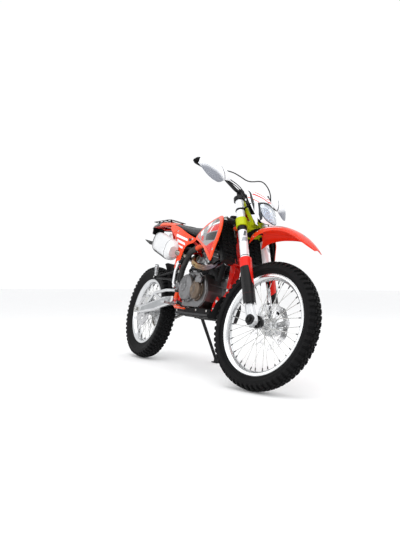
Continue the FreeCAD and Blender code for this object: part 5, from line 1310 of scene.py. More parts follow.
def handlebar():
    mb = MB()       # 0 black bar, 1 rubber, 2 black plastic, 3 silver, 4 steel, 5 satin black alloy
    line = arcs(BAR_PTS, [70, 60, 60, 60, 60, 70], 0.10)
    sweep(mb, line, 10.85, 22, 0)
    for sg in (-1, 1):
        a, b = S(966, -14, sg * (BAR_HALF - 2)), S(954.58, -0.94, sg * 260)
        d = unit(b - a)
        L = np.linalg.norm(b - a)
        # ribbed grip with its end cap and flange
        prof = [(0, -7.8), (12.5, -7.8), (14.6, -6.6), (14.9, -5.0), (14.9, 0.0), (16.3, 0.8), (16.4, 6.0)]
        n = 15
        for k in range(n):
            t = 8.0 + (L - 18.0) * k / n
            w = (L - 18.0) / n
            prof += [(16.4, t), (16.4, t + w * 0.55), (15.3, t + w * 0.68), (15.3, t + w * 0.9)]
        prof += [(16.4, L - 9.0), (16.4, L - 0.5), (21.0, L), (22.6, L + 0.9), (22.8, L + 3.6), (21.8, L + 4.8), (11, L + 4.8)]
        revolve(mb, prof, a, d, 30, 1)
        # throttle or switch housing
        p0, p1 = S(950.4, 4.5, sg * 250), S(949, 5, sg * 216)
        dd = unit(p1 - p0)
        LL = np.linalg.norm(p1 - p0)
        revolve(mb, [(11, 0.2), (16.5, 0.2), (18.4, 1.6), (18.8, 4), (18.8, LL / 2 - 0.8), (18.2, LL / 2 - 0.4), (18.2, LL / 2 + 0.4), (18.8, LL / 2 + 0.8), (18.8, LL - 4), (18.2, LL - 1.2), (16.5, LL - 0.2), (11, LL - 0.2)], p0, dd, 30, 2)
        for q in (-1, 1):
            pm = (p0 + p1) / 2 + AX * 0 + np.array([0, q * 8, 0])
            bolt(mb, pm + (-NN) * 17.8, -NN, 2.4, 1.0, 4, washer=False, socket=True)
        if sg < 0:
            # cable elbow of the throttle
            rod(mb, S(948, 20, -222), S(936, 34, -212), 5.4, 1.0, 14, 2)
        else:
            # kill switch and light switch
            rod(mb, S(960, -10, 226), S(966, -13, 226), 4.2, 0.8, 14, 2)
            rod(mb, S(960, -10, 240), S(965, -12, 240), 3.4, 0.8, 12, 4)
        # perch, clamped by two bolts
        p0, p1 = S(947, 5, sg * 214), S(944, 7, sg * 194)
        dd = unit(p1 - p0)
        LL = np.linalg.norm(p1 - p0)
        revolve(mb, [(11, 0.3), (15.4, 0.3), (16.8, 1.6), (16.8, LL - 1.6), (15.4, LL - 0.3), (11, LL - 0.3)], p0, dd, 28, 5)
        arm = [S(949, 9, sg * 205), S(949.5, 24, sg * 205), S(950, 39.5, sg * 205)]
        sweep(mb, catmull(arm, 4), [8.6] * 9, 14, 5, flat=(1.0, 0.8))
        revolve(mb, [(0, -6.4), (7.4, -6.4), (8.2, -5.6), (8.2, 5.6), (7.4, 6.4), (0, 6.4)], S(950, 41, sg * 205), AX, 22, 5)
        bolt(mb, S(956.4, 41, sg * 205), AX, 4.2, 2.6, 4, washer=False, socket=True)
        # blade lever with a ball end
        lev = catmull([S(949, 38, sg * 200), S(949.6, 45.5, sg * 222), S(950, 46.6, sg * 260), S(950, 43.5, sg * 300), S(950, 35.5, sg * 341)], 7)
        m = len(lev)
        rr = [5.4 - 0.9 * math.sin(math.pi * i / (m - 1)) for i in range(m)]
        sweep(mb, lev, rr, 14, 3, flat=(1.0, 0.72), up=tuple(AX), round_end=True)
        ctr = S(950, 35.2, sg * 343)
        for lat in (0,):
            prof = [(0, -5.6)] + [(5.6 * math.sin(math.pi * k / 8), -5.6 * math.cos(math.pi * k / 8)) for k in range(1, 8)] + [(0, 5.6)]
            revolve(mb, prof, ctr, AX, 16, 3)
        # fluid reservoir stub on the brake side, adjuster on the clutch side
        if sg < 0:
            revolve(mb, [(0, 0), (4.4, 0), (4.4, 6.5), (0, 6.5)], S(949, 36, -216), unit(S(949, 44, -212) - S(949, 36, -216)), 12, 4)
        else:
            revolve(mb, [(0, 0), (6.2, 0), (6.2, 3), (5.2, 3.6), (5.2, 6), (6.2, 6.6), (6.2, 9.5), (3.4, 10), (0, 10)], S(949, 37, 200), unit(S(948, 39, 186) - S(949, 37, 200)), 16, 5)
    for sg in (-1, 1):
        # clamps on the top yoke: risers, caps and four bolts
        y0, y1 = sorted((sg * 26.2, sg * 59.8))
        post = [(793.2, 6.5), (793.2, 39.5), (856, 42.5), (868, 43.0), (884.0, 41.0), (890.4, 33), (890.8, 24), (890.4, 15), (884, 7), (868, 5.4), (856, 6.0)]
        pts = [((PT + AX * s + NN * n)[0], (PT + AX * s + NN * n)[2]) for s, n in post]
        plate(mb, pts, y0, y1, 2.2, 5)
        cap = [(874.6, 4.8), (874.6, 43.2), (885, 41.5), (890.9, 34), (891.4, 24), (890.9, 14), (885, 6.5)]
        for n_ in (9.5, 38.5):
            for yy in (y0 + 8, y1 - 8):
                bolt(mb, S(884.0, n_, yy), AX, 4.0, 4.6, 4, washer=False, socket=True)
        rod(mb, S(792.6, 22, (y0 + y1) / 2), S(794.6, 22, (y0 + y1) / 2), 15.5, 0.5, 24, 4)
    mb.obj("handlebar_set", [M["bar_black"], M["rubber_f"], M["black_f"], M["polished_f"], M["steel_f"], M["satin_black_f"]], "front_fork", True, smooth=36, slot="black_alloy", rep=("handlebar",))


M["bar_black"] = m_paint("bar_black", (0.016, 0.016, 0.017), 0.28, st=True, dirt=0.1, coat=0.5)


def hand_guards():
    mb = MB()       # 0 shield, 1 black, 2 steel
    for sg in (-1, 1):
        rows = [(-381, 24, 970, 932), (-344, 60, 972, 834), (-290, 80, 950, 802), (-230, 84, 930, 845), (-180, 76, 929, 870)]
        R = np.array(rows, float)
        keys = catmull([np.array([y, n, (a + b) / 2]) for y, n, a, b in rows], 8)
        wid = catmull([np.array([y, (a - b) / 2, 0]) for y, n, a, b in rows], 8)
        grid = []
        for k, w in zip(keys, wid):
            y, n0, sm = -sg * k[0], k[1], k[2]
            hw = w[1] * 0.985
            row = []
            for j in range(15):
                q = -1 + 2 * j / 14.0
                drop = 9.8 * abs(q) ** 1.7
                lip = -2.0 * max(0.0, abs(q) - 0.86) / 0.14
                row.append(S(sm + hw * q, n0 + 3.0 - drop + lip, y))
            grid.append(row)
        shell(mb, grid, 2.6, 0, flip=(sg > 0), mat_in=0)
        # edge rib along the top and round the outer end
        edge = [g[-1] - NN * 1.2 for g in grid]
        sweep(mb, edge, 1.7, 8, 0)
        edge = [g[0] - NN * 1.2 for g in grid]
        sweep(mb, edge, 1.7, 8, 0)
        # stay from the bar, and the outer end's bracket
        sweep(mb, catmull([S(937, 18, sg * 182), S(931, 40, sg * 191), S(923, 61, sg * 205), S(904, 80, sg * 230)], 6), 4.8, 14, 1, round_end=True)
        torus(mb, S(941.2, 7.5, sg * 171), unit(S(952, 2, sg * 235) - S(940, 8, sg * 165)), 13.2, 3.0, 28, 10, 1)
        sweep(mb, catmull([S(966, -16, sg * (BAR_HALF + 8.0)), S(964.5, -4, sg * (BAR_HALF + 11.4)), S(961, 12, sg * (BAR_HALF + 11.6)), S(955.5, 26.5, sg * (BAR_HALF + 6))], 6), 8.1, 16, 1)
        rod(mb, S(966, -14.5, sg * (BAR_HALF + 5)), S(967, -16.2, sg * (BAR_HALF + 15.6)), 9.6, 1.6, 20, 1)
        for yy, jj in ((226, 9), (300, 10), (368, 9)):
            k = min(range(len(keys)), key=lambda i: abs(keys[i][0] + yy))
            lean = (0, 0, 0) if yy < 350 else (0, sg * 0.7, 0)
            bolt(mb, grid[k][jj] - NN * 0.4, unit(NN + np.array(lean)), 4.6, 1.8, 2, washer=False, socket=True)
    mb.obj("hand_guard_shields", [M["hand_guard"], M["black_f"], M["steel_f"]], "front_fork", True, smooth=45, slot="white_plastic", rep=("hand_guards",))


def m_hand_guard():
    """White shield, its outer half fading through a dot screen to grey."""
    t = NT("hand_guard_plastic")
    c = t.coord(True)
    ay = t.math("ABSOLUTE", t.dot(c, Y3))
    s = t.math("SUBTRACT", t.dot(c, tuple(AX)), float(np.dot(PT, AX)) / 1000.0)
    q = t.node("ShaderNodeCombineXYZ")
    t.put(q.inputs[0], t.math("ADD", ay, t.math("MULTIPLY", s, 0.6)))
    t.put(q.inputs[1], t.math("SUBTRACT", s, t.math("MULTIPLY", ay, 0.35)))
    vor = t.node("ShaderNodeTexVoronoi", feature="F1")
    vor.inputs["Scale"].default_value = 150.0
    vor.inputs["Randomness"].default_value = 0.0
    t.nt.links.new(q.outputs[0], vor.inputs["Vector"])
    low = t.math("SUBTRACT", s, t.math("MULTIPLY", ay, 0.62))
    fade = t.math("MULTIPLY", t.map(low, 0.716, 0.664, 0.0, 0.62), t.map(ay, 0.20, 0.232, 0.0, 1.0))
    dots = t.math("LESS_THAN", vor.outputs["Distance"], fade)
    n = t.noise(8.0, 4.0, 0.6, c)
    col = t.mix(t.map(n, 0.35, 0.8, 0.0, 0.14), (0.82, 0.83, 0.85), (0.64, 0.65, 0.66))
    col = t.mix(dots, col, (0.19, 0.20, 0.23))
    q2 = t.node("ShaderNodeCombineXYZ")
    t.put(q2.inputs[0], ay)
    t.put(q2.inputs[1], s)
    slash = t.poly([(0.232, 0.842), (0.240, 0.842), (0.262, 0.935), (0.254, 0.935)], X3, Y3, q2.outputs[0])
    col = t.mix(slash, col, (0.10, 0.10, 0.105))
    sc = t.noise(70.0, 6.0, 0.7, c)
    t.set(base=col, rough=t.map(sc, 0.3, 0.8, 0.22, 0.46), coat=0.3, coat_rough=0.08)
    t.bump(sc, 0.05, 0.0006)
    return t.mat


M["hand_guard"] = m_hand_guard()
fork()
fork_guards()
clamps()
handlebar()
hand_guards()


# ----------------------------------------------------- headlight and mask
MASK_F = lut([(835, 62, 118, 150), (800, 100, 128, 168), (740, 110, 132, 186), (690, 104, 140, 196), (640, 93, 150, 200), (590, 72, 160, 196), (568, 52, 162, 188)])


def mask_pt(s, q):
    w, a, b = MASK_F(s)
    n = b - (b - a) * abs(q) ** 2.4
    # raised spine down the middle and a step round the lens
    n -= 3.5 * (1 - math.exp(-(q / 0.34) ** 2)) * max(0.0, min(1.0, (s - 700) / 60.0))
    return S(s, n - 0.8, w * q * 0.992)


def mask():
    mb = MB()        # 0 white, 1 black, 2 steel
    # each half of the shell, with half of the lens opening
    half = [(834.5, 0), (834.5, 0.55), (832, 0.8), (824, 0.95), (812, 1.0), (740, 1.0), (690, 1.0), (640, 1.0), (600, 0.99), (578, 0.93), (568.4, 0.72), (568.4, 0),
            (578, 0), (580, 0.22), (588, 0.52), (606, 0.66), (640, 0.70), (668, 0.68), (688, 0.63), (698, 0.52), (701, 0.24), (702, 0)]
    left = half
    right = [(s, -q) for s, q in half][::-1]
    outs = []
    for h in (left, right):
        o = [np.array(p) for p in h]
        outs.append(o)
    cu = frange(568, 835, 8.0)
    cv = frange(-1, 1, 0.07)
    skin(mb, outs, mask_pt, cu, cv, 3.0, 0, mat_in=1, sg=-1.0)
    # black trim round the lens opening
    ring = [(578, 0), (580, 0.22), (588, 0.52), (606, 0.66), (640, 0.70), (668, 0.68), (688, 0.63), (698, 0.52), (701, 0.24), (702, 0), (701, -0.24), (698, -0.52), (688, -0.63), (668, -0.68), (640, -0.70), (606, -0.66), (588, -0.52), (580, -0.22)]
    sm = smooth_outline([(a, b * 100) for a, b in ring], 4)
    line = [mask_pt(a, b / 100.0) - NN * 1.2 for a, b in sm]
    n = len(line)
    P = np.array(line + [line[0]])
    sweep(mb, P, 2.6, 10, 1, cap=False)
    # reflector bowl behind the glass, with the bulb
    ctr = S(642, 0, 0)
    rows = []
    for n_, ks, ky in ((172, 50, 54), (160, 47, 51), (146, 38, 42), (134, 24, 28), (126, 11, 13)):
        rows.append([S(641 + ks * math.cos(a), n_, ky * math.sin(a)) for a in np.arange(28) * 2 * math.pi / 28])
    v = np.array(rows).reshape(-1, 3)
    faces = ring_faces(5, 28)
    faces.append(tuple(range(4 * 28, 5 * 28)))
    mb.add(v, faces, 3)
    v2 = v - NN * 0.0
    rows2 = []
    for n_, ks, ky in ((171, 52, 56), (158, 50, 54), (144, 41, 45), (131, 27, 31), (121, 13, 15)):
        rows2.append([S(641 + ks * math.cos(a), n_, ky * math.sin(a)) for a in np.arange(28) * 2 * math.pi / 28])
    v = np.array(rows2).reshape(-1, 3)
    mb.add(v, faces, 1)
    rod(mb, S(641, 126, 0), S(641, 158, 0), 6.0, 2.0, 20, 2)
    rod(mb, S(641, 108, 0), S(641, 124, 0), 15.0, 2.0, 24, 1)
    for sg in (-1, 1):
        # stays to the fork tubes with rubber straps round them
        sweep(mb, catmull([S(700, 74, sg * 93), S(700, 100, sg * 96), S(700, 128, sg * 100), S(701, 142, sg * 101)], 6), 4.8, 12, 1)
        sweep(mb, catmull([S(652, 138, sg * 30), S(652, 141, sg * 54), S(653, 147, sg * 82)], 6), 4.3, 12, 1)
        torus(mb, S(700, FORK_N, sg * FORK_Y), AX, 27.4, 1.9, 40, 10, 1)
        revolve(mb, [(25.5, 694), (27.0, 694), (27.6, 696), (27.6, 704), (27.0, 706), (25.5, 706)], S(0, FORK_N, sg * FORK_Y), AX, 40, 1, loop=True)
        # fixing bolts at the sides of the mask
        p = S(610, 158, sg * 66)
        bolt(mb, mask_pt(706, sg * 0.84) - NN * 0.4, unit(NN + np.array([0, sg * 0.5, 0])), 4.6, 1.6, 2, washer=False, socket=True)
        bolt(mb, mask_pt(800, sg * 0.78) - NN * 0.4, unit(NN + np.array([0, sg * 0.5, 0])), 4.2, 1.6, 2, washer=False, socket=True)
    mb.obj("headlight_shell", [M["mask_white"], M["black_f"], M["steel_f"], M["reflector"]], "front_fork", True, smooth=40, slot="white_plastic", rep=("headlight_mask",))
    mb = MB()
    grid = []
    for i in range(19):
        s = 582.0 + (700.0 - 582.0) * i / 18.0
        w0, a0, b0 = MASK_F(s)
        hw = np.interp(s, [582, 588, 597, 610, 640, 668, 688, 700], [26, 39, 48, 56, 66.5, 68.5, 66.5, 54])
        row = []
        for j in range(21):
            q = -1 + 2 * j / 20.0
            y = hw * q
            bulge = 2.4 * (1 - q * q) * max(0.0, 1 - ((s - 641) / 60.0) ** 2)
            row.append(S(s, mask_pt(s, y / w0) @ NN - PT @ NN - 3.4 + bulge, y))
        grid.append(row)
    shell(mb, grid, 3.0, 0, flip=False)
    mb.obj("headlight_glass", [M["lens"]], "front_fork", True, smooth=50, slot="clear_lens", rep=("headlight_lens",))


def m_mask():
    """White mask with slanted orange bars beside the lens and dark wedges at its edges."""
    t = NT("mask_plastic")
    c = t.coord(True)
    s = t.math("SUBTRACT", t.dot(c, tuple(AX)), float(np.dot(PT, AX)) / 1000.0)
    y = t.dot(c, Y3)
    ay = t.math("ABSOLUTE", y)
    q = t.node("ShaderNodeCombineXYZ")
    t.put(q.inputs[0], ay)
    t.put(q.inputs[1], s)
    v = q.outputs[0]

    def P(*pts):
        return t.poly([(a / 1000.0, b / 1000.0) for a, b in pts], X3, Y3, v)

    bar1 = P((0, 757), (0, 749), (70, 786), (66, 793))
    bar2 = P((0, 735), (0, 722), (88, 768), (83, 778))
    bar3 = P((66, 712), (66, 704), (108, 744), (108, 753))
    wedge = P((86, 830), (76, 700), (70, 560), (140, 560), (140, 830))
    wedge2 = P((90, 822), (97, 822), (101, 715), (92, 636), (88, 700))
    side = P((60, 708), (75, 702), (76, 620), (66, 582), (58, 592))
    trim = P((0, 722), (0, 700), (66, 686), (76, 704))
    n = t.noise(9.0, 4.0, 0.6, c)
    col = t.mix(t.map(n, 0.35, 0.8, 0.0, 0.12), (0.80, 0.81, 0.83), (0.66, 0.67, 0.68))
    col = t.mix(bar1, col, ORANGE)
    col = t.mix(bar2, col, RED)
    col = t.mix(bar3, col, ORANGE)
    col = t.mix(wedge2, col, (0.026, 0.027, 0.029))
    col = t.mix(side, col, (0.030, 0.033, 0.038))
    col = t.mix(trim, col, (0.02, 0.02, 0.022))
    sc = t.noise(70.0, 6.0, 0.7, c)
    t.set(base=col, rough=t.map(sc, 0.3, 0.8, 0.18, 0.40), coat=0.4, coat_rough=0.06)
    t.bump(sc, 0.04, 0.0006)
    return t.mat


def m_reflector():
    t = NT("reflector")
    c = t.coord(True)
    w = t.math("SINE", t.math("MULTIPLY", t.dot(c, Y3), 420.0))
    t.set(base=t.mix(t.map(w, -1.0, 1.0, 0.0, 0.4), (0.62, 0.70, 0.82), (0.54, 0.62, 0.76)), metal=0.35, rough=t.map(w, -1.0, 1.0, 0.30, 0.42))
    t.bump(w, 0.08, 0.0006)
    return t.mat


M["mask_white"] = m_mask()
M["reflector"] = m_reflector()
mask()

# ------------------------------------------------------------ front fender
FF = lut([(1236, 868, 34, 788, 54), (1285, 888, 40, 826, 62), (1345, 897, 48, 846, 74), (1420, 897, 54, 853, 84), (1500, 884, 56, 847, 86),
          (1580, 853, 52, 822, 80), (1650, 808, 38, 784, 62), (1700, 768, 18, 757, 28)])


def fender_pt(u, v):
    """u along the bike, v across from -1 to 1."""
    zt, wt, ze, we = FF(u)
    a = abs(v)
    key = [(0.0, 0.0, zt + 2.2), (0.30, wt * 0.5, zt + 0.4), (0.58, wt, zt - 5.5), (0.82, we - 2.4, (ze + zt) / 2), (1.0, we - 0.6, ze + 0.8)]
    xs = [k[0] for k in key]
    y = np.interp(a, xs, [k[1] for k in key])
    z = np.interp(a, xs, [k[2] for k in key])
    # a crease term down the middle, added with zero weight
    f = math.exp(-((a - 0.0) / 0.2) ** 2)
    return np.array([u, math.copysign(y, v), z + 0.0 * f])


def front_fender():
    mb = MB()
    us = np.linspace(1237, 1699, 60)
    vs = np.concatenate([np.linspace(-1, -0.58, 9), np.linspace(-0.58, -0.1, 9)[1:], np.linspace(-0.1, 0.1, 5)[1:], np.linspace(0.1, 0.58, 9)[1:], np.linspace(0.58, 1, 9)[1:]])
    grid = []
    for u in us:
        row = [fender_pt(u, v) for v in vs]
        R = np.array(row)
        # soften the facets across
        for _ in range(2):
            R[1:-1] = 0.5 * R[1:-1] + 0.25 * (R[2:] + R[:-2])
        grid.append(R)
    G = np.array(grid)
    shell(mb, G, 2.8, 0, flip=False, mat_in=3)
    # rolled edge along both sides
    for k in (0, -1):
        sweep(mb, [g[k] + np.array([0, -math.copysign(1.4, g[k][1]), 0.6]) for g in G], 1.9, 8, 0)
    # bracket under the lower clamp and its bolts
    q = [S(586, 14, 0), S(586, 79, 0), np.array([1262, 0, 893]), np.array([1250, 0, 866]), S(577, 60, 0), S(577, 14, 0)]
    slab_pts = [(p[0], p[2]) for p in q]
    plate(mb, slab_pts, -27.6, 27.6, 2.0, 1)
    for u, v in ((1262, 0.36), (1262, -0.36), (1322, 0.30), (1322, -0.30)):
        p = fender_pt(u, v)
        bolt(mb, p - np.array([0, 0, 0.6]), (0, 0, 1), 5.2, 2.2, 2, washer=True, socket=True)
    for sg in (-1, 1):
        for u, a in ((1246, 0.72), (1280, 0.76), (1258, 0.88)):
            p = fender_pt(u, sg * a)
            bolt(mb, p + np.array([0, sg * -0.6, 0]), unit((0, sg, 0.25)), 4.2, 1.8, 2, washer=False, socket=True)
    mb.obj("front_fender_shell", [M["fender"], M["black_f"], M["steel_f"], M["fender_in"]], "front_fork", True, smooth=30, slot="orange_plastic", rep=("front_fender",))


def m_fender():
    """Orange fender: black bar and white wedge at its root; its sides painted redder as shade below the lit orange top.
    """
    t = NT("fender_plastic")
    c = t.coord(True)
    x, y, z = t.dot(c, X3), t.dot(c, Y3), t.dot(c, Z3)
    ay = t.math("ABSOLUTE", y)
    q = t.node("ShaderNodeCombineXYZ")
    t.put(q.inputs[0], x)
    t.put(q.inputs[1], ay)
    q2 = t.node("ShaderNodeCombineXYZ")
    t.put(q2.inputs[0], x)
    t.put(q2.inputs[1], z)
    n = t.noise(8.0, 4.0, 0.6, c)
    # painted shade: below a sloping height the fender turns redder, standing in for the shade on its sides under the
    # lit top
    side = t.map(t.math("SUBTRACT", z, t.math("MULTIPLY", x, -0.06)), 0.945, 0.975, 1.0, 0.0)
    col = t.mix(side, ORANGE, (0.66, 0.030, 0.008))
    col = t.mix(t.map(n, 0.35, 0.8, 0.0, 0.22), col, (0.50, 0.035, 0.006))
    def xz(*parts):
        out = None
        for p in parts:
            m = t.poly(p, X3, Y3, q3.outputs[0])
            out = m if out is None else t.math("MAXIMUM", out, m)
        return out

    q3 = t.node("ShaderNodeCombineXYZ")
    t.put(q3.inputs[0], x)
    t.put(q3.inputs[1], z)
    outer = t.map(ay, 0.034, 0.036, 0.0, 1.0)
    band = xz([(1.300, 0.876), (1.345, 0.889), (1.345, 0.880), (1.300, 0.868)], [(1.345, 0.889), (1.420, 0.890), (1.420, 0.881), (1.345, 0.880)], [(1.420, 0.890), (1.505, 0.876), (1.505, 0.871), (1.420, 0.881)])
    thin = xz([(1.325, 0.869), (1.345, 0.877), (1.345, 0.872)], [(1.345, 0.877), (1.420, 0.878), (1.420, 0.873), (1.345, 0.872)], [(1.420, 0.878), (1.500, 0.868), (1.420, 0.873)])
    band, thin = t.math("MULTIPLY", band, outer), t.math("MULTIPLY", thin, outer)
    tick = t.poly([(1.565, 0.0), (1.580, 0.0), (1.612, 0.022), (1.598, 0.022)], X3, Y3, q.outputs[0])
    col = t.mix(band, col, (0.016, 0.016, 0.018))
    col = t.mix(thin, col, (0.76, 0.77, 0.78))
    col = t.mix(tick, col, (0.016, 0.016, 0.018))
    sc = t.noise(60.0, 6.0, 0.7, c)
    t.set(base=col, rough=t.map(sc, 0.3, 0.8, 0.17, 0.42), coat=0.5, coat_rough=0.07)
    t.bump(t.math("ADD", n, t.math("MULTIPLY", sc, 0.3)), 0.06, 0.001)
    return t.mat


M["fender"] = m_fender()
# inside face of the front fender: a brighter orange-red than the outside, painted light on a face that lies in shade
M["fender_in"] = m_plastic("fender_inside", (0.86, 0.030, 0.006), 0.34, st=True, coat=0.2)
front_fender()


# --------------------------------------------------- caliper, hose, cables
def front_caliper():
    mb = MB()
    cx, cz = FC[0] - 62, FC[2] + 84
    out = [(cx - 34, cz - 34), (cx + 16, cz - 40), (cx + 36, cz - 6), (cx + 24, cz + 34), (cx - 20, cz + 36), (cx - 40, cz + 6)]
    o2 = rounded(out, 9, 4)
    # two bodies either side of the disc, joined over its edge
    plate(mb, o2, 31.3, 40.4, 2.2, 0)
    inner = rounded([(cx - 33, cz - 20), (cx + 14, cz - 30), (cx + 24, cz - 4), (cx + 14, cz + 26), (cx - 18, cz + 30), (cx - 36, cz + 6)], 8, 4)
    plate(mb, inner, 55.6, 66.0, 2.4, 0)
    bridge = rounded([(cx - 39, cz + 4), (cx - 22, cz + 6), (cx - 10, cz + 22), (cx + 22, cz + 33), (cx - 19, cz + 35)], 4, 3)
    far = []
    for a, b in bridge:
        d = math.hypot(a - FC[0], b - FC[2])
        k = max(1.0, 137.5 / d)
        far.append((FC[0] + (a - FC[0]) * k, FC[2] + (b - FC[2]) * k))
    plate(mb, far, 40.2, 56.0, 1.0, 0)
    for dx, dz in ((-14, -2), (8, -12)):
        rod(mb, (cx + dx, 65.6, cz + dz), (cx + dx, 74.5, cz + dz), 12.5, 2.4, 28, 0)
        rod(mb, (cx + dx, 74.2, cz + dz), (cx + dx, 75.6, cz + dz), 7.5, 0.6, 20, 1)
        rod(mb, (cx + dx, 31.6, cz + dz), (cx + dx, 30.9, cz + dz), 8.0, 0.2, 20, 1)
    for dx, dz in ((-30, 8), (18, 22)):
        bolt(mb, (cx + dx, 66.0, cz + dz), (0, 1, 0), 5.0, 4.0, 1, washer=True)
        rod(mb, (cx + dx, 40.0, cz + dz), (cx + dx, 66.0, cz + dz), 6.0, 0.6, 16, 1)
    bolt(mb, (cx - 8, 66, cz + 21), (0, 1, 0), 3.4, 5.0, 1, washer=False)
    # pads at the disc
    plate(mb, rounded([(cx - 22, cz - 22), (cx + 12, cz - 28), (cx + 20, cz - 4), (cx + 10, cz + 14), (cx - 20, cz + 14)], 4, 2), 40.6, 45.6, 0.8, 2)
    plate(mb, rounded([(cx - 22, cz - 22), (cx + 12, cz - 28), (cx + 20, cz - 4), (cx + 10, cz + 14), (cx - 20, cz + 14)], 4, 2), 50.4, 55.4, 0.8, 2)
    mb.obj("front_caliper_body", [M["alloy_f"], M["steel_f"], M["satin_black_f"]], "front_fork", True, smooth=35, slot="silver_alloy", rep=("front_brake_caliper",))


front_caliper()

HOSE = [S(949, 41, -212), S(952, 64, -165), S(930, 86, -112), S(908, 98, -62), S(928, 102, -8), S(962, 102, 46), S(984, 98, 98), S(968, 95, 142),
        S(926, 92, 166), S(866, 91, 160), S(808, 90, 134), S(748, 88, 108), S(690, 87, 105), S(580, 86, 121), S(470, 84, 134), S(370, 62, 143), S(290, 36, 144), S(215, 2, 139), S(152, -48, 124), S(104, -66, 92), S(100, -46, 62), S(121, 12, 57)]
curve("brake_hose_front", HOSE, 3.5, "front_fork", M["rubber_f"], st=True, rep=("front_brake_hose",), res=10)


def front_small():
    mb = MB()
    # banjo fittings and clips of the brake hose
    d = unit(HOSE[1] - HOSE[0])
    rod(mb, HOSE[0] - d * 1.0, HOSE[0] + d * 12, 4.6, 0.8, 14, 0)
    torus(mb, HOSE[0] - d * 3.0, AX, 5.0, 2.6, 20, 8, 0)
    d = unit(HOSE[-2] - HOSE[-1])
    rod(mb, HOSE[-1] + d * 8.0, HOSE[-1] + d * 20, 4.6, 0.8, 14, 0)
    for s, n, y in ((600, 86, 119), (470, 84, 134), (330, 49, 143.6)):
        a = S(s, n, y)
        b = S(s, n - 20, y - 16 if s < 400 else y - 14)
        rod(mb, a - AX * 3.5, a + AX * 3.5, 5.4, 0.8, 14, 1)
        sweep(mb, [a, (a + b) / 2, b], 2.6, 8, 1)
    mb.obj("hose_clips", [M["zinc_f"], M["black_f"]], "front_fork", True, smooth=35, slot="steel")


front_small()


# ------------------------------------------------------------- main frame
def ring_weld(mb, c, d, R, r=2.6, mat=1):
    torus(mb, c, d, R, r, 30, 6, mat)


def v3(*a):
    return np.array(a, float)


GUARD = NT("frame_guard")


def m_guard():
    t = GUARD
    c = t.coord(False)
    v = t.voronoi(520.0, coord=c)
    n = t.noise(22.0, 4.0, 0.6, c)
    t.set(base=t.mix(t.map(n, 0.35, 0.75, 0.0, 1.0), (0.013, 0.013, 0.014), (0.045, 0.043, 0.040)), rough=0.55)
    t.bump(v, 0.5, 0.0008)
    return t.mat


M["guard"] = m_guard()


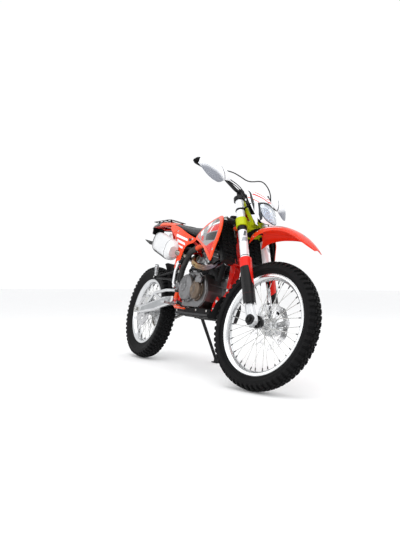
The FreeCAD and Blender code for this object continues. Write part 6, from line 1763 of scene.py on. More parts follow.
def frame_piece():
    mb = MB()
    # head tube with its bearing cups
    revolve(mb, [(24, 645), (29, 645), (32.5, 648), (32.5, 662), (29.5, 667), (29.5, 738), (32.5, 743), (32.5, 757), (29, 760), (24, 760)], PT, AX, 44, 0, loop=True)
    for s in (643.2, 758.6):
        revolve(mb, [(17, s), (31, s), (31, s + 3.2), (17, s + 3.2)], PT, AX, 40, 2, loop=True)
    plate(mb, [(1082, 936), (1046, 912), (1006, 862), (1046, 786), (1066, 800), (1062, 860)], -8, 8, 2.5, 0)
    # down tube, a box section that narrows towards the engine mounts
    p0, p1 = S(636, -51, 0), S(622, -92, 0)
    plate(mb, [(p0[0], p0[2]), (1112, 644), (1109, 500), (1070, 500), (1071, 636), (p1[0], p1[2])], -29, 29, 8, 0)
    for z in (656, 600, 545):
        sweep(mb, [v3(1068.5, -22, z), v3(1068.5, 22, z)], 1.6, 8, 1)
    rod(mb, S(722, -8, 0), S(655, -52, 0), 23, 2, 28, 0)
    ring_weld(mb, S(668, -43, 0), S(722, -8, 0) - S(655, -52, 0), 23.6)
    brick(mb, 1080, 1146, -52, 52, 668, 675, 1.5, 0)
    for sg in (1, -1):
        low = arcs([(1096, sg * 9, 524), (1082, sg * 34, 470), (1058, sg * 74, 380), (980, sg * 84, 366), (700, sg * 84, 366), (606, sg * 94, 380), (588, sg * 98, 440)], [40, 50, 50, 90, 50, 30][:5], 0.2)
        sweep(mb, low, 12.5, 20, 0)
        spar = arcs([S(672, -6, sg * 8), (985, sg * 80, 836), (790, sg * 98, 787), (664, sg * 100, 750), (604, sg * 100, 640), (588, sg * 100, 440)], [60, 120, 90, 60], 0.14)
        sweep(mb, spar, 17.0, 26, 3, flat=(0.86, 1.0), up=(0, 1, 0))
        ring_weld(mb, S(672, -6, sg * 18) * 0.86 + v3(985, sg * 80, 836) * 0.14, v3(985, sg * 80, 836) - S(672, -6, sg * 8), 16.5)
        # guard shells along the rear of the spar
        g = arcs([(742, sg * 99.5, 775), (664, sg * 101, 750), (604, sg * 101.6, 640), (590, sg * 101.6, 486)], [60, 80], 0.12)
        sweep(mb, g, 19.0, 26, 4, flat=(0.9, 1.06), up=(0, 1, 0), round_end=True)
        for q in (5, len(g) // 2, len(g) - 4):
            p = g[q]
            torus(mb, p, unit(g[min(q + 1, len(g) - 1)] - g[q - 1]), 18.6, 1.5, 26, 6, 4)
        # rear subframe
        sub = arcs([(760, sg * 92, 780), (560, sg * 84, 872), (340, sg * 74, 940), (100, sg * 58, 986), (-120, sg * 50, 1002)], [80, 120, 160], 0.1)
        sweep(mb, sub, 10.0, 18, 0)
        dia = arcs([(600, sg * 95, 600), (430, sg * 88, 760), (250, sg * 70, 952)], 120, 0.12)
        sweep(mb, dia, 9.0, 18, 0)
        ring_weld(mb, v3(744, sg * 91.4, 787.5), v3(-200, -8 * sg, 92), 10.6, 2.2)
        ring_weld(mb, v3(590, sg * 94.6, 609.5), v3(-170, -7 * sg, 160), 9.8, 2.2)
        y0, y1 = sorted((sg * 84, sg * 96))
        plate(mb, [(560, 400), (620, 392), (640, 440), (628, 520), (604, 560), (572, 520)], y0, y1, 3.0, 0)
        y0, y1 = sorted((sg * 84, sg * 94))
        plate(mb, [(600, 372), (700, 356), (706, 384), (660, 430), (612, 430)], y0, y1, 2.5, 0)
        plate(mb, [(1000, 372), (1062, 372), (1076, 452), (1040, 476), (1006, 430)], sg * 56 - 4, sg * 56 + 4, 1.5, 0)
        bolt(mb, (1044, sg * 60, 446), (0, sg, 0), 8.0, 6.0, 2)
        bolt(mb, (1022, sg * 60, 400), (0, sg, 0), 6.5, 5.0, 2)
        bolt(mb, (620, sg * 96, 412), (0, sg, 0), 5.5, 4.5, 2)
        # mount plate from the spar to the head of the engine
        plate(mb, [(930, 816), (966, 826), (952, 792), (930, 770), (908, 772), (900, 790)], sg * 80 - 3, sg * 80 + 3, 1.0, 0)
        bolt(mb, (922, sg * 83, 784), (0, sg, 0), 6.0, 5.0, 2)
    # gusset at the top of the down tube, with a bolt through it
    plate(mb, [(1086, 676), (1124, 684), (1140, 640), (1120, 560), (1108, 560), (1108, 640)], -32, -29.6, 0.8, 0)
    plate(mb, [(1086, 676), (1124, 684), (1140, 640), (1120, 560), (1108, 560), (1108, 640)], 29.6, 32, 0.8, 0)
    for sg in (-1, 1):
        bolt(mb, (1092, sg * 31, 520), (0, sg, 0), 7.5, 5.5, 2)
    rod(mb, (588, -99, 440), (588, 99, 440), 9.0, 1, 24, 2)
    for sg in (-1, 1):
        bolt(mb, (588, sg * 99, 440), (0, sg, 0), 12.0, 7.0, 2)
    rod(mb, (664, -98, 752), (664, 98, 752), 12.0, 1, 24, 0)
    for y0 in (-31, 21):
        plate(mb, [(650, 744), (678, 744), (660, 800), (626, 806), (622, 786)], y0, y0 + 10, 2.0, 0)
    rod(mb, (700, -84, 366), (700, 84, 366), 10.0, 1, 20, 0)
    rod(mb, (1040, -80, 372), (1040, 80, 372), 10.0, 1, 20, 0)
    rod(mb, (-118, -50, 1002), (-118, 50, 1002), 8.0, 1, 18, 0)
    rod(mb, (340, -74, 940), (340, 74, 940), 8.0, 1, 18, 0)
    # stand bracket
    sp, sa = v3(540, 134, 368), unit((-0.37, 0.91, 0.19))
    sweep(mb, arcs([(606, 88, 392), (575, 104, 380), sp - sa * 22], 12, 0.3), 10.0, 18, 0)
    rod(mb, sp - sa * 28, sp - sa * 8, 15.0, 1.2, 28, 0)
    rod(mb, sp - sa * 12, sp + sa * 13.5, 7.8, 1.0, 22, 2)
    ring_weld(mb, sp - sa * 27, sa, 13.5, 2.2)
    mb.obj("frame_tubes", [M["frame_red"], M["frame_red"], M["zinc"], M["frame_orange"], M["guard"]], "chassis", smooth=40, slot="red_frame", rep=("frame",))


frame_piece()


# ----------------------------------------------------------------- engine
def dome(mb, c, y0, sg, r, h, mat, bolts=8, rb=None, segs=56, ring=6.0, step=0.62):
    """Round engine cover standing out along Y, with its flange and bolts."""
    x, z = c
    prof = [(0, h * 0.94), (r * 0.30, h * 0.95), (r * 0.34, h), (r * step, h), (r * (step + 0.06), h * 0.90), (r * 0.86, h * 0.72), (r * 0.90, h * 0.5), (r * 0.91, h * 0.26), (r * 0.985, h * 0.22), (r, h * 0.16), (r, -1.0), (0, -1.0)]
    revolve(mb, [(a, b) for a, b in prof], (x, y0, z), (0, sg, 0), segs, mat)
    for k in range(bolts):
        a = 2 * math.pi * (k + 0.5) / bolts
        rr = rb or r * 0.955
        rod(mb, (x + rr * math.cos(a), y0, z + rr * math.sin(a)), (x + rr * math.cos(a), y0 + sg * h * 0.30, z + rr * math.sin(a)), ring, 1.0, 14, mat)
        bolt(mb, (x + rr * math.cos(a), y0 + sg * h * 0.30, z + rr * math.sin(a)), (0, sg, 0), 3.7, 3.4, 2, washer=False, socket=True)


M["cover_brown"] = m_metal("engine_cover_bronze", (0.15, 0.115, 0.088), 0.36, cast=0.10, var=0.30)


def crank_piece():
    mb = MB()
    case = [(715, 399), (930, 398), (985, 440), (1000, 500), (960, 575), (900, 612), (740, 612), (715, 560)]
    plate(mb, case, -112, 108, 7, 1)
    plate(mb, [(x + (3 if x > 850 else -3), z + (2 if z > 500 else -1.2)) for x, z in case], -3.4, 3.4, 1.2, 1)
    plate(mb, case, -118, -106, 4, 0)
    gear = [(624, 436), (646, 408), (740, 406), (740, 594), (664, 584), (628, 536)]
    plate(mb, gear, -76, 54, 8, 1)
    for x, z in ((735, 420), (800, 404), (870, 403), (930, 408), (978, 446), (992, 500), (955, 566), (905, 603), (840, 606), (760, 606)):
        rod(mb, (x, -117, z), (x, -113, z), 8, 1, 16, 0)
        rod(mb, (x, 105, z), (x, 112, z), 7.5, 1, 16, 1)
        bolt(mb, (x, 112, z), (0, 1, 0), 4.0, 3.4, 2, washer=False, socket=True)
    # cooling and stiffening ribs on the case
    for k in range(5):
        x = 742 + k * 46
        brick(mb, x, x + 5, -111, 104, 396.2, 400, 1.0, 1)
    for k in range(4):
        z = 440 + k * 34
        sweep(mb, [v3(984 + k * 4 - (k > 2) * 12, -90, z), v3(984 + k * 4 - (k > 2) * 12, 90, z)], 3.0, 8, 1)
    # clutch cover, ignition cover, kick starter boss
    dome(mb, (784, 513), -117, -1, 91.5, 48.5, 0, 9)
    revolve(mb, [(0, 1.2), (26, 1.2), (29, 0.4), (30, -2), (0, -2)], (784, -165.5, 513), (0, -1, 0), 40, 0)
    for k in range(3):
        a = 0.5 + 2 * math.pi * k / 3
        bolt(mb, (784 + 21 * math.cos(a), -166.4, 513 + 21 * math.sin(a)), (0, -1, 0), 3.4, 2.4, 2, washer=False, socket=True)
    dome(mb, (900, 500), -117, -1, 65.5, 40.5, 3, 6, step=0.5)
    revolve(mb, [(0, 49), (21, 49), (25.5, 45), (25.5, -2), (0, -2)], (694, -117, 513), (0, -1, 0), 36, 0)
    plate(mb, [(664, 560), (720, 588), (740, 560), (738, 468), (706, 452), (668, 474), (656, 510)], -113, -104, 3, 0)
    # oil filler, level window and drain
    revolve(mb, [(0, 14), (9, 14), (12, 11), (14, 10), (14, 3), (16, 0), (0, 0)], (846, -124, 575), (0, -0.86, 0.5), 10, 4)
    bolt(mb, (860, -20, 399), (0, 0, -1), 10, 5, 2)
    # left side: generator cover, sprocket cover, clutch slave
    dome(mb, (860, 500), 106, 1, 77.5, 43.5, 0, 7)
    dome(mb, (770, 470), 107, 1, 39.5, 28.5, 0, 4)
    rod(mb, (655, 50, 462), (655, 86, 462), 11.8, 1, 26, 2)
    bolt(mb, (655, 82, 462), (0, 1, 0), 13, 5.5, 2)
    guard = [(640, 505), (700, 520), (722, 500), (722, 430), (700, 412), (668, 420), (690, 440), (694, 462), (684, 486), (662, 494)]
    for y0, y1 in ((84.5, 90.5),):
        plate(mb, [(690, 412), (716, 420), (722, 500), (700, 520), (652, 512), (656, 502), (684, 494), (698, 470), (696, 440)], y0, y1, 1.5, 4)
    for x, z in ((708, 430), (708, 508), (662, 507)):
        bolt(mb, (x, 90.5, z), (0, 1, 0), 3.8, 3.6, 2)
        rod(mb, (x, 52, z), (x, 85, z), 5, 0.5, 12, 1)
    # water pump housing and its pipes, at the front right
    revolve(mb, [(0, 26), (14, 26), (20, 22), (28, 12), (33, 9), (33, 0), (0, 0)], (918, -128, 562), (0, -1, 0), 36, 0)
    rod(mb, (918, -148, 562), (950, -140, 590), 11.0, 1.0, 22, 0)
    torus(mb, (947, -141, 587), (32, 8, 28), 12.0, 1.6, 24, 6, 0)
    for k in range(4):
        a = 0.4 + 2 * math.pi * k / 4
        bolt(mb, (918 + 30 * math.cos(a), -136, 562 + 30 * math.sin(a)), (0, -1, 0), 3.2, 3.0, 2, washer=False, socket=True)
    # starter motor behind the cylinder
    rod(mb, (748, -58, 640), (748, 52, 640), 27.0, 3.0, 34, 4)
    rod(mb, (748, 52, 640), (748, 62, 640), 22.0, 2.0, 30, 2)
    for q in (-40, 38):
        torus(mb, (748, q, 640), (0, 1, 0), 27.2, 1.4, 34, 6, 2)
    plate(mb, [(728, 606), (768, 606), (764, 632), (732, 632)], -20, 8, 3, 1)
    # breather stub and hoses over the right cover
    mb.obj("engine_cases", [M["cover"], M["alloy_dark"], M["steel"], M["cover_brown"], M["satin_black"]], "chassis", smooth=38, slot="silver_alloy", rep=("crankcase",))
    mb = MB()
    sweep(mb, arcs([(950, -140, 590), (975, -132, 615), (1010, -118, 632), (1062, -104, 600), (1082, -96, 560)], 40, 0.2), 13.0, 20, 0)
    for p, d in (((956, -138, 596), (0.6, 0.2, 0.6)),):
        torus(mb, p, d, 13.4, 1.5, 24, 6, 1)
    sweep(mb, catmull([(722, -92, 604), (742, -116, 622), (790, -126, 632), (838, -124, 628), (868, -112, 640), (874, -92, 664)], 8), 7.0, 16, 0)
    sweep(mb, catmull([(706, -60, 590), (720, -96, 640), (760, -112, 652), (812, -108, 650), (850, -92, 676)], 8), 5.0, 14, 0)
    mb.obj("engine_hoses", [M["rubber"], M["steel"]], "chassis", smooth=50, slot="rubber")


crank_piece()


CYL_AX = unit((0.20, 0, 0.98))
CYL_0 = v3(884, 0, 600)
CYL_U = unit(v3(0.98, 0, -0.20))


def cyl_pt(u, y, h):
    return CYL_0 + CYL_U * u + CYL_AX * h + v3(0, y, 0)


def cyl_box(mb, u0, u1, y0, y1, h0, h1, ch, mat):
    slab(mb, [(u0, h0), (u1, h0), (u1, h1), (u0, h1)], CYL_0, CYL_U, CYL_AX, -y0, -y1, ch, mat)


def cylinder_piece():
    mb = MB()
    revolve(mb, [(0, 13), (55.5, 13), (55.5, 128), (0, 128)], CYL_0, CYL_AX, 48, 0)
    for k in range(8):
        h = 22 + k * 13.5
        n = 36
        pts = []
        for i in range(n):
            a = 2 * math.pi * i / n
            e = 0.72
            pts.append((69.0 * math.copysign(abs(math.cos(a)) ** e, math.cos(a)), 68.0 * math.copysign(abs(math.sin(a)) ** e, math.sin(a))))
        slab(mb, pts, cyl_pt(0, 0, h), CYL_U, (0, 1, 0), 0, 4.2 if np.dot(np.cross(CYL_U, (0, 1, 0)), CYL_AX) > 0 else -4.2, 1.2, 0)
    for u in (-46, 46):
        for y in (-46, 46):
            rod(mb, cyl_pt(u, y, 14), cyl_pt(u, y, 128), 9.5, 1, 16, 0)
    # head: lower block with side fins, camshaft cover and plug well
    cyl_box(mb, -69, 69, -67, 67, 128, 158, 5, 0)
    cyl_box(mb, -69.6, 69.6, -67.6, 67.6, 126.6, 130, 1, 1)
    for k in range(4):
        cyl_box(mb, -70, 70, -68, 68, 134 + k * 7.5, 137 + k * 7.5, 0.8, 0)
    cyl_box(mb, -62, 62, -64, 64, 158, 174, 6, 0)
    cyl_box(mb, -55, 55, -61, 61, 172, 204, 10, 2)
    cyl_box(mb, -22, 22, -62, 62, 176, 206.5, 8, 2)
    for k in range(5):
        cyl_box(mb, -50, 50, -44 + k * 20, -40 + k * 20, 200, 206.5, 1.2, 2)
    for u in (-48, 48):
        for y in (-54, 0, 54):
            bolt(mb, cyl_pt(u, y, 203), CYL_AX, 5.0, 4.0, 3)
    for sg in (-1, 1):
        revolve(mb, [(0, 3), (17, 3), (20, 0), (26, -1), (29, -3), (29, -10), (0, -10)], cyl_pt(0, sg * 62, 188), (0, sg, 0), 34, 2)
        for k in range(3):
            a = 0.5 + 2 * math.pi * k / 3
            bolt(mb, cyl_pt(23 * math.cos(a), sg * 61, 188 + 23 * math.sin(a)), (0, sg, 0), 3.2, 2.2, 3, washer=False, socket=True)
        for u in (-56, 56):
            bolt(mb, cyl_pt(u, sg * 67, 148), (0, sg, 0), 4.2, 3.0, 3, washer=False, socket=True)
    # plug cap in its well, on the right
    rod(mb, cyl_pt(30, -56, 170), cyl_pt(34, -78, 186), 9, 1.5, 20, 4)
    torus(mb, cyl_pt(31.5, -64, 176), cyl_pt(34, -78, 186) - cyl_pt(30, -56, 170), 9.4, 1.2, 20, 6, 4)
    # exhaust flange
    rod(mb, cyl_pt(66, -24, 138), cyl_pt(80, -26, 137), 31, 2, 34, 0)
    for sg in (-1, 1):
        bolt(mb, cyl_pt(76, -24 + sg * 27, 137), CYL_U, 4.5, 9, 3)
    # carburettor with its float bowl, slide and boots
    c0, c1 = cyl_pt(-66, 0, 146), v3(752, 0, 738)
    rod(mb, c0, c1, 25, 2, 30, 4)
    torus(mb, c0 + (c1 - c0) * 0.30, c1 - c0, 25.6, 1.8, 30, 6, 3)
    rod(mb, v3(792, 0, 741), v3(738, 0, 736), 31, 3, 34, 5)
    rod(mb, v3(766, 0, 716), v3(768, 0, 690), 27, 5, 30, 5)
    rod(mb, v3(768, 0, 690), v3(768.6, 0, 682), 12, 1, 6, 3)
    rod(mb, v3(765, 0, 752), v3(762, 0, 790), 17, 2, 26, 5)
    revolve(mb, [(0, 12), (18, 12), (20, 10), (20, 0), (0, 0)], v3(762, 0, 786), (-0.06, 0, 1), 26, 4)
    revolve(mb, [(0, 9), (20, 9), (24, 6), (24, 0), (0, 0)], v3(766, -30, 740), (0, -1, 0), 28, 5)
    for k in range(3):
        a = 2 * math.pi * k / 3 + 0.4
        bolt(mb, v3(766 + 20 * math.cos(a), -38, 740 + 20 * math.sin(a)), (0, -1, 0), 2.6, 1.8, 3, washer=False)
    boot = catmull([(740, 0, 736), (716, 10, 742), (690, 40, 752), (650, 66, 770), (606, 68, 796), (566, 56, 820)], 7)
    rr = [29 + (2.2 if i % 3 == 0 else 0) for i in range(len(boot))]
    sweep(mb, boot, rr, 24, 4)
    torus(mb, v3(735, 2, 737), (1, -0.3, -0.1), 30.5, 1.8, 30, 6, 3)
    mb.obj("cylinder_head", [M["cyl_black"], M["steel"], M["satin_black"], M["zinc"], M["rubber"], M["alloy"]], "chassis", smooth=36, slot="black_alloy", rep=("cylinder",))


M["cyl_black"] = m_metal("cylinder_coating", (0.055, 0.056, 0.058), 0.42, cast=0.10, var=0.35)
cylinder_piece()


# ---------------------------------------------------------------- exhaust
def exhaust():
    mb = MB()
    hp = [(978, -22, 735), (1018, -34, 735), (1046, -60, 700), (1030, -112, 648), (985, -146, 628), (900, -150, 640), (826, -144, 664), (765, -108, 700), (712, -66, 728)]
    line = arcs(hp, [30, 45, 45, 45, 70, 70, 60], 0.10)
    sweep(mb, line, 17.8, 30, 0)
    for i in (len(line) // 3, len(line) * 2 // 3):
        torus(mb, line[i], line[i + 1] - line[i - 1], 18.0, 1.0, 32, 6, 0)
    revolve(mb, [(17, 0), (28.5, 0), (28.5, 5), (24, 7), (24, 16), (20, 20), (17, 20)], (972, -22, 735), (1, 0, 0), 34, 1, loop=True)
    # springs that hold the header in its flange
    for sg in (-1, 1):
        a, b = v3(982, -22 + sg * 25, 735 + sg * 8), v3(1014, -34 + sg * 21, 734 + sg * 8)
        helix(mb, a, b, 4.0, 1.1, 8, 1, 6, 8)
    mb.obj("header_pipe", [M["header"], M["steel"]], "chassis", smooth=50, slot="header_steel", rep=("exhaust_header",))


exhaust()

MF0, MF1 = v3(548, -156, 742), v3(240, -157, 838)
MFD = unit(MF1 - MF0)
MFZ = unit(v3(0, 0, 1) - MFD * MFD[2])
MFY = unit(np.cross(MFZ, MFD))


def can_ring(x, w, h, cy=0.0, cz=0.0, n=56, e=0.72):
    out = []
    for k in range(n):
        a = 2 * math.pi * k / n
        ca, sa = math.cos(a), math.sin(a)
        out.append(MF0 + MFD * x + MFY * (cy + w * math.copysign(abs(ca) ** e, ca)) + MFZ * (cz + h * math.copysign(abs(sa) ** e, sa)))
    return out


def loft_rings(mb, rings, mat, cap=True, mats=None):
    m = len(rings[0])
    verts = np.concatenate([np.array(r) for r in rings])
    faces = ring_faces(len(rings), m)
    if cap:
        faces.append(tuple(range(m)))
        faces.append(tuple(range((len(rings) - 1) * m, len(rings) * m)))
    mb.add(verts, faces, mat)


def muffler():
    mb = MB()
    loft_rings(mb, [can_ring(*r) for r in ((0, 30, 36, 10), (3, 31.5, 37.5, 10), (28, 46, 60, 4), (54, 50.6, 68.6), (57, 51.4, 69.4))], 0)
    loft_rings(mb, [can_ring(x, 51.2 + d, 69.2 + d) for x, d in ((56, -0.5), (57, 0), (287, 0), (288, -0.5))], 0)
    for x in (60, 280):
        loft_rings(mb, [can_ring(x + dx, 51.3 + d, 69.3 + d) for dx, d in ((-3.2, -0.2), (-2.4, 0.5), (2.4, 0.5), (3.2, -0.2))], 1)
    loft_rings(mb, [can_ring(*r) for r in ((287, 51.4, 69.4), (291, 51.2, 69.2), (304, 47.5, 63.5), (310, 44.5, 59.5), (320, 32.6, 40.6), (321.6, 31, 39))], 2)
    out_c = MF0 + MFD * 300
    revolve(mb, [(20.5, 0), (23, 0), (23, 27), (21.8, 28.2), (20.5, 27)], out_c, MFD, 34, 3, loop=True)
    # dark strip along the lower edge and outer face
    n = 56
    for x0, x1, k0, k1, dd in ((60, 276, 34, 49, 2.0),):
        grid = []
        for x in frange(x0, x1, 12.0):
            row = []
            for k in range(k0, k1 + 1):
                a = 2 * math.pi * k / n
                ca, sa = math.cos(a), math.sin(a)
                row.append(MF0 + MFD * x + MFY * ((51.2 + dd) * math.copysign(abs(ca) ** 0.72, ca)) + MFZ * ((69.2 + dd) * math.copysign(abs(sa) ** 0.72, sa)))
            grid.append(row)
        shell(mb, grid, 1.8, 2)
    # clamp, bracket, link pipe and rivets
    link = arcs([(711.8, -65.8, 728.1), (660, -60, 714), (606, -62, 714), (566, -124, 738), (520, -156, 752)], 40, 0.12)
    sweep(mb, link, 16.8, 28, 4)
    a, b = v3(700, -64.5, 725), v3(672, -61.3, 717.5)
    revolve(mb, [(17, 0), (20.4, 0), (20.8, 1), (20.8, np.linalg.norm(b - a) - 1), (20.4, np.linalg.norm(b - a)), (17, np.linalg.norm(b - a))], a, b - a, 30, 3, loop=True)
    bolt(mb, v3(686, -62.5, 742), (0, -1, 0), 4.5, 7.0, 3)
    for x in (66, 274):
        for k in range(14):
            a = 2 * math.pi * (k + 0.5) / 14
            ca, sa = math.cos(a), math.sin(a)
            p = MF0 + MFD * x + MFY * (51.3 * math.copysign(abs(ca) ** 0.72, ca)) + MFZ * (69.3 * math.copysign(abs(sa) ** 0.72, sa))
            d = unit(MFY * ca / 51.0 + MFZ * sa / 69.0)
            revolve(mb, [(0, 1.6), (1.8, 1.2), (2.6, 0), (0, 0)], p, d, 10, 3)
    slab(mb, [(150, 60), (196, 60), (186, 92), (160, 92)], MF0, MFD, MFZ, 8, 14, 1.5, 3)
    bolt(mb, MF0 + MFD * 173 + MFZ * 82 + MFY * (-14), -MFY, 5.0, 4.0, 3)
    mb.obj("muffler_can", [M["muffler"], M["alloy_dark"], M["can_cap"], M["steel"], M["header"]], "chassis", smooth=42, slot="bright_alloy", rep=("muffler",))


M["can_cap"] = m_plastic("muffler_end_cap", (0.030, 0.031, 0.033), 0.42, grain=0.25, coat=0.1)
muffler()


# --------------------------------------------------------------- swing arm
def swing():
    mb = MB()
    for sg in (1, -1):
        y0, y1 = (84, 112) if sg > 0 else (-112, -84)
        beam = [(-46, 322), (40, 318), (170, 333), (300, 352), (420, 378), (540, 402), (540, 456), (470, 451), (400, 446), (280, 420), (170, 395), (60, 372), (-46, 370)]
        plate(mb, beam, y0, y1, 5, 0)
        # pressed-in panel on the outside of the beam
        inner = [(70, 334), (290, 362), (410, 388), (500, 408), (500, 440), (400, 434), (290, 410), (74, 362)]
        t0 = y1 if sg > 0 else y0
        plate(mb, inner, *sorted((t0 - sg * 1.0, t0 + sg * 0.5)), 0.5, 5)
        a, b = sorted((sg * 40, sg * 112))
        plate(mb, [(490, 404), (556, 422), (556, 456), (500, 452), (490, 450)], a, b, 4, 0)
        sweep(mb, arcs([(150, sg * 98, 400), (226, sg * 98, 470), (400, sg * 92, 496), (500, sg * 70, 500)], [30, 100], 0.15), 11.0, 20, 0)
        sweep(mb, [v3(232, sg * 98, 466), v3(392, sg * 98, 425)], 9.0, 18, 0)
        ring_weld(mb, v3(232, sg * 98, 466), v3(160, 0, -41), 9.6, 2.2, 0)
        ring_weld(mb, v3(388, sg * 98, 430), v3(160, 0, -41), 9.4, 2.4, 0)
        ring_weld(mb, v3(160, sg * 98, 409), v3(76, 0, 70), 11.4, 2.4, 0)
        # axle slot with its adjuster block, lock bolt and end cap
        yo = sg * 112
        plate(mb, [(-40, 331), (34, 331), (34, 357), (-40, 357)], *sorted((yo - sg * 2, yo + sg * 2.2)), 1.2, 1)
        for k in range(5):
            xx = -30 + k * 12
            brick(mb, xx, xx + 1.2, *sorted((yo + sg * 2.0, yo + sg * 2.7)), 351, 356, 0.2, 4)
        plate(mb, [(-52, 320), (-45, 318), (-45, 372), (-52, 370)], y0 - 1, y1 + 1, 2, 1)
        rod(mb, (-49, sg * 98, 346), (-64, sg * 98, 346), 4.4, 0.5, 14, 2)
        bolt(mb, (-52, sg * 98, 346), (-1, 0, 0), 6.2, 5.0, 2)
        bolt(mb, (556, sg * 98, 440), (0.3, sg, 0), 5.0, 2.0, 2, washer=False)
    plate(mb, [(440, 402), (500, 402), (500, 450), (440, 450)], -112, 112, 6, 0)
    rod(mb, (500, -78, 500), (500, 78, 500), 12.0, 1, 24, 0)
    plate(mb, [(478, 440), (524, 440), (512, 508), (488, 508)], -30, 30, 4, 0)
    for a, b in ((-60, -36), (34, 58)):
        plate(mb, [(540, 412), (600, 412), (600, 468), (540, 468)], a, b, 7, 0)
        revolve(mb, [(9.2, a - 0.2), (24, a - 0.2), (24, b + 0.2), (9.2, b + 0.2)], (588, 0, 440), (0, 1, 0), 34, 0, loop=True)
    for sg in (-1, 1):
        rod(mb, (500, sg * 78, 500), (500, sg * 82, 500), 8, 1, 6, 2)
    # chain slider over the left beam and the guide in front of the sprocket
    plate(mb, [(300, 424), (540, 462), (556, 462), (560, 452), (548, 410), (540, 398), (420, 372), (420, 378.5), (536, 405), (541, 455), (420, 450.5), (300, 420)], 64, 96, 2, 3)
    plate(mb, [(150, 300), (226, 318), (232, 346), (222, 352), (160, 338), (140, 322)], 55, 59.5, 1.5, 3)
    plate(mb, [(150, 300), (226, 318), (232, 346), (222, 352), (160, 338), (140, 322)], 80.5, 85, 1.5, 3)
    plate(mb, [(150, 300), (226, 318), (228, 324), (148, 306)], 55, 85, 1.2, 3)
    for x, z in ((168, 326), (214, 338)):
        bolt(mb, (x, 85, z), (0, 1, 0), 4.0, 3.0, 2)
    # brake hose clips on the right beam
    for x, z in ((420, 452), (250, 416), (150, 392)):
        plate(mb, [(x - 6, z - 6), (x + 6, z - 6), (x + 6, z + 8), (x - 6, z + 8)], -104, -98, 1.0, 3)
    mb.obj("swing_arm_truss", [M["arm"], M["zinc"], M["steel"], M["black"], M["satin_black"], M["arm_panel"]], "chassis", smooth=36, slot="silver_alloy", rep=("swing_arm",))


M["arm"] = m_metal("swing_arm_alloy", (0.66, 0.67, 0.68), 0.30, brush=(1.0, 6.0, 30.0), var=0.18)
M["arm_panel"] = m_metal("swing_arm_panel", (0.40, 0.41, 0.42), 0.42, cast=0.15, var=0.2)
swing()


def shock():
    mb = MB()
    a, b = v3(560, 0, 520), v3(640, 0, 790)
    d = unit(b - a)
    L = np.linalg.norm(b - a)
    for p in (a, b):
        revolve(mb, [(8, -19), (14, -19), (15, -17), (15, 17), (14, 19), (8, 19)], p, (0, 1, 0), 28, 1, loop=True)
        rod(mb, p + v3(0, -21, 0), p + v3(0, 21, 0), 7.8, 0.8, 20, 2)
    rod(mb, a + d * 10, a + d * 60, 12, 2, 24, 1)
    rod(mb, a + d * 36, a + d * 200, 8.8, 1, 24, 3)
    revolve(mb, [(9, 34), (37.5, 34), (38, 35), (38, 41), (36, 42), (30, 42), (28, 48), (9, 48)], a, d, 40, 1, loop=True)
    rod(mb, a + d * 52, a + d * 78, 19, 5, 26, 4)
    rod(mb, a + d * 110, a + d * 262, 25.6, 2, 34, 1)
    revolve(mb, [(25, 188), (37.5, 188), (38, 189), (38, 195), (37, 196), (25, 196)], a, d, 12, 2, loop=True)
    revolve(mb, [(25, 197), (33, 197), (33, 204), (25, 204)], a, d, 12, 2, loop=True)
    helix(mb, a + d * 46, a + d * 184, 30.0, 4.6, 6.6, 0, 12, 26)
    # reservoir beside the top of the body
    rod(mb, b + v3(40, 6, -14), b + v3(24, 8, -96), 20.5, 3, 30, 1)
    rod(mb, b - d * 20, b + v3(36, 6, -20), 10, 1, 20, 1)
    bolt(mb, b + v3(40, 6, -14), v3(16, -2, 82), 6, 4, 2)
    mb.obj("shock_absorber", [M["white"], M["alloy"], M["steel"], M["polished"], M["rubber"]], "chassis", smooth=42, slot="steel", rep=("rear_shock",))


shock()


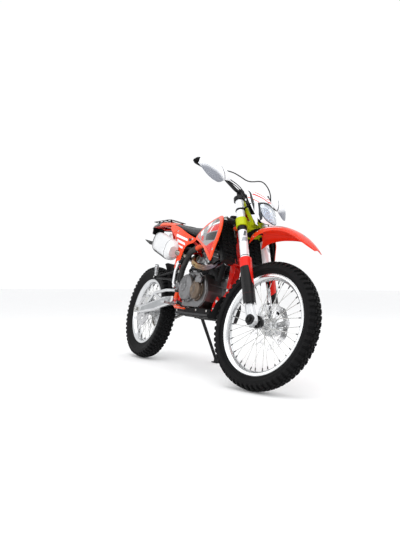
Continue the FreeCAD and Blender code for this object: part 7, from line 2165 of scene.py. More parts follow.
# ------------------------------------------------------------------- chain
def chain():
    mb = MB()
    c0, r0, c1, r1 = v3(0, 0, R_R), 96.0, v3(655, 0, 462), 29.0
    dx, dz = c1[0] - c0[0], c1[2] - c0[2]
    L = math.hypot(dx, dz)
    base, tan_a = math.atan2(dz, dx), math.acos((r0 - r1) / math.hypot(dx, dz))
    run = math.sqrt(L * L - (r0 - r1) ** 2)
    arc0, arc1 = (2 * math.pi - 2 * tan_a) * r0, 2 * tan_a * r1
    total = arc0 + arc1 + 2 * run
    n = int(round(total / 15.875 / 2)) * 2
    pitch = total / n

    def at(s):
        s = s % total
        if s < arc0:
            t = base + tan_a + s / r0
            return c0[0] + r0 * math.cos(t), c0[2] + r0 * math.sin(t)
        s -= arc0
        t = base - tan_a
        p = (c0[0] + r0 * math.cos(t), c0[2] + r0 * math.sin(t))
        q = (c1[0] + r1 * math.cos(t), c1[2] + r1 * math.sin(t))
        if s < run:
            return p[0] + (q[0] - p[0]) * s / run, p[1] + (q[1] - p[1]) * s / run
        s -= run
        if s < arc1:
            t = base - tan_a + s / r1
            return c1[0] + r1 * math.cos(t), c1[2] + r1 * math.sin(t)
        s -= arc1
        t = base + tan_a
        p = (c1[0] + r1 * math.cos(t), c1[2] + r1 * math.sin(t))
        q = (c0[0] + r0 * math.cos(t), c0[2] + r0 * math.sin(t))
        return p[0] + (q[0] - p[0]) * s / run, p[1] + (q[1] - p[1]) * s / run

    P = [v3(*[v for v in (at(k * pitch)[0], 0, at(k * pitch)[1])]) for k in range(n)]
    for k in range(n):
        a, b = P[k], P[(k + 1) % n]
        d = unit(b - a)
        w = v3(-d[2], 0, d[0])
        hw = np.linalg.norm(b - a)
        outer = k % 2 == 0
        pts = []
        for ctr, s0 in ((hw, -math.pi / 2), (0.0, math.pi / 2)):
            for j in range(6):
                t = s0 + math.pi * j / 5
                pts.append((ctr + 6.6 * math.cos(t), 6.6 * math.sin(t)))
        pts.insert(6, (hw / 2, 4.7))
        pts.append((hw / 2, -4.7))
        for ya, yb in (((61.2, 62.9), (77.1, 78.8)) if outer else ((63.3, 65.0), (75.0, 76.7))):
            slab(mb, pts, a, d, w, -ya, -yb, 0.3, 0)
        rod(mb, a + v3(0, 60.6, 0), a + v3(0, 79.4, 0), 2.5, 0.3, 10, 1)
        rod(mb, a + v3(0, 65.2, 0), a + v3(0, 74.8, 0), 4.6, 0.3, 12, 1)
    # front sprocket
    tn = 13
    out = []
    for k in range(tn):
        a = 2 * math.pi * k / tn
        for da, r in ((-0.17, 25.2), (-0.10, 28.0), (-0.045, 33.0), (0.045, 33.0), (0.10, 28.0), (0.17, 25.2)):
            out.append((655 + r * math.cos(a + da), 462 + r * math.sin(a + da)))
    plate(mb, out, 67, 73, 0.8, 1)
    mb.obj("roller_chain", [M["chain"], M["steel"]], "chassis", smooth=34, slot="steel", rep=("drive_chain",))


M["chain"] = m_metal("chain_steel", (0.32, 0.29, 0.24), 0.38, var=0.35)
chain()


# -------------------------------------------------------------- radiators
def radiators():
    mb = MB()
    for sg in (1, -1):
        lo, hi = sorted((sg * 50, sg * 136))
        # finned core, both faces in relief
        def sbox(s0, s1, n0, n1, y0, y1, ch, mat):
            slab(mb, [(s0, n0), (s1, n0), (s1, n1), (s0, n1)], (PT[0], 0, PT[2]), AX, NN, y0, y1, ch, mat) if np.dot(np.cross(AX, NN), (0, 1, 0)) > 0 else \
                slab(mb, [(s0, n0), (s1, n0), (s1, n1), (s0, n1)], (PT[0], 0, PT[2]), AX, NN, -y0, -y1, ch, mat)
        sbox(452, 692, -87, -65, lo + 2, hi - 2, 1.0, 0)
        for k in range(9):
            y = lo + 8 + k * (hi - lo - 16) / 8
            sbox(454, 690, -88.2, -63.8, y - 1.3, y + 1.3, 0.5, 1)
        for y in (lo, hi - 4):
            sbox(450, 694, -90, -62, y, y + 4, 1.2, 1)
        sbox(690, 716, -94, -60, lo - 4 + (0 if sg > 0 else 2), hi + 2, 6, 1)
        sbox(428, 454, -94, -60, lo - 4 + (0 if sg > 0 else 2), hi + 2, 6, 1)
        # louvred guard in front
        for k in range(9):
            s0 = 458 + k * 26
            slab(mb, [(s0, -58.5), (s0 + 15, -51.5), (s0 + 16.5, -53.5), (s0 + 1.5, -60.5)], (PT[0], 0, PT[2]), AX, NN, *( (lo, hi) if np.dot(np.cross(AX, NN), (0, 1, 0)) > 0 else (-lo, -hi)), 0.6, 2)
        for y in (lo - 1, (lo + hi) / 2 - 2, hi - 3):
            sbox(454, 694, -60.5, -52.5, y, y + 4, 1.0, 2)
        # lower hose spigot and bracket lugs
        p = S(441, -90, sg * 84)
        rod(mb, p, p - NN * 24, 12, 1.0, 22, 1)
        for s0 in (480, 640):
            sbox(s0, s0 + 18, -80, -72, *(sorted((sg * 46, sg * 51))), 1.0, 1)
            bolt(mb, S(s0 + 9, -76, sg * 46), (0, -sg, 0), 4.4, 3.4, 3)
        p = S(700, -90, sg * 92)
        rod(mb, p, p - NN * 20, 12, 1.0, 22, 1)
    # filler neck and cap on the right
    c = S(714, -77, -84)
    revolve(mb, [(0, 0), (16, 0), (16, 18), (22, 19), (22, 24), (20, 27.5), (12, 28), (0, 28)], c, AX, 34, 3)
    sweep(mb, [S(741.5, -77, -84) + NN * 20, S(741.5, -77, -84) - NN * 20], 3.2, 10, 3)
    mb.obj("radiator_pair", [M["core"], M["satin_black"], M["black"], M["zinc"]], "chassis", smooth=36, slot="radiator", rep=("radiators",))
    # coolant hoses between the two sides and to the cylinder head
    mb = MB()
    for sg in (1, -1):
        p = S(441, -90, sg * 84)
        q = p - NN * 24
        end = v3(986, sg * 60, 640) if sg > 0 else v3(1082, -96, 560)
        if sg > 0:
            sweep(mb, arcs([p - NN * 6, p - NN * 40, v3(1040, 70, 560), v3(1004, 62, 610), v3(940, 50, 652)], 34, 0.2), 14, 20, 0)
        else:
            sweep(mb, arcs([p - NN * 6, p - NN * 34, v3(1086, -92, 556), v3(1072, -98, 580)], 26, 0.2), 14, 20, 0)
        torus(mb, p - NN * 14, NN, 14.4, 1.6, 24, 6, 1)
        t = S(700, -90, sg * 92)
        sweep(mb, arcs([t - NN * 5, t - NN * 46, v3(1000, sg * 70, 860), v3(968, sg * 50, 812)], 30, 0.2), 13.5, 20, 0)
        torus(mb, t - NN * 13, NN, 14.0, 1.6, 24, 6, 1)
    mb.obj("coolant_hoses", [M["rubber"], M["steel"]], "chassis", smooth=50, slot="rubber")


radiators()


# ------------------------------------------------- things behind the fork
def behind_fork():
    """Regulator, horn, relay and wiring on the upper down tube, ahead of the radiators: dark pieces that also put
    painted shade into the gap there.
    """
    mb = MB()

    def nb(s0, s1, n0, n1, y0, y1, ch, mat):
        k = 1 if np.dot(np.cross(AX, NN), (0, 1, 0)) > 0 else -1
        slab(mb, [(s0, n0), (s1, n0), (s1, n1), (s0, n1)], (PT[0], 0, PT[2]), AX, NN, k * y0, k * y1, ch, mat)
    nb(600, 690, -62, -50, -46, -30.6, 2, 0)
    for k in range(7):
        nb(606 + k * 12, 609 + k * 12, -66, -49, -47.5, -31, 0.6, 0)
    nb(560, 596, -70, -50, -48, -31, 3, 1)
    nb(600, 670, -66, -50, 30.6, 44, 3, 1)
    for sg in (-1, 1):
        sweep(mb, catmull([S(690, -56, sg * 38), S(716, -50, sg * 36), S(742, -40, sg * 30), S(752, -52, sg * 20)], 8), 4.2, 12, 2)
        sweep(mb, catmull([S(600, -60, sg * 40), S(560, -66, sg * 38), S(500, -70, sg * 36), S(430, -66, sg * 35)], 8), 5.0, 12, 2)
    for s in (470, 520):
        torus(mb, S(s, -68, -36.5), AX, 6.2, 1.2, 16, 6, 2)
    mb.obj("regulator_loom_and_shade_fill", [M["alloy_dark"], M["black"], M["rubber"]], "chassis", smooth=40, slot="black_plastic")


behind_fork()


# ------------------------------------------------------------- skid plate
def skid():
    mb = MB()

    def trough(x, w_top, z_top, w_low, z_low, rows=11):
        pts = [(-w_top - 3.2, z_top), (-w_low - 2.0, z_low + 1.2), (-w_low * 0.86, z_low), (-w_low * 0.5, z_low), (0, z_low), (w_low * 0.5, z_low), (w_low * 0.86, z_low), (w_low + 2.0, z_low + 1.2), (w_top + 3.2, z_top)]
        return [v3(x, y, z) for y, z in pts]
    rows = [(620, 103, 371, 101, 347.6), (690, 105, 380, 102, 343.6), (760, 105, 389, 103, 341.6), (860, 105.5, 390, 102.6, 340.8), (960, 105, 391, 102, 341.4), (1052, 95.6, 391, 93, 342.4), (1069, 64, 353, 60, 342.6)]
    g = [trough(*r) for r in rows]
    shell(mb, g, 3.2, 0, flip=True)

    def bow(z, w, x_mid, x_side):
        pts = [(x_side + 2.4, w + 2.8), (x_side + 5 + (x_mid - x_side) * 0.5, w * 0.8), (x_mid + 3.6, w * 0.55), (x_mid + 3.8, 0), (x_mid + 3.6, -w * 0.55), (x_side + 5 + (x_mid - x_side) * 0.5, -w * 0.8), (x_side + 2.4, -w - 2.8)]
        return [v3(x, y, z) for x, y in pts]
    rows = [(342.2, 95, 1077, 1046), (365, 94, 1083, 1060), (388, 91.5, 1090, 1072), (430, 85.5, 1094, 1086), (477, 61.5, 1104, 1100)]
    shell(mb, [bow(*r) for r in rows], 3.2, 0, flip=True)
    # raised ribs, grey rubbing band and the fixing bolts
    for y in (-70, -35, 35, 70):
        brick(mb, 640, 1030, y - 3, y + 3, 339.4, 344, 1.2, 0)
    for sg in (-1, 1):
        pts = [(640, 352), (760, 348), (960, 348), (1046, 349), (1046, 360), (960, 360), (760, 360), (640, 364)]
        plate(mb, pts, *sorted((sg * 103.5, sg * 107.8)), 0.8, 1)
        for x, z in ((650, 368), (900, 380), (1030, 380)):
            bolt(mb, (x, sg * 107.5, z), (0, sg, 0), 4.6, 3.6, 2)
    for y in (-46, 46):
        bolt(mb, (1099, y, 440), (1, 0, 0.2), 5.0, 3.6, 2)
    brick(mb, 800, 930, -60, 60, 339.3, 343, 0.8, 0)
    mb.obj("skid_tray", [M["black"], M["guard_grey"], M["zinc"]], "chassis", smooth=38, slot="black_plastic", rep=("skid_plate",))


M["guard_grey"] = m_plastic("skid_band", (0.035, 0.036, 0.038), 0.42, grain=0.2, coat=0.1)
skid()


# ------------------------------------------------------ pegs, levers, brake
def pegs():
    mb = MB()
    for sg in (1, -1):
        y0, y1 = sorted((sg * 96.2, sg * 106))
        plate(mb, [(606, 372), (700, 372), (690, 418), (640, 430), (606, 430)], y0, y1, 3, 0)
        bolt(mb, (624, sg * 106, 412), (0, sg, 0), 5.5, 4.0, 2)
        bolt(mb, (684, sg * 106, 384), (0, sg, 0), 5.5, 4.0, 2)
        # cleated frame of the peg
        for x0, x1, za in ((608, 614, 0), (652, 658, 0), (630, 636, 0)):
            brick(mb, x0, x1, *sorted((sg * 119, sg * 213)), 394.5, 407, 1.0, 1)
            for k in range(9):
                y = sg * (124 + k * 10.4)
                plate(mb, [(x0, 406.4), (x1, 406.4), (x1 - 0.4, 409.8), (x0 + 0.4, 409.8)], y - 2.6, y + 2.6, 0.8, 1)
        for a, b in ((118, 126), (206, 214)):
            brick(mb, 608, 658, *sorted((sg * a, sg * b)), 394, 408, 1.5, 1)
        rod(mb, (633, sg * 105, 400), (633, sg * 122, 400), 10.8, 1, 24, 1)
        rod(mb, (633, sg * 113, 380), (633, sg * 113, 419), 4.2, 0.6, 14, 2)
        helix(mb, (633, sg * 113, 412), (633, sg * 113, 420), 6.4, 1.2, 3, 2, 6, 10)
        # passenger brackets, black, with the folded silver peg
        pp = v3(383, sg * 182, 567)
        sweep(mb, arcs([pp, (540, sg * 134, 612), (592, sg * 121, 620)], 60, 0.2), 7.5, 16, 0)
        sweep(mb, arcs([pp, (540, sg * 134, 560), (592, sg * 121, 552)], 60, 0.2), 7.5, 16, 0)
        plate(mb, [(578, 536), (606, 536), (608, 632), (582, 632)], *sorted((sg * 106, sg * 122)), 4, 0)
        for z in (550, 618):
            bolt(mb, (594, sg * 122, z), (0, sg, 0), 6.0, 5.0, 2)
        rod(mb, (383, sg * 170, 567), (383, sg * 196, 567), 11.8, 1.2, 24, 0)
        bolt(mb, (383, sg * 196, 567), (0, sg, 0), 5.5, 2.6, 2, washer=False)
        a, b = v3(388, sg * 186, 578), v3(414, sg * 204, 648)
        rod(mb, a, b, 10.0, 2.0, 26, 3, r2=13.8)
        for k in range(6):
            q = a + (b - a) * (0.2 + 0.13 * k)
            torus(mb, q, b - a, 10.6 + 0.52 * k, 1.5, 22, 6, 4)
    mb.obj("peg_set", [M["satin_black"], M["alloy"], M["zinc"], M["alloy"], M["rubber"]], "chassis", smooth=38, slot="black_alloy", rep=("foot_pegs",))


pegs()


def levers():
    mb = MB()
    # rear brake pedal
    sweep(mb, arcs([(676, -132, 388), (730, -168, 384), (830, -184, 378)], 40, 0.2), 8.5, 18, 0, flat=(0.8, 1.0), up=(0, 0, 1))
    revolve(mb, [(6, 0), (12.6, 0), (13, 1), (13, 33), (12.6, 34), (6, 34)], (676, -106, 388), (0, -1, 0), 28, 0, loop=True)
    bolt(mb, (676, -139.5, 388), (0, -1, 0), 7, 4, 1)
    brick(mb, 826, 872, -206, -164, 370, 379, 2.5, 0)
    for k in range(5):
        for j in range(4):
            plate(mb, [(830 + k * 9, 378), (835 + k * 9, 378), (833.5 + k * 9, 382), (831.5 + k * 9, 382)], -202 + j * 9.4, -198 + j * 9.4, 0.3, 1)
    # gear lever
    sweep(mb, arcs([(700, 128, 446), (740, 168, 430), (850, 172, 404)], 30, 0.2), 7.0, 16, 0, flat=(0.85, 1.0), up=(0, 0, 1))
    rod(mb, (700, 54, 446), (700, 118, 446), 8, 0.8, 20, 1)
    revolve(mb, [(7, 0), (13, 0), (13.6, 1), (13.6, 19), (13, 20), (7, 20)], (700, 116, 446), (0, 1, 0), 26, 0, loop=True)
    bolt(mb, (712, 126, 446), (1, 0, 0), 4.2, 4, 1)
    rod(mb, (852, 160, 404), (852, 200, 404), 8.8, 1.5, 22, 2)
    for k in range(5):
        torus(mb, (852, 167 + k * 7, 404), (0, 1, 0), 8.8, 1.1, 20, 6, 2)
    mb.obj("pedal_and_gear_lever", [M["frame_orange"], M["zinc"], M["rubber"]], "chassis", smooth=40, slot="orange_alloy", rep=("foot_levers",))
    mb = MB()
    # kick starter, folded against the case
    k1 = arcs([(694, -178, 513), (700, -196, 530), (716, -206, 600), (738, -206, 648)], [12, 60], 0.15)
    sweep(mb, k1, [9.2 - 1.6 * i / len(k1) for i in range(len(k1))], 20, 0)
    revolve(mb, [(6, 0), (14.4, 0), (15, 1), (15, 23), (14, 24), (6, 24)], (694, -166, 513), (0, -1, 0), 28, 0, loop=True)
    bolt(mb, (694, -188, 513), (0, -1, 0), 6.0, 2.4, 1)
    rod(mb, (728, -206, 640), (748, -206, 660), 12, 1.6, 26, 0)
    sweep(mb, [v3(738, -206, 650), v3(770, -205, 666), v3(799, -204, 681.6)], 8.0, 20, 2, round_end=True)
    for k in range(4):
        torus(mb, v3(760 + k * 9.5, -205.3, 660.9 + k * 4.9), (62, 2, 32), 8.0, 0.9, 20, 6, 2)
    mb.obj("kick_starter", [M["polished"], M["zinc"], M["satin_black"]], "chassis", smooth=40, slot="silver_alloy")


levers()


def rear_caliper():
    mb = MB()
    cx, cz = 78.0, 421.0
    out = [(cx - 44, cz - 8), (cx - 8, cz - 44), (cx + 34, cz - 30), (cx + 36, cz + 16), (cx + 4, cz + 40), (cx - 36, cz + 30)]
    plate(mb, out, -83.5, -65.6, 5, 0)
    plate(mb, [(x * 0.96 + cx * 0.04, z * 0.96 + cz * 0.04) for x, z in out], -50.4, -42.2, 3, 0)
    plate(mb, [(cx - 36, cz + 2), (cx + 36, cz + 2), (cx + 34, cz + 16), (cx + 4, cz + 39.5), (cx - 35, cz + 29)], -66.5, -49.5, 2, 0)
    revolve(mb, [(0, 2.6), (14, 2.6), (19, 0.8), (19, -3), (0, -3)], (cx, -83.0, cz), (0, -1, 0), 30, 1)
    for dx, dz in ((-26, 16), (22, 14), (18, -26)):
        bolt(mb, (cx + dx, -83.2, cz + dz), (0, -1, 0), 4.4, 3.2, 1, washer=False, socket=True)
    plate(mb, [(cx - 20, cz - 30), (cx + 16, cz - 36), (cx + 20, cz + 24), (cx - 18, cz + 26)], -64.6, -62.2, 0.6, 2)
    plate(mb, [(cx - 20, cz - 30), (cx + 16, cz - 36), (cx + 20, cz + 24), (cx - 18, cz + 26)], -53.8, -51.4, 0.6, 2)
    mb.obj("caliper_rear", [M["alloy"], M["zinc"], M["steel"]], "chassis", smooth=36, slot="silver_alloy", rep=("rear_brake_caliper",))


rear_caliper()


# -------------------------------------------------------- rack, tail, stand
def rack():
    mb = MB()

    def zt(x):
        return float(np.interp(x, [-142, -132, -60, 120, 190], [1038.4, 1040.4, 1039, 1035, 1028]))
    xs = frange(-140, 188, 6.0)
    # side rails, cross bars and the slotted deck
    for sg in (-1, 1):
        sweep(mb, [v3(x, sg * 57.5, zt(x) - 2.9) for x in xs], 4.4, 14, 0, flat=(0.62, 1.0), up=(0, 0, 1), round_end=True)
        sweep(mb, [v3(x, sg * 8.6, zt(x) - 2.6) for x in frange(-122, 78, 6.0)], 3.6, 12, 0, flat=(0.62, 1.0), up=(0, 0, 1))
    for x, w in ((-134, 60), (-122, 60), (-73, 60), (2, 60), (50, 60), (78, 60), (134, 60), (184, 60)):
        sweep(mb, [v3(x, y, zt(x) - 2.7) for y in frange(-w, w, 10.0)], 5.4, 12, 0, flat=(0.42, 1.0), up=(0, 0, 1), round_end=True)
    deck = [(-68, -26), (-68, 26), (-12, 26), (-12, -26)]
    for x0, x1 in ((-68, -12),):
        for sg in (-1, 1):
            pass
    slab(mb, [(-66, -34), (-14, -34), (-8, -16), (-8, 16), (-14, 34), (-66, 34), (-71, 16), (-71, -16)], (0, 0, 1034.6), (1, 0, 0), (0, 1, 0), 0, 3.9, 1.0, 0)
    for k in range(4):
        a = math.pi / 4 + math.pi / 2 * k
        p = v3(-40 + 28 * math.cos(a), 28 * math.sin(a), 1038.2)
        revolve(mb, [(3.3, 0), (5.6, 0), (5.6, 0.7), (3.3, 0.7)], p, (0, 0, 1), 18, 1, loop=True)
    for sg in (-1, 1):
        for x, z0, z1 in ((-60, 1006, 1036), (150, 1000, 1029)):
            rod(mb, (x, sg * 30, z0), (x, sg * 50, z1), 6.8, 0.8, 18, 0)
            bolt(mb, (x, sg * 50, z1 + 2), (0, 0, 1), 4.6, 2.6, 1, washer=False)
    mb.obj("luggage_rack", [M["satin_black"], M["zinc"]], "chassis", smooth=40, slot="black_alloy", rep=("rear_rack",))


rack()


def tail():
    mb = MB()
    loft_rings(mb, [[v3(x, sy * w, z0 + (z1 - z0) * q) for sy, q in ((-1, 0.12), (-0.9, 0), (0.9, 0), (1, 0.12), (1, 0.88), (0.9, 1), (-0.9, 1), (-1, 0.88))]
                    for x, w, z0, z1 in ((-146, 45, 945, 1008), (-150, 46, 945, 1008), (-166, 42.6, 946.4, 1006), (-170, 41.6, 947, 1005))], 0)
    mb.obj("tail_lamp_housing", [M["black"]], "chassis", smooth=40, slot="black_plastic", rep=("tail_light",))
    mb = MB()
    loft_rings(mb, [[v3(x, sy * w, z0 + (z1 - z0) * q) for sy, q in ((-1, 0.14), (-0.88, 0), (0.88, 0), (1, 0.14), (1, 0.86), (0.88, 1), (-0.88, 1), (-1, 0.86))]
                    for x, w, z0, z1 in ((-168, 40, 950, 1002), (-184, 38, 950, 1001), (-189, 35, 953, 998))], 0)
    mb.obj("tail_lamp_lens", [M["red_lens"]], "chassis", smooth=40, slot="red_lens")
    mb = MB()
    plate(mb, [(-146, 990), (-96, 994), (-116, 936), (-122, 900), (-130, 856), (-150, 862), (-152, 900), (-160, 950)], -9, 9, 2.0, 0)
    U = unit(v3(-112, 0, 43.2))
    N = unit(v3(0.36, 0, 0.933))
    for t0, t1, sc in ((0, 4, 1.0),):
        slab(mb, [(0, -60), (4, -60), (116, -60), (120, -56), (120, 56), (116, 60), (0, 60)], (-138, 0, 858), U, (0, 1, 0), *((0, -4) if np.dot(np.cross(U, (0, 1, 0)), N) < 0 else (0, 4)), 1.2, 0)
    for y in (-30, 0, 30):
        a = v3(-140, y, 857) + N * 4
        sweep(mb, [a, a + U * 112], 2.4, 8, 0)
    for sg in (-1, 1):
        p = v3(-206, sg * 45, 888.1)
        revolve(mb, [(3.2, -4.6), (6, -4.6), (6, 1.0), (3.2, 1.0)], p, N, 20, 1, loop=True)
    mb.obj("plate_bracket", [M["black"], M["zinc"]], "chassis", smooth=38, slot="black_plastic")


tail()


def stand():
    mb = MB()
    # the stand is drawn on the ground, so its points are in the ground frame
    org = SHIFT_W
    sp, sa = v3(540, 134, 368), unit((-0.37, 0.91, 0.19))
    pv = W(sp) * 1000.0
    pa = unit(R_LEAN @ sa)
    foot = v3(500, 360, 0) + v3(org[0], org[1], 0)
    knee = foot + v3(0, -4, 12)
    top = pv + pa * 4
    d = unit(knee - top)
    L = np.linalg.norm(knee - top)
    sweep(mb, [top, top + d * 30, top + d * (L * 0.5), knee - d * 20, knee], [11.0, 11.0, 11.0, 10.4, 10.0], 24, 0)
    revolve(mb, [(8.0, -6.8), (16.2, -6.8), (17, -6), (17, 6), (16.2, 6.8), (8.0, 6.8)], pv, pa, 34, 0, loop=True)
    bolt(mb, pv + pa * 13.2, pa, 8.5, 4.0, 2)
    # gusset and foot
    slab(mb, [(-34, -26), (34, -26), (40, 0), (30, 28), (-30, 28), (-40, 0)], (foot[0], foot[1], 0.4), (1, 0, 0), (0, 1, 0), 0, 6.4, 1.6, 0)
    rod(mb, foot + v3(0, -2, 4), foot + v3(0, -10, 40), 21.5, 2, 26, 0, r2=12)
    for k in range(4):
        x = foot[0] - 22 + k * 14
        slab(mb, [(x, foot[1] - 18), (x + 5, foot[1] - 18), (x + 5, foot[1] + 20), (x, foot[1] + 20)], (0, 0, 6.6), (1, 0, 0), (0, 1, 0), 0, 1.4, 0.4, 0)
    hook = top + (knee - top) * 0.42
    a0 = top + (knee - top) * 0.10
    off = v3(-17, 0, 0)
    helix(mb, a0 + off, hook + off, 5.0, 1.4, 17, 1, 8, 12)
    for p in (a0, hook):
        sweep(mb, [p + off, p + off * 0.5, p], 1.8, 10, 1)
        rod(mb, p + v3(-12, 0, 0), p + v3(-19.5, 0, 0), 3.0, 0.5, 12, 2)
    mb.v = [v / 1000.0 for v in mb.v]
    mb.obj("stand_leg", [M["satin_black"], M["spring"], M["zinc"]], "stand", smooth=40, slot="black_alloy", rep=("side_stand",), raw=True)


M["spring"] = m_metal("stand_spring", (0.78, 0.78, 0.76), 0.28, var=0.15)
stand()


# ------------------------------------------------------- shrouds and panels
def side_surface(rows, sg, lift=0.0):
    """Surface point for (x, z) from rows of (x, [(z, y), ...])."""
    zs = np.arange(600.0, 1012.0, 6.0)
    col = [lut([(z, y) for z, y in r]) for _, r in rows]
    fx = [lut([(rows[i][0], float(col[i](z)[0])) for i in range(len(rows))]) for z in zs]

    def fn(x, z):
        i = int(np.clip((z - zs[0]) / 6.0, 0, len(zs) - 2))
        t = (z - zs[i]) / 6.0
        y = (1 - t) * float(fx[i](x)[0]) + t * float(fx[i + 1](x)[0])
        return (x, sg * (y + lift), z)

    return fn


SHROUD_ROWS = [(730, [(1000, 96), (900, 112), (850, 118), (800, 122), (720, 122), (620, 120)]),
               (850, [(1000, 104), (900, 128), (850, 142), (800, 150), (720, 152), (620, 150)]),
               (950, [(1000, 112), (920, 134), (860, 160), (800, 174), (720, 180), (620, 180)]),
               (1050, [(1000, 124), (930, 148), (860, 182), (800, 194), (720, 204), (620, 208)]),
               (1130, [(1000, 144), (930, 164), (860, 190), (800, 200), (720, 212), (620, 214)]),
               (1215, [(1000, 164), (930, 176), (860, 192), (800, 200), (720, 210), (620, 212)])]
SHROUD_OUT = [(738, 838), (800, 876), (880, 918), (960, 940), (1050, 948), (1096, 940), (1136, 914), (1172, 872), (1182, 836),
              (1178, 770), (1166, 680), (1152, 654), (1136, 660), (1090, 696), (1020, 736), (930, 770), (840, 802), (770, 822)]
PANEL_ROWS = [(280, [(1000, 92), (960, 100), (920, 106), (860, 108), (760, 104), (620, 100)]),
              (400, [(1000, 94), (960, 104), (920, 112), (860, 120), (760, 118), (620, 112)]),
              (520, [(1000, 96), (940, 108), (900, 118), (840, 130), (760, 132), (620, 126)]),
              (640, [(1000, 100), (940, 108), (880, 116), (820, 130), (740, 134), (620, 130)]),
              (760, [(1000, 104), (940, 108), (860, 112), (810, 120), (740, 128), (620, 126)])]
PANEL_OUT = [(288, 972), (400, 950), (500, 918), (590, 884), (670, 856), (738, 836), (748, 822), (726, 806), (664, 794), (634, 772), (612, 720),
             (598, 660), (560, 634), (530, 636), (526, 660), (540, 720), (530, 776), (470, 838), (390, 888), (300, 936)]

OLIVE, MIDGREY = (0.055, 0.056, 0.045), (0.24, 0.245, 0.25)
SHROUD_LAYERS = [
    (MIDGREY, [[(775, 836), (800, 866), (955, 928), (1010, 936), (1010, 752), (930, 782), (840, 812)], [(1000, 936), (1092, 930), (1128, 900), (1146, 850), (1146, 790), (1130, 740), (1000, 756)]]),
    (OLIVE, [[(1000, 936), (1092, 932), (1128, 902), (1020, 898)]]),
    (WHITE, [[(1004, 898), (1128, 902), (1136, 888), (1000, 884)], [(820, 868), (858, 884), (890, 842), (856, 832)], [(905, 905), (948, 921), (975, 880), (934, 866)]]),
    (RED, [[(985, 880), (1136, 884), (1142, 838), (968, 838)]]),
    (WHITE, [[(1040, 880), (1056, 880), (1040, 838), (1024, 838)]]),
    (BLACK, [[(976, 832), (1142, 832), (1138, 778), (1002, 788)]]),
    (LGREY, [[(880, 838), (940, 862), (976, 838), (1002, 790), (950, 790)]]),
    (RED, [[(872, 832), (930, 828), (958, 788), (900, 802)], [(1040, 744), (1136, 776), (1138, 700), (1126, 686)]]),
    (ORANGE, [[(800, 862), (818, 868), (852, 830), (838, 824)]]),
]
M["shroud"] = m_plastic("shroud_graphics", ORANGE, 0.24, layers=SHROUD_LAYERS)
M["orange_edge"] = m_plastic("shroud_edge", (0.84, 0.060, 0.008), 0.24)
PANEL_LAYERS = [
    (WHITE, [[(452, 886), (640, 836), (652, 818), (452, 866)], [(486, 846), (622, 808), (634, 790), (504, 824)], [(540, 800), (606, 782), (606, 768), (546, 784)]]),
    (RED, [[(452, 862), (560, 836), (560, 828), (466, 851)]]),
    (BLACK, [[(655, 842), (700, 830), (690, 816), (664, 818)]]),
]
M["side_panel"] = m_plastic("side_panel_graphics", ORANGE, 0.24, layers=PANEL_LAYERS)


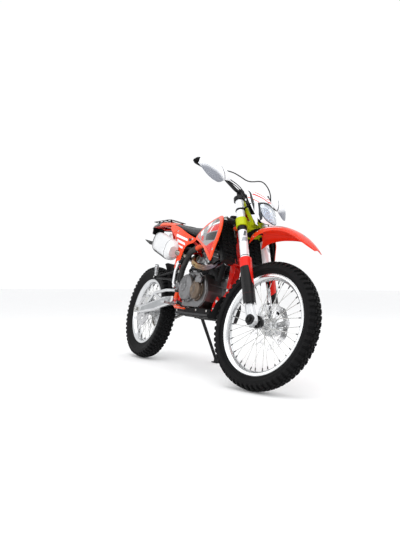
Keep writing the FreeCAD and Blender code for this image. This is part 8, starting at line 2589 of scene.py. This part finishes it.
def shrouds():
    for sg, tag in ((-1, "right"), (1, "left")):
        mb = MB()
        fn = side_surface(SHROUD_ROWS, sg)
        out = rounded(SHROUD_OUT, 16, 4)
        skin(mb, [out], fn, frange(738, 1182, 13), frange(654, 948, 13), 3.0, 0, mat_in=1, sg=-1.0 if sg > 0 else 1.0, rim_mat=2)
        # raised border along the front edge
        fn2 = side_surface(SHROUD_ROWS, sg, 2.0)
        band = [(1044, 945), (1096, 938), (1135, 912), (1170, 871), (1180, 836), (1176, 770), (1164, 682), (1152, 657), (1139, 663), (1146, 700), (1153, 776), (1152, 834), (1140, 866), (1112, 898), (1084, 916), (1046, 925)]
        skin(mb, [rounded(band, 8, 3)], fn2, frange(1044, 1180, 13), frange(657, 945, 13), 2.4, 2, sg=-1.0 if sg > 0 else 1.0)
        low = [(1136, 664), (1092, 700), (1022, 740), (932, 774), (842, 806), (772, 826), (756, 835), (770, 842), (846, 816), (938, 785), (1030, 752), (1100, 714), (1140, 684)]
        skin(mb, [rounded(low, 6, 2)], fn2, frange(756, 1140, 14), frange(664, 842, 14), 2.4, 2, sg=-1.0 if sg > 0 else 1.0)
        # stiffening ribs on the inside, and the fixings
        for z in (880, 830, 780):
            line = [np.array(fn(x, z + (x - 900) * 0.1)) - np.array([0, sg * 5.5, 0]) for x in frange(860, 1130, 20)]
            sweep(mb, line, 2.6, 8, 1, flat=(1.0, 1.4), up=(0, 0, 1))
        for x, z in ((930, 884), (800, 846), (1152, 722)):
            p = np.array(fn(x, z))
            q = np.array(fn(x + 2, z)) - np.array(fn(x - 2, z))
            r = np.array(fn(x, z + 2)) - np.array(fn(x, z - 2))
            n = unit(np.cross(q, r)) * (1 if np.cross(q, r)[1] * sg > 0 else -1)
            revolve(mb, [(0, 3.0), (6.2, 2.8), (8.0, 1.6), (8.4, -0.4), (0, -0.4)], p, n, 22, 3)
            revolve(mb, [(0, 3.6), (3.2, 3.6), (3.6, 2.6), (0, 2.6)], p, n, 6, 1)
        mb.obj("shroud_panel_" + tag, [M["shroud"], M["black"], M["orange_edge"], M["zinc"]], "chassis", smooth=46, slot="orange_plastic", rep=("shroud_" + tag,))
        mb = MB()
        fp = side_surface(PANEL_ROWS, sg)
        skin(mb, [rounded(PANEL_OUT, 14, 3)], fp, frange(288, 748, 14), frange(634, 972, 14), 3.0, 0, mat_in=1, sg=-1.0 if sg > 0 else 1.0)
        fp2 = side_surface(PANEL_ROWS, sg, 1.8)
        rear = [(292, 968), (400, 947), (452, 932), (456, 922), (430, 905), (386, 897), (304, 938)]
        skin(mb, [rounded(rear, 8, 3)], fp2, frange(292, 456, 13), frange(897, 968, 13), 2.2, 2, sg=-1.0 if sg > 0 else 1.0)
        for x, z in ((452, 906), (700, 832), (560, 660)):
            p = np.array(fp(x, z))
            revolve(mb, [(0, 2.6), (5.6, 2.4), (7.4, 1.4), (7.8, -0.4), (0, -0.4)], p, (0, sg, 0.1), 22, 3)
            revolve(mb, [(0, 3.2), (2.8, 3.2), (3.2, 2.2), (0, 2.2)], p, (0, sg, 0.1), 6, 1)
        rod(mb, (452, sg * 80, 906), (452, sg * 110, 906), 7.0, 0.6, 18, 1)
        mb.obj("side_panel_body_" + tag, [M["side_panel"], M["black"], M["orange_edge"], M["zinc"]], "chassis", smooth=46, slot="orange_plastic", rep=("side_panel_" + tag,))


shrouds()


# --------------------------------------------------------------------- tank
def tank():
    mb = MB()
    f = lut([(742, 812, 846, 62), (850, 815, 868, 92), (925, 838, 902, 112), (962, 862, 950, 115), (1000, 878, 966, 104), (1034, 900, 954, 74)])
    rings = []
    xs = [742.5, 744, 748, 756] + list(np.linspace(770, 1014, 26)) + [1022, 1028, 1031.5, 1033]
    for x in xs:
        zb, zt, w = f(x)
        k = 1.0
        if x < 760:
            k = 1 - 0.16 * ((760 - x) / 18.0) ** 2
        if x > 1014:
            k = 1 - 0.26 * ((x - 1014) / 19.0) ** 2
        zm, h = (zb + zt) / 2, (zt - zb) / 2 * k
        ring = []
        for i in range(48):
            a = 2 * math.pi * i / 48
            ring.append(v3(x, w * k * 0.985 * math.copysign(abs(math.cos(a)) ** 0.62, math.cos(a)), zm + h * math.copysign(abs(math.sin(a)) ** 0.72, math.sin(a))))
        rings.append(ring)
    loft_rings(mb, rings, 0)
    for sg in (-1, 1):
        rod(mb, (930, sg * 96, 884), (930, sg * 142, 884), 9.0, 1.0, 20, 0)
    # filler neck and cap with finger grips
    revolve(mb, [(0, 20), (22, 20), (27, 19), (30, 15), (31, 9), (31, -10), (0, -10)], (975, 0, 968), (0, 0, 1), 40, 1)
    for k in range(14):
        a = 2 * math.pi * k / 14
        rod(mb, (975 + 29.6 * math.cos(a), 29.6 * math.sin(a), 966), (975 + 28.4 * math.cos(a), 28.4 * math.sin(a), 984.5), 3.0, 1.2, 10, 1)
    revolve(mb, [(0, 2), (9, 2), (11, 0), (0, 0)], (975, 0, 988), (0, 0, 1), 24, 1)
    mb.obj("tank_shell", [M["tank_plastic"], M["black"]], "chassis", smooth=50, slot="black_plastic", rep=("fuel_tank",))


M["tank_plastic"] = m_plastic("tank_plastic", (0.020, 0.020, 0.021), 0.36, grain=0.12, coat=0.15)
tank()


# -------------------------------------------------------------- rear fender
def rear_fender():
    mb = MB()
    f = lut([(-192, 1005, 30, 993, 40), (-110, 1013, 54, 989, 68), (0, 1016, 70, 984, 88), (150, 1008, 76, 976, 98), (260, 992, 72, 966, 97), (326, 981, 68, 960, 94)])
    grid = []
    for x in list(np.linspace(-190, 324, 44)):
        zt, wt, ze, we = f(x)
        row = []
        for k in range(25):
            q = -1 + 2 * k / 24.0
            a = abs(q)
            if a < 0.62:
                y = wt * a / 0.62
                z = zt + 3 - 8 * (a / 0.62) ** 3
            else:
                t = (a - 0.62) / 0.38
                y = wt + (we - wt) * math.sin(t * math.pi / 2) ** 0.9
                z = zt - 5 + (ze - zt + 5) * t ** 1.25
            z += 2.2 * max(0.0, 1 - abs(a - 0.34) / 0.10)
            row.append(v3(x, math.copysign(y, q), z))
        grid.append(row)
    nrm = np.cross(grid[3][12] - grid[2][12], grid[2][13] - grid[2][12])
    shell(mb, grid, 3.2, 0, flip=nrm[2] < 0, mat_in=1)
    for sg in (-1, 1):
        for x in (-30, 120, 250):
            zt = float(f(x)[0])
            revolve(mb, [(0, 2.2), (5.4, 2.0), (7.0, 0.6), (7.2, -1.0), (0, -1.0)], (x, sg * 24, zt + 3.0), (0, 0, 1), 20, 2)
    mb.obj("tail_fender_top", [M["tail_orange"], M["black"], M["zinc"]], "chassis", smooth=44, slot="orange_plastic", rep=("rear_fender",))
    mb = MB()
    # inner mudguard in front of the wheel, air box and its duct, all black
    grid = []
    for deg in np.linspace(8, 56, 22):
        a = math.radians(deg)
        x, z = 390 * math.cos(a), 343 + 395 * math.sin(a) + 60 * (deg / 98.0)
        d = unit(v3(x, 0, z - 343))
        row = []
        for k in range(15):
            q = -1 + 2 * k / 14.0
            y = 54.5 * q
            row.append(v3(x, y, z) - d * (14.0 * max(0.0, (abs(q) - 0.68) / 0.32) ** 1.6))
        grid.append(row)
    nrm = np.cross(grid[3][7] - grid[2][7], grid[2][8] - grid[2][7])
    shell(mb, grid, 3.4, 0, flip=np.dot(nrm, grid[2][7] - v3(0, 0, 343)) < 0)
    loft_rings(mb, [[v3(x, sy * w, zb + (zt - zb) * q) for sy, q in ((-1, 0.08), (-0.94, 0), (0.94, 0), (1, 0.08), (1, 0.92), (0.94, 1), (-0.94, 1), (-1, 0.92))]
                    for x, w, zb, zt in ((400, 57, 801, 929), (404, 58, 800, 930), (556, 69.7, 800, 885), (560, 68.5, 801, 884))], 0)
    for k in range(4):
        x = 424 + k * 34
        w = 58 + (x - 400) * 0.075
        for sg in (-1, 1):
            brick(mb, x, x + 5, *sorted((sg * (w - 0.5), sg * (w + 2.2))), 806, 880, 0.8, 0)
    plate(mb, [(288, 648), (312, 612), (420, 804), (420, 830), (402, 830)], -33.5, 33.5, 3, 0)
    mb.obj("mudguard_and_airbox", [M["black"]], "chassis", smooth=40, slot="black_plastic")


M["tail_orange"] = m_plastic("tail_plastic", (0.84, 0.070, 0.010), 0.26, layers=[(BLACK, [[(-200, 1030), (96, 1030), (60, 960), (-200, 960)]])])
rear_fender()


# --------------------------------------------------------------------- seat
def Winv(p):
    return ((np.asarray(p, float) - ORG) * 1000.0) @ R_LEAN


SEAT_F = lut([(330, 984, 957, 84, 92), (440, 966, 918, 90, 100), (560, 944, 890, 92, 104), (660, 930, 866, 90, 104), (745, 926, 850, 84, 98), (840, 934, 872, 72, 86), (905, 948, 908, 60, 72), (938, 961, 945, 40, 44)])


def seat():
    mb = MB()
    rings = []
    xs = [331.5, 333, 337, 345] + list(np.linspace(356, 918, 44)) + [926, 931, 934.5, 936]
    shrink = 4.0
    for x in xs:
        zt, zb, wt, wb = SEAT_F(x)
        k = 1.0
        if x < 352:
            k = 1 - 0.40 * ((352 - x) / 21.0) ** 2
        if x > 918:
            k = 1 - 0.30 * ((x - 918) / 18.0) ** 2
        zt, zb = zt - shrink, zb + shrink * 0.2
        zm, h = (zb + zt) / 2, (zt - zb) / 2
        ring = []
        for i in range(44):
            a = 2 * math.pi * i / 44
            ca, sa = math.cos(a), math.sin(a)
            w = (wb - shrink * 0.8) if sa < 0 else (wb - shrink * 0.8) + (wt - wb) * (sa ** 1.2)
            e = 0.50 if sa < 0 else 0.62
            ring.append(v3(x, w * math.copysign(abs(ca) ** e, ca), zm + h * k * math.copysign(abs(sa) ** (0.55 if sa < 0 else 0.80), sa)))
        rings.append(ring)
    loft_rings(mb, rings, 0)
    co = W(np.concatenate(mb.v))
    me = bpy.data.meshes.new("seat_cushion")
    me.from_pydata([tuple(c) for c in co], [], mb.f)
    bm = bmesh.new()
    bm.from_mesh(me)
    bmesh.ops.remove_doubles(bm, verts=bm.verts, dist=1e-5)
    bmesh.ops.recalc_face_normals(bm, faces=bm.faces)
    bm.to_mesh(me)
    bm.free()
    o = bpy.data.objects.new("seat_cushion", me)
    bpy.context.scene.collection.objects.link(o)
    md = o.modifiers.new("remesh", "REMESH")
    md.mode = "VOXEL"
    md.voxel_size = 0.0052
    deps = bpy.context.evaluated_depsgraph_get()
    base = bpy.data.meshes.new_from_object(o.evaluated_get(deps))
    o.modifiers.clear()
    o.data = base
    P0 = np.zeros(len(base.vertices) * 3)
    base.vertices.foreach_get("co", P0)
    P0 = P0.reshape(-1, 3)
    B0 = Winv(P0)
    pin = o.vertex_groups.new(name="pan")
    for i, p in enumerate(B0):
        zt, zb, wt, wb = SEAT_F(p[0])
        t = (p[2] - zb) / max(1.0, zt - zb)
        wgt = 1.0 if t < 0.16 else max(0.0, 1 - (t - 0.16) / 0.25)
        # a cross seam and the welt hold the cover down
        if abs(p[0] - 512) < 3.2 or abs(p[0] - 770) < 3.2:
            wgt = max(wgt, 0.92)
        if abs(abs(p[1]) - wt * 0.84) < 3.0 and t > 0.5:
            wgt = max(wgt, 0.85)
        if wgt > 0:
            pin.add([i], wgt, "REPLACE")
    cl = o.modifiers.new("cover", "CLOTH")
    st = cl.settings
    st.quality = 6
    st.mass = 0.3
    st.tension_stiffness = st.compression_stiffness = 18.0
    st.shear_stiffness = 8.0
    st.bending_stiffness = 1.2
    st.use_pressure = True
    st.uniform_pressure_force = 4.0
    st.vertex_group_mass = "pan"
    st.effector_weights.gravity = 0.0
    cl.collision_settings.use_collision = False
    cl.collision_settings.use_self_collision = False
    cl.point_cache.frame_start, cl.point_cache.frame_end = 1, 20
    sc = bpy.context.scene
    for fr in range(1, 21):
        sc.frame_set(fr)
    deps = bpy.context.evaluated_depsgraph_get()
    puffed = bpy.data.meshes.new_from_object(o.evaluated_get(deps))
    o.modifiers.clear()
    P1 = np.zeros(len(puffed.vertices) * 3)
    puffed.vertices.foreach_get("co", P1)
    P1 = P1.reshape(-1, 3)
    D = P1 - P0
    ln = np.linalg.norm(D, axis=1)
    D *= np.minimum(1.0, 0.009 / np.maximum(ln, 1e-9))[:, None]
    B1 = Winv(P0 + D)
    # stay inside the hard neighbours below and beside the pan
    for i, p in enumerate(B1):
        zt, zb, wt, wb = SEAT_F(p[0])
        p[2] = max(p[2], zb - 0.5)
        p[1] = float(np.clip(p[1], -wb - 3.0, wb + 3.0))
    P1 = W(B1)
    puffed.vertices.foreach_set("co", P1.reshape(-1))
    puffed.update()
    o.data = puffed
    o.vertex_groups.clear()
    sc.frame_set(1)
    o.data.polygons.foreach_set("use_smooth", np.ones(len(o.data.polygons), bool))
    o.data.materials.clear()
    o.data.materials.append(M["seat"])
    sub = o.modifiers.new("sub", "SUBSURF")
    sub.levels = sub.render_levels = 1
    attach(o, "chassis")
    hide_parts("seat")
    SHOW["seat"] = o

    from mathutils.bvhtree import BVHTree
    me = o.data
    tree = BVHTree.FromPolygons([tuple(v.co) for v in me.vertices], [tuple(p.vertices) for p in me.polygons])

    def hit(p, d):
        w, wd = W(p), Wd(d)
        r = tree.ray_cast(Vector(w), Vector(wd), 0.4)
        return None if r[0] is None else Winv(np.array(r[0]))

    mb = MB()
    # welt along both top edges, and two cross seams
    for sg in (-1, 1):
        line = []
        for x in np.arange(352, 922, 7.0):
            wt = float(SEAT_F(x)[2])
            q = hit(v3(x, sg * wt * 0.84, 1040), v3(0, 0, -1))
            if q is not None:
                line.append(q + v3(0, 0, 0.5))
        if len(line) > 4:
            sweep(mb, line, 2.0, 8, 0, round_end=True)
        # stitches beside the welt
        for i in range(0, len(line) - 1):
            a, b = line[i] - v3(0, sg * 5.5, -0.35), line[i + 1] - v3(0, sg * 5.5, -0.35)
            ha, hb = hit(a + v3(0, 0, 30), v3(0, 0, -1)), hit(b + v3(0, 0, 30), v3(0, 0, -1))
            if ha is not None and hb is not None:
                m0, m1 = ha + (hb - ha) * 0.18, ha + (hb - ha) * 0.78
                sweep(mb, [m0 + v3(0, 0, 0.1), (m0 + m1) / 2 + v3(0, 0, 0.7), m1 + v3(0, 0, 0.1)], 0.55, 6, 1)
    for x in (512, 770):
        line = []
        wt = float(SEAT_F(x)[2])
        for y in np.linspace(-wt * 0.83, wt * 0.83, 27):
            q = hit(v3(x, y, 1040), v3(0, 0, -1))
            if q is not None:
                line.append(q + v3(0, 0, 0.3))
        if len(line) > 4:
            sweep(mb, line, 1.6, 8, 0)
    # side piping above the pan
    for sg in (-1, 1):
        line = []
        for x in np.arange(348, 924, 8.0):
            zt, zb, wt, wb = SEAT_F(x)
            q = hit(v3(x, sg * 190, zb + (zt - zb) * 0.24), v3(0, -sg, 0))
            if q is not None:
                line.append(q + v3(0, sg * 0.2, 0))
        if len(line) > 4:
            sweep(mb, line, 1.5, 8, 0)
    mb.obj("seat_seams", [M["seat_welt"], M["thread"]], "chassis", smooth=60, slot="seat_cover")
    mb = MB()
    rings = []
    for x in np.linspace(340, 926, 30):
        zt, zb, wt, wb = SEAT_F(x)
        rings.append([v3(x, sy * (wb - 6), zb + dz) for sy, dz in ((-1, 1.0), (-0.96, -1.2), (0.96, -1.2), (1, 1.0), (1, 6.0), (-1, 6.0))])
    loft_rings(mb, rings, 0)
    mb.obj("seat_pan", [M["black"]], "chassis", smooth=40, slot="black_plastic")


M["seat_welt"] = m_plastic("seat_welt", (0.016, 0.016, 0.017), 0.5, grain=0.2, coat=0.0)
seat()


# ------------------------------------------------- controls' short leads
def leads():
    """Throttle and clutch leads from the bar housings to the loom behind the mask."""
    curve("throttle_lead", [S(942, 10, -196), S(936, 22, -176), S(916, 38, -140), S(884, 58, -96), S(846, 66, -58), S(812, 62, -40)], 2.8, "front_fork", M["rubber_f"], True)
    curve("throttle_lead_2", [S(938, 4, -196), S(928, 16, -172), S(902, 34, -132), S(868, 54, -92), S(832, 62, -60), S(806, 58, -46)], 2.8, "front_fork", M["rubber_f"], True)
    curve("clutch_lead", [S(948, 40, 204), S(942, 52, 170), S(918, 66, 130), S(880, 70, 92), S(842, 66, 62), S(810, 60, 44)], 2.8, "front_fork", M["rubber_f"], True)


leads()


# ------------------------------------------------------------- CAD pieces
def dress(node, *mats):
    for o in NODES[node] if isinstance(NODES[node], (list, tuple)) else [NODES[node]]:
        while len(o.data.materials) < len(mats):
            o.data.materials.append(mats[0])
        for i in range(len(o.data.materials)):
            o.data.materials[i] = mats[min(i, len(mats) - 1)]


def calm():
    """Softer mirror layer on everything that isn't metal or glass, so deep colours stay deep under a white room."""
    for m in bpy.data.materials:
        if not m.use_nodes:
            continue
        for n in m.node_tree.nodes:
            if n.type != "BSDF_PRINCIPLED" or n.inputs["Transmission Weight"].default_value > 0.1:
                continue
            if not n.inputs["Metallic"].is_linked and n.inputs["Metallic"].default_value < 0.5:
                n.inputs["Specular IOR Level"].default_value *= 0.36
                n.inputs["Coat Weight"].default_value *= 0.25


calm()
KEEP = {"front_disc": "disc_f", "rear_disc": "disc_r", "rear_sprocket": "disc_r"}
for node, key in KEEP.items():
    dress(node, M[key])


# --------------------------------------------------------- floor and light
def floor():
    mb = MB()
    prof = [(0.0, 0.0), (2.0, 0.0), (6.0, 0.0), (14.0, 0.0), (36.0, 0.0)]
    revolve(mb, prof, (0, 0, 0), (0, 0, 1), 96, 0)
    t = NT("studio_floor")
    tc = t.node("ShaderNodeTexCoord")
    n = t.noise(3.0, 3.0, 0.5, tc.outputs["Object"])
    t.set(base=t.mix(t.map(n, 0.3, 0.7, 0.0, 1.0), (0.93, 0.93, 0.93), (0.915, 0.915, 0.915)), rough=0.8)
    t.bump(t.noise(60.0, 2.0, 0.5, tc.outputs["Object"]), 0.02, 0.001)
    me = bpy.data.meshes.new("studio_floor")
    co = np.concatenate(mb.v)
    me.from_pydata([tuple(c) for c in co], [], mb.f)
    bm = bmesh.new()
    bm.from_mesh(me)
    bmesh.ops.remove_doubles(bm, verts=bm.verts, dist=1e-5)
    bmesh.ops.recalc_face_normals(bm, faces=bm.faces)
    if sum(f.normal.z for f in bm.faces) < 0:
        bmesh.ops.reverse_faces(bm, faces=bm.faces)
    bm.to_mesh(me)
    bm.free()
    me.polygons.foreach_set("use_smooth", np.ones(len(me.polygons), bool))
    me.materials.append(t.mat)
    o = bpy.data.objects.new("studio_floor", me)
    bpy.context.scene.collection.objects.link(o)
    o.location = (0.0, 0.0, -0.0005)


floor()


def area(name, loc, target, size, size_y, power, colour=(1, 1, 1)):
    d = bpy.data.lights.new(name, "AREA")
    d.shape, d.size, d.size_y, d.energy, d.color = "RECTANGLE", size, size_y, power, colour
    o = bpy.data.objects.new(name, d)
    bpy.context.scene.collection.objects.link(o)
    o.location = loc
    v = Vector(target) - Vector(loc)
    o.rotation_euler = v.to_track_quat("-Z", "Y").to_euler()
    return o


area("overhead", (0.6, -0.6, 3.6), (0, 0, 0.5), 4.2, 3.2, 55)
area("front_right", (3.2, -4.0, 2.4), (0.2, 0, 0.6), 2.6, 2.2, 34)
area("right_side", (-1.6, -4.4, 1.9), (-0.2, 0, 0.6), 2.6, 1.8, 24)
area("far_left", (1.2, 4.0, 2.6), (0.2, 0, 0.6), 3.0, 2.0, 22)
area("front_low", (5.0, 0.6, 1.0), (0.6, 0, 0.5), 2.0, 1.2, 10)
world = bpy.data.worlds.new("studio")
bpy.context.scene.world = world
world.use_nodes = True
bg = world.node_tree.nodes["Background"]
bg.inputs[0].default_value = (0.985, 0.99, 1.0, 1.0)
bg.inputs[1].default_value = 1.03

bpy.context.scene.view_settings.view_transform = "Standard"
bpy.context.scene.view_settings.exposure = 0.0
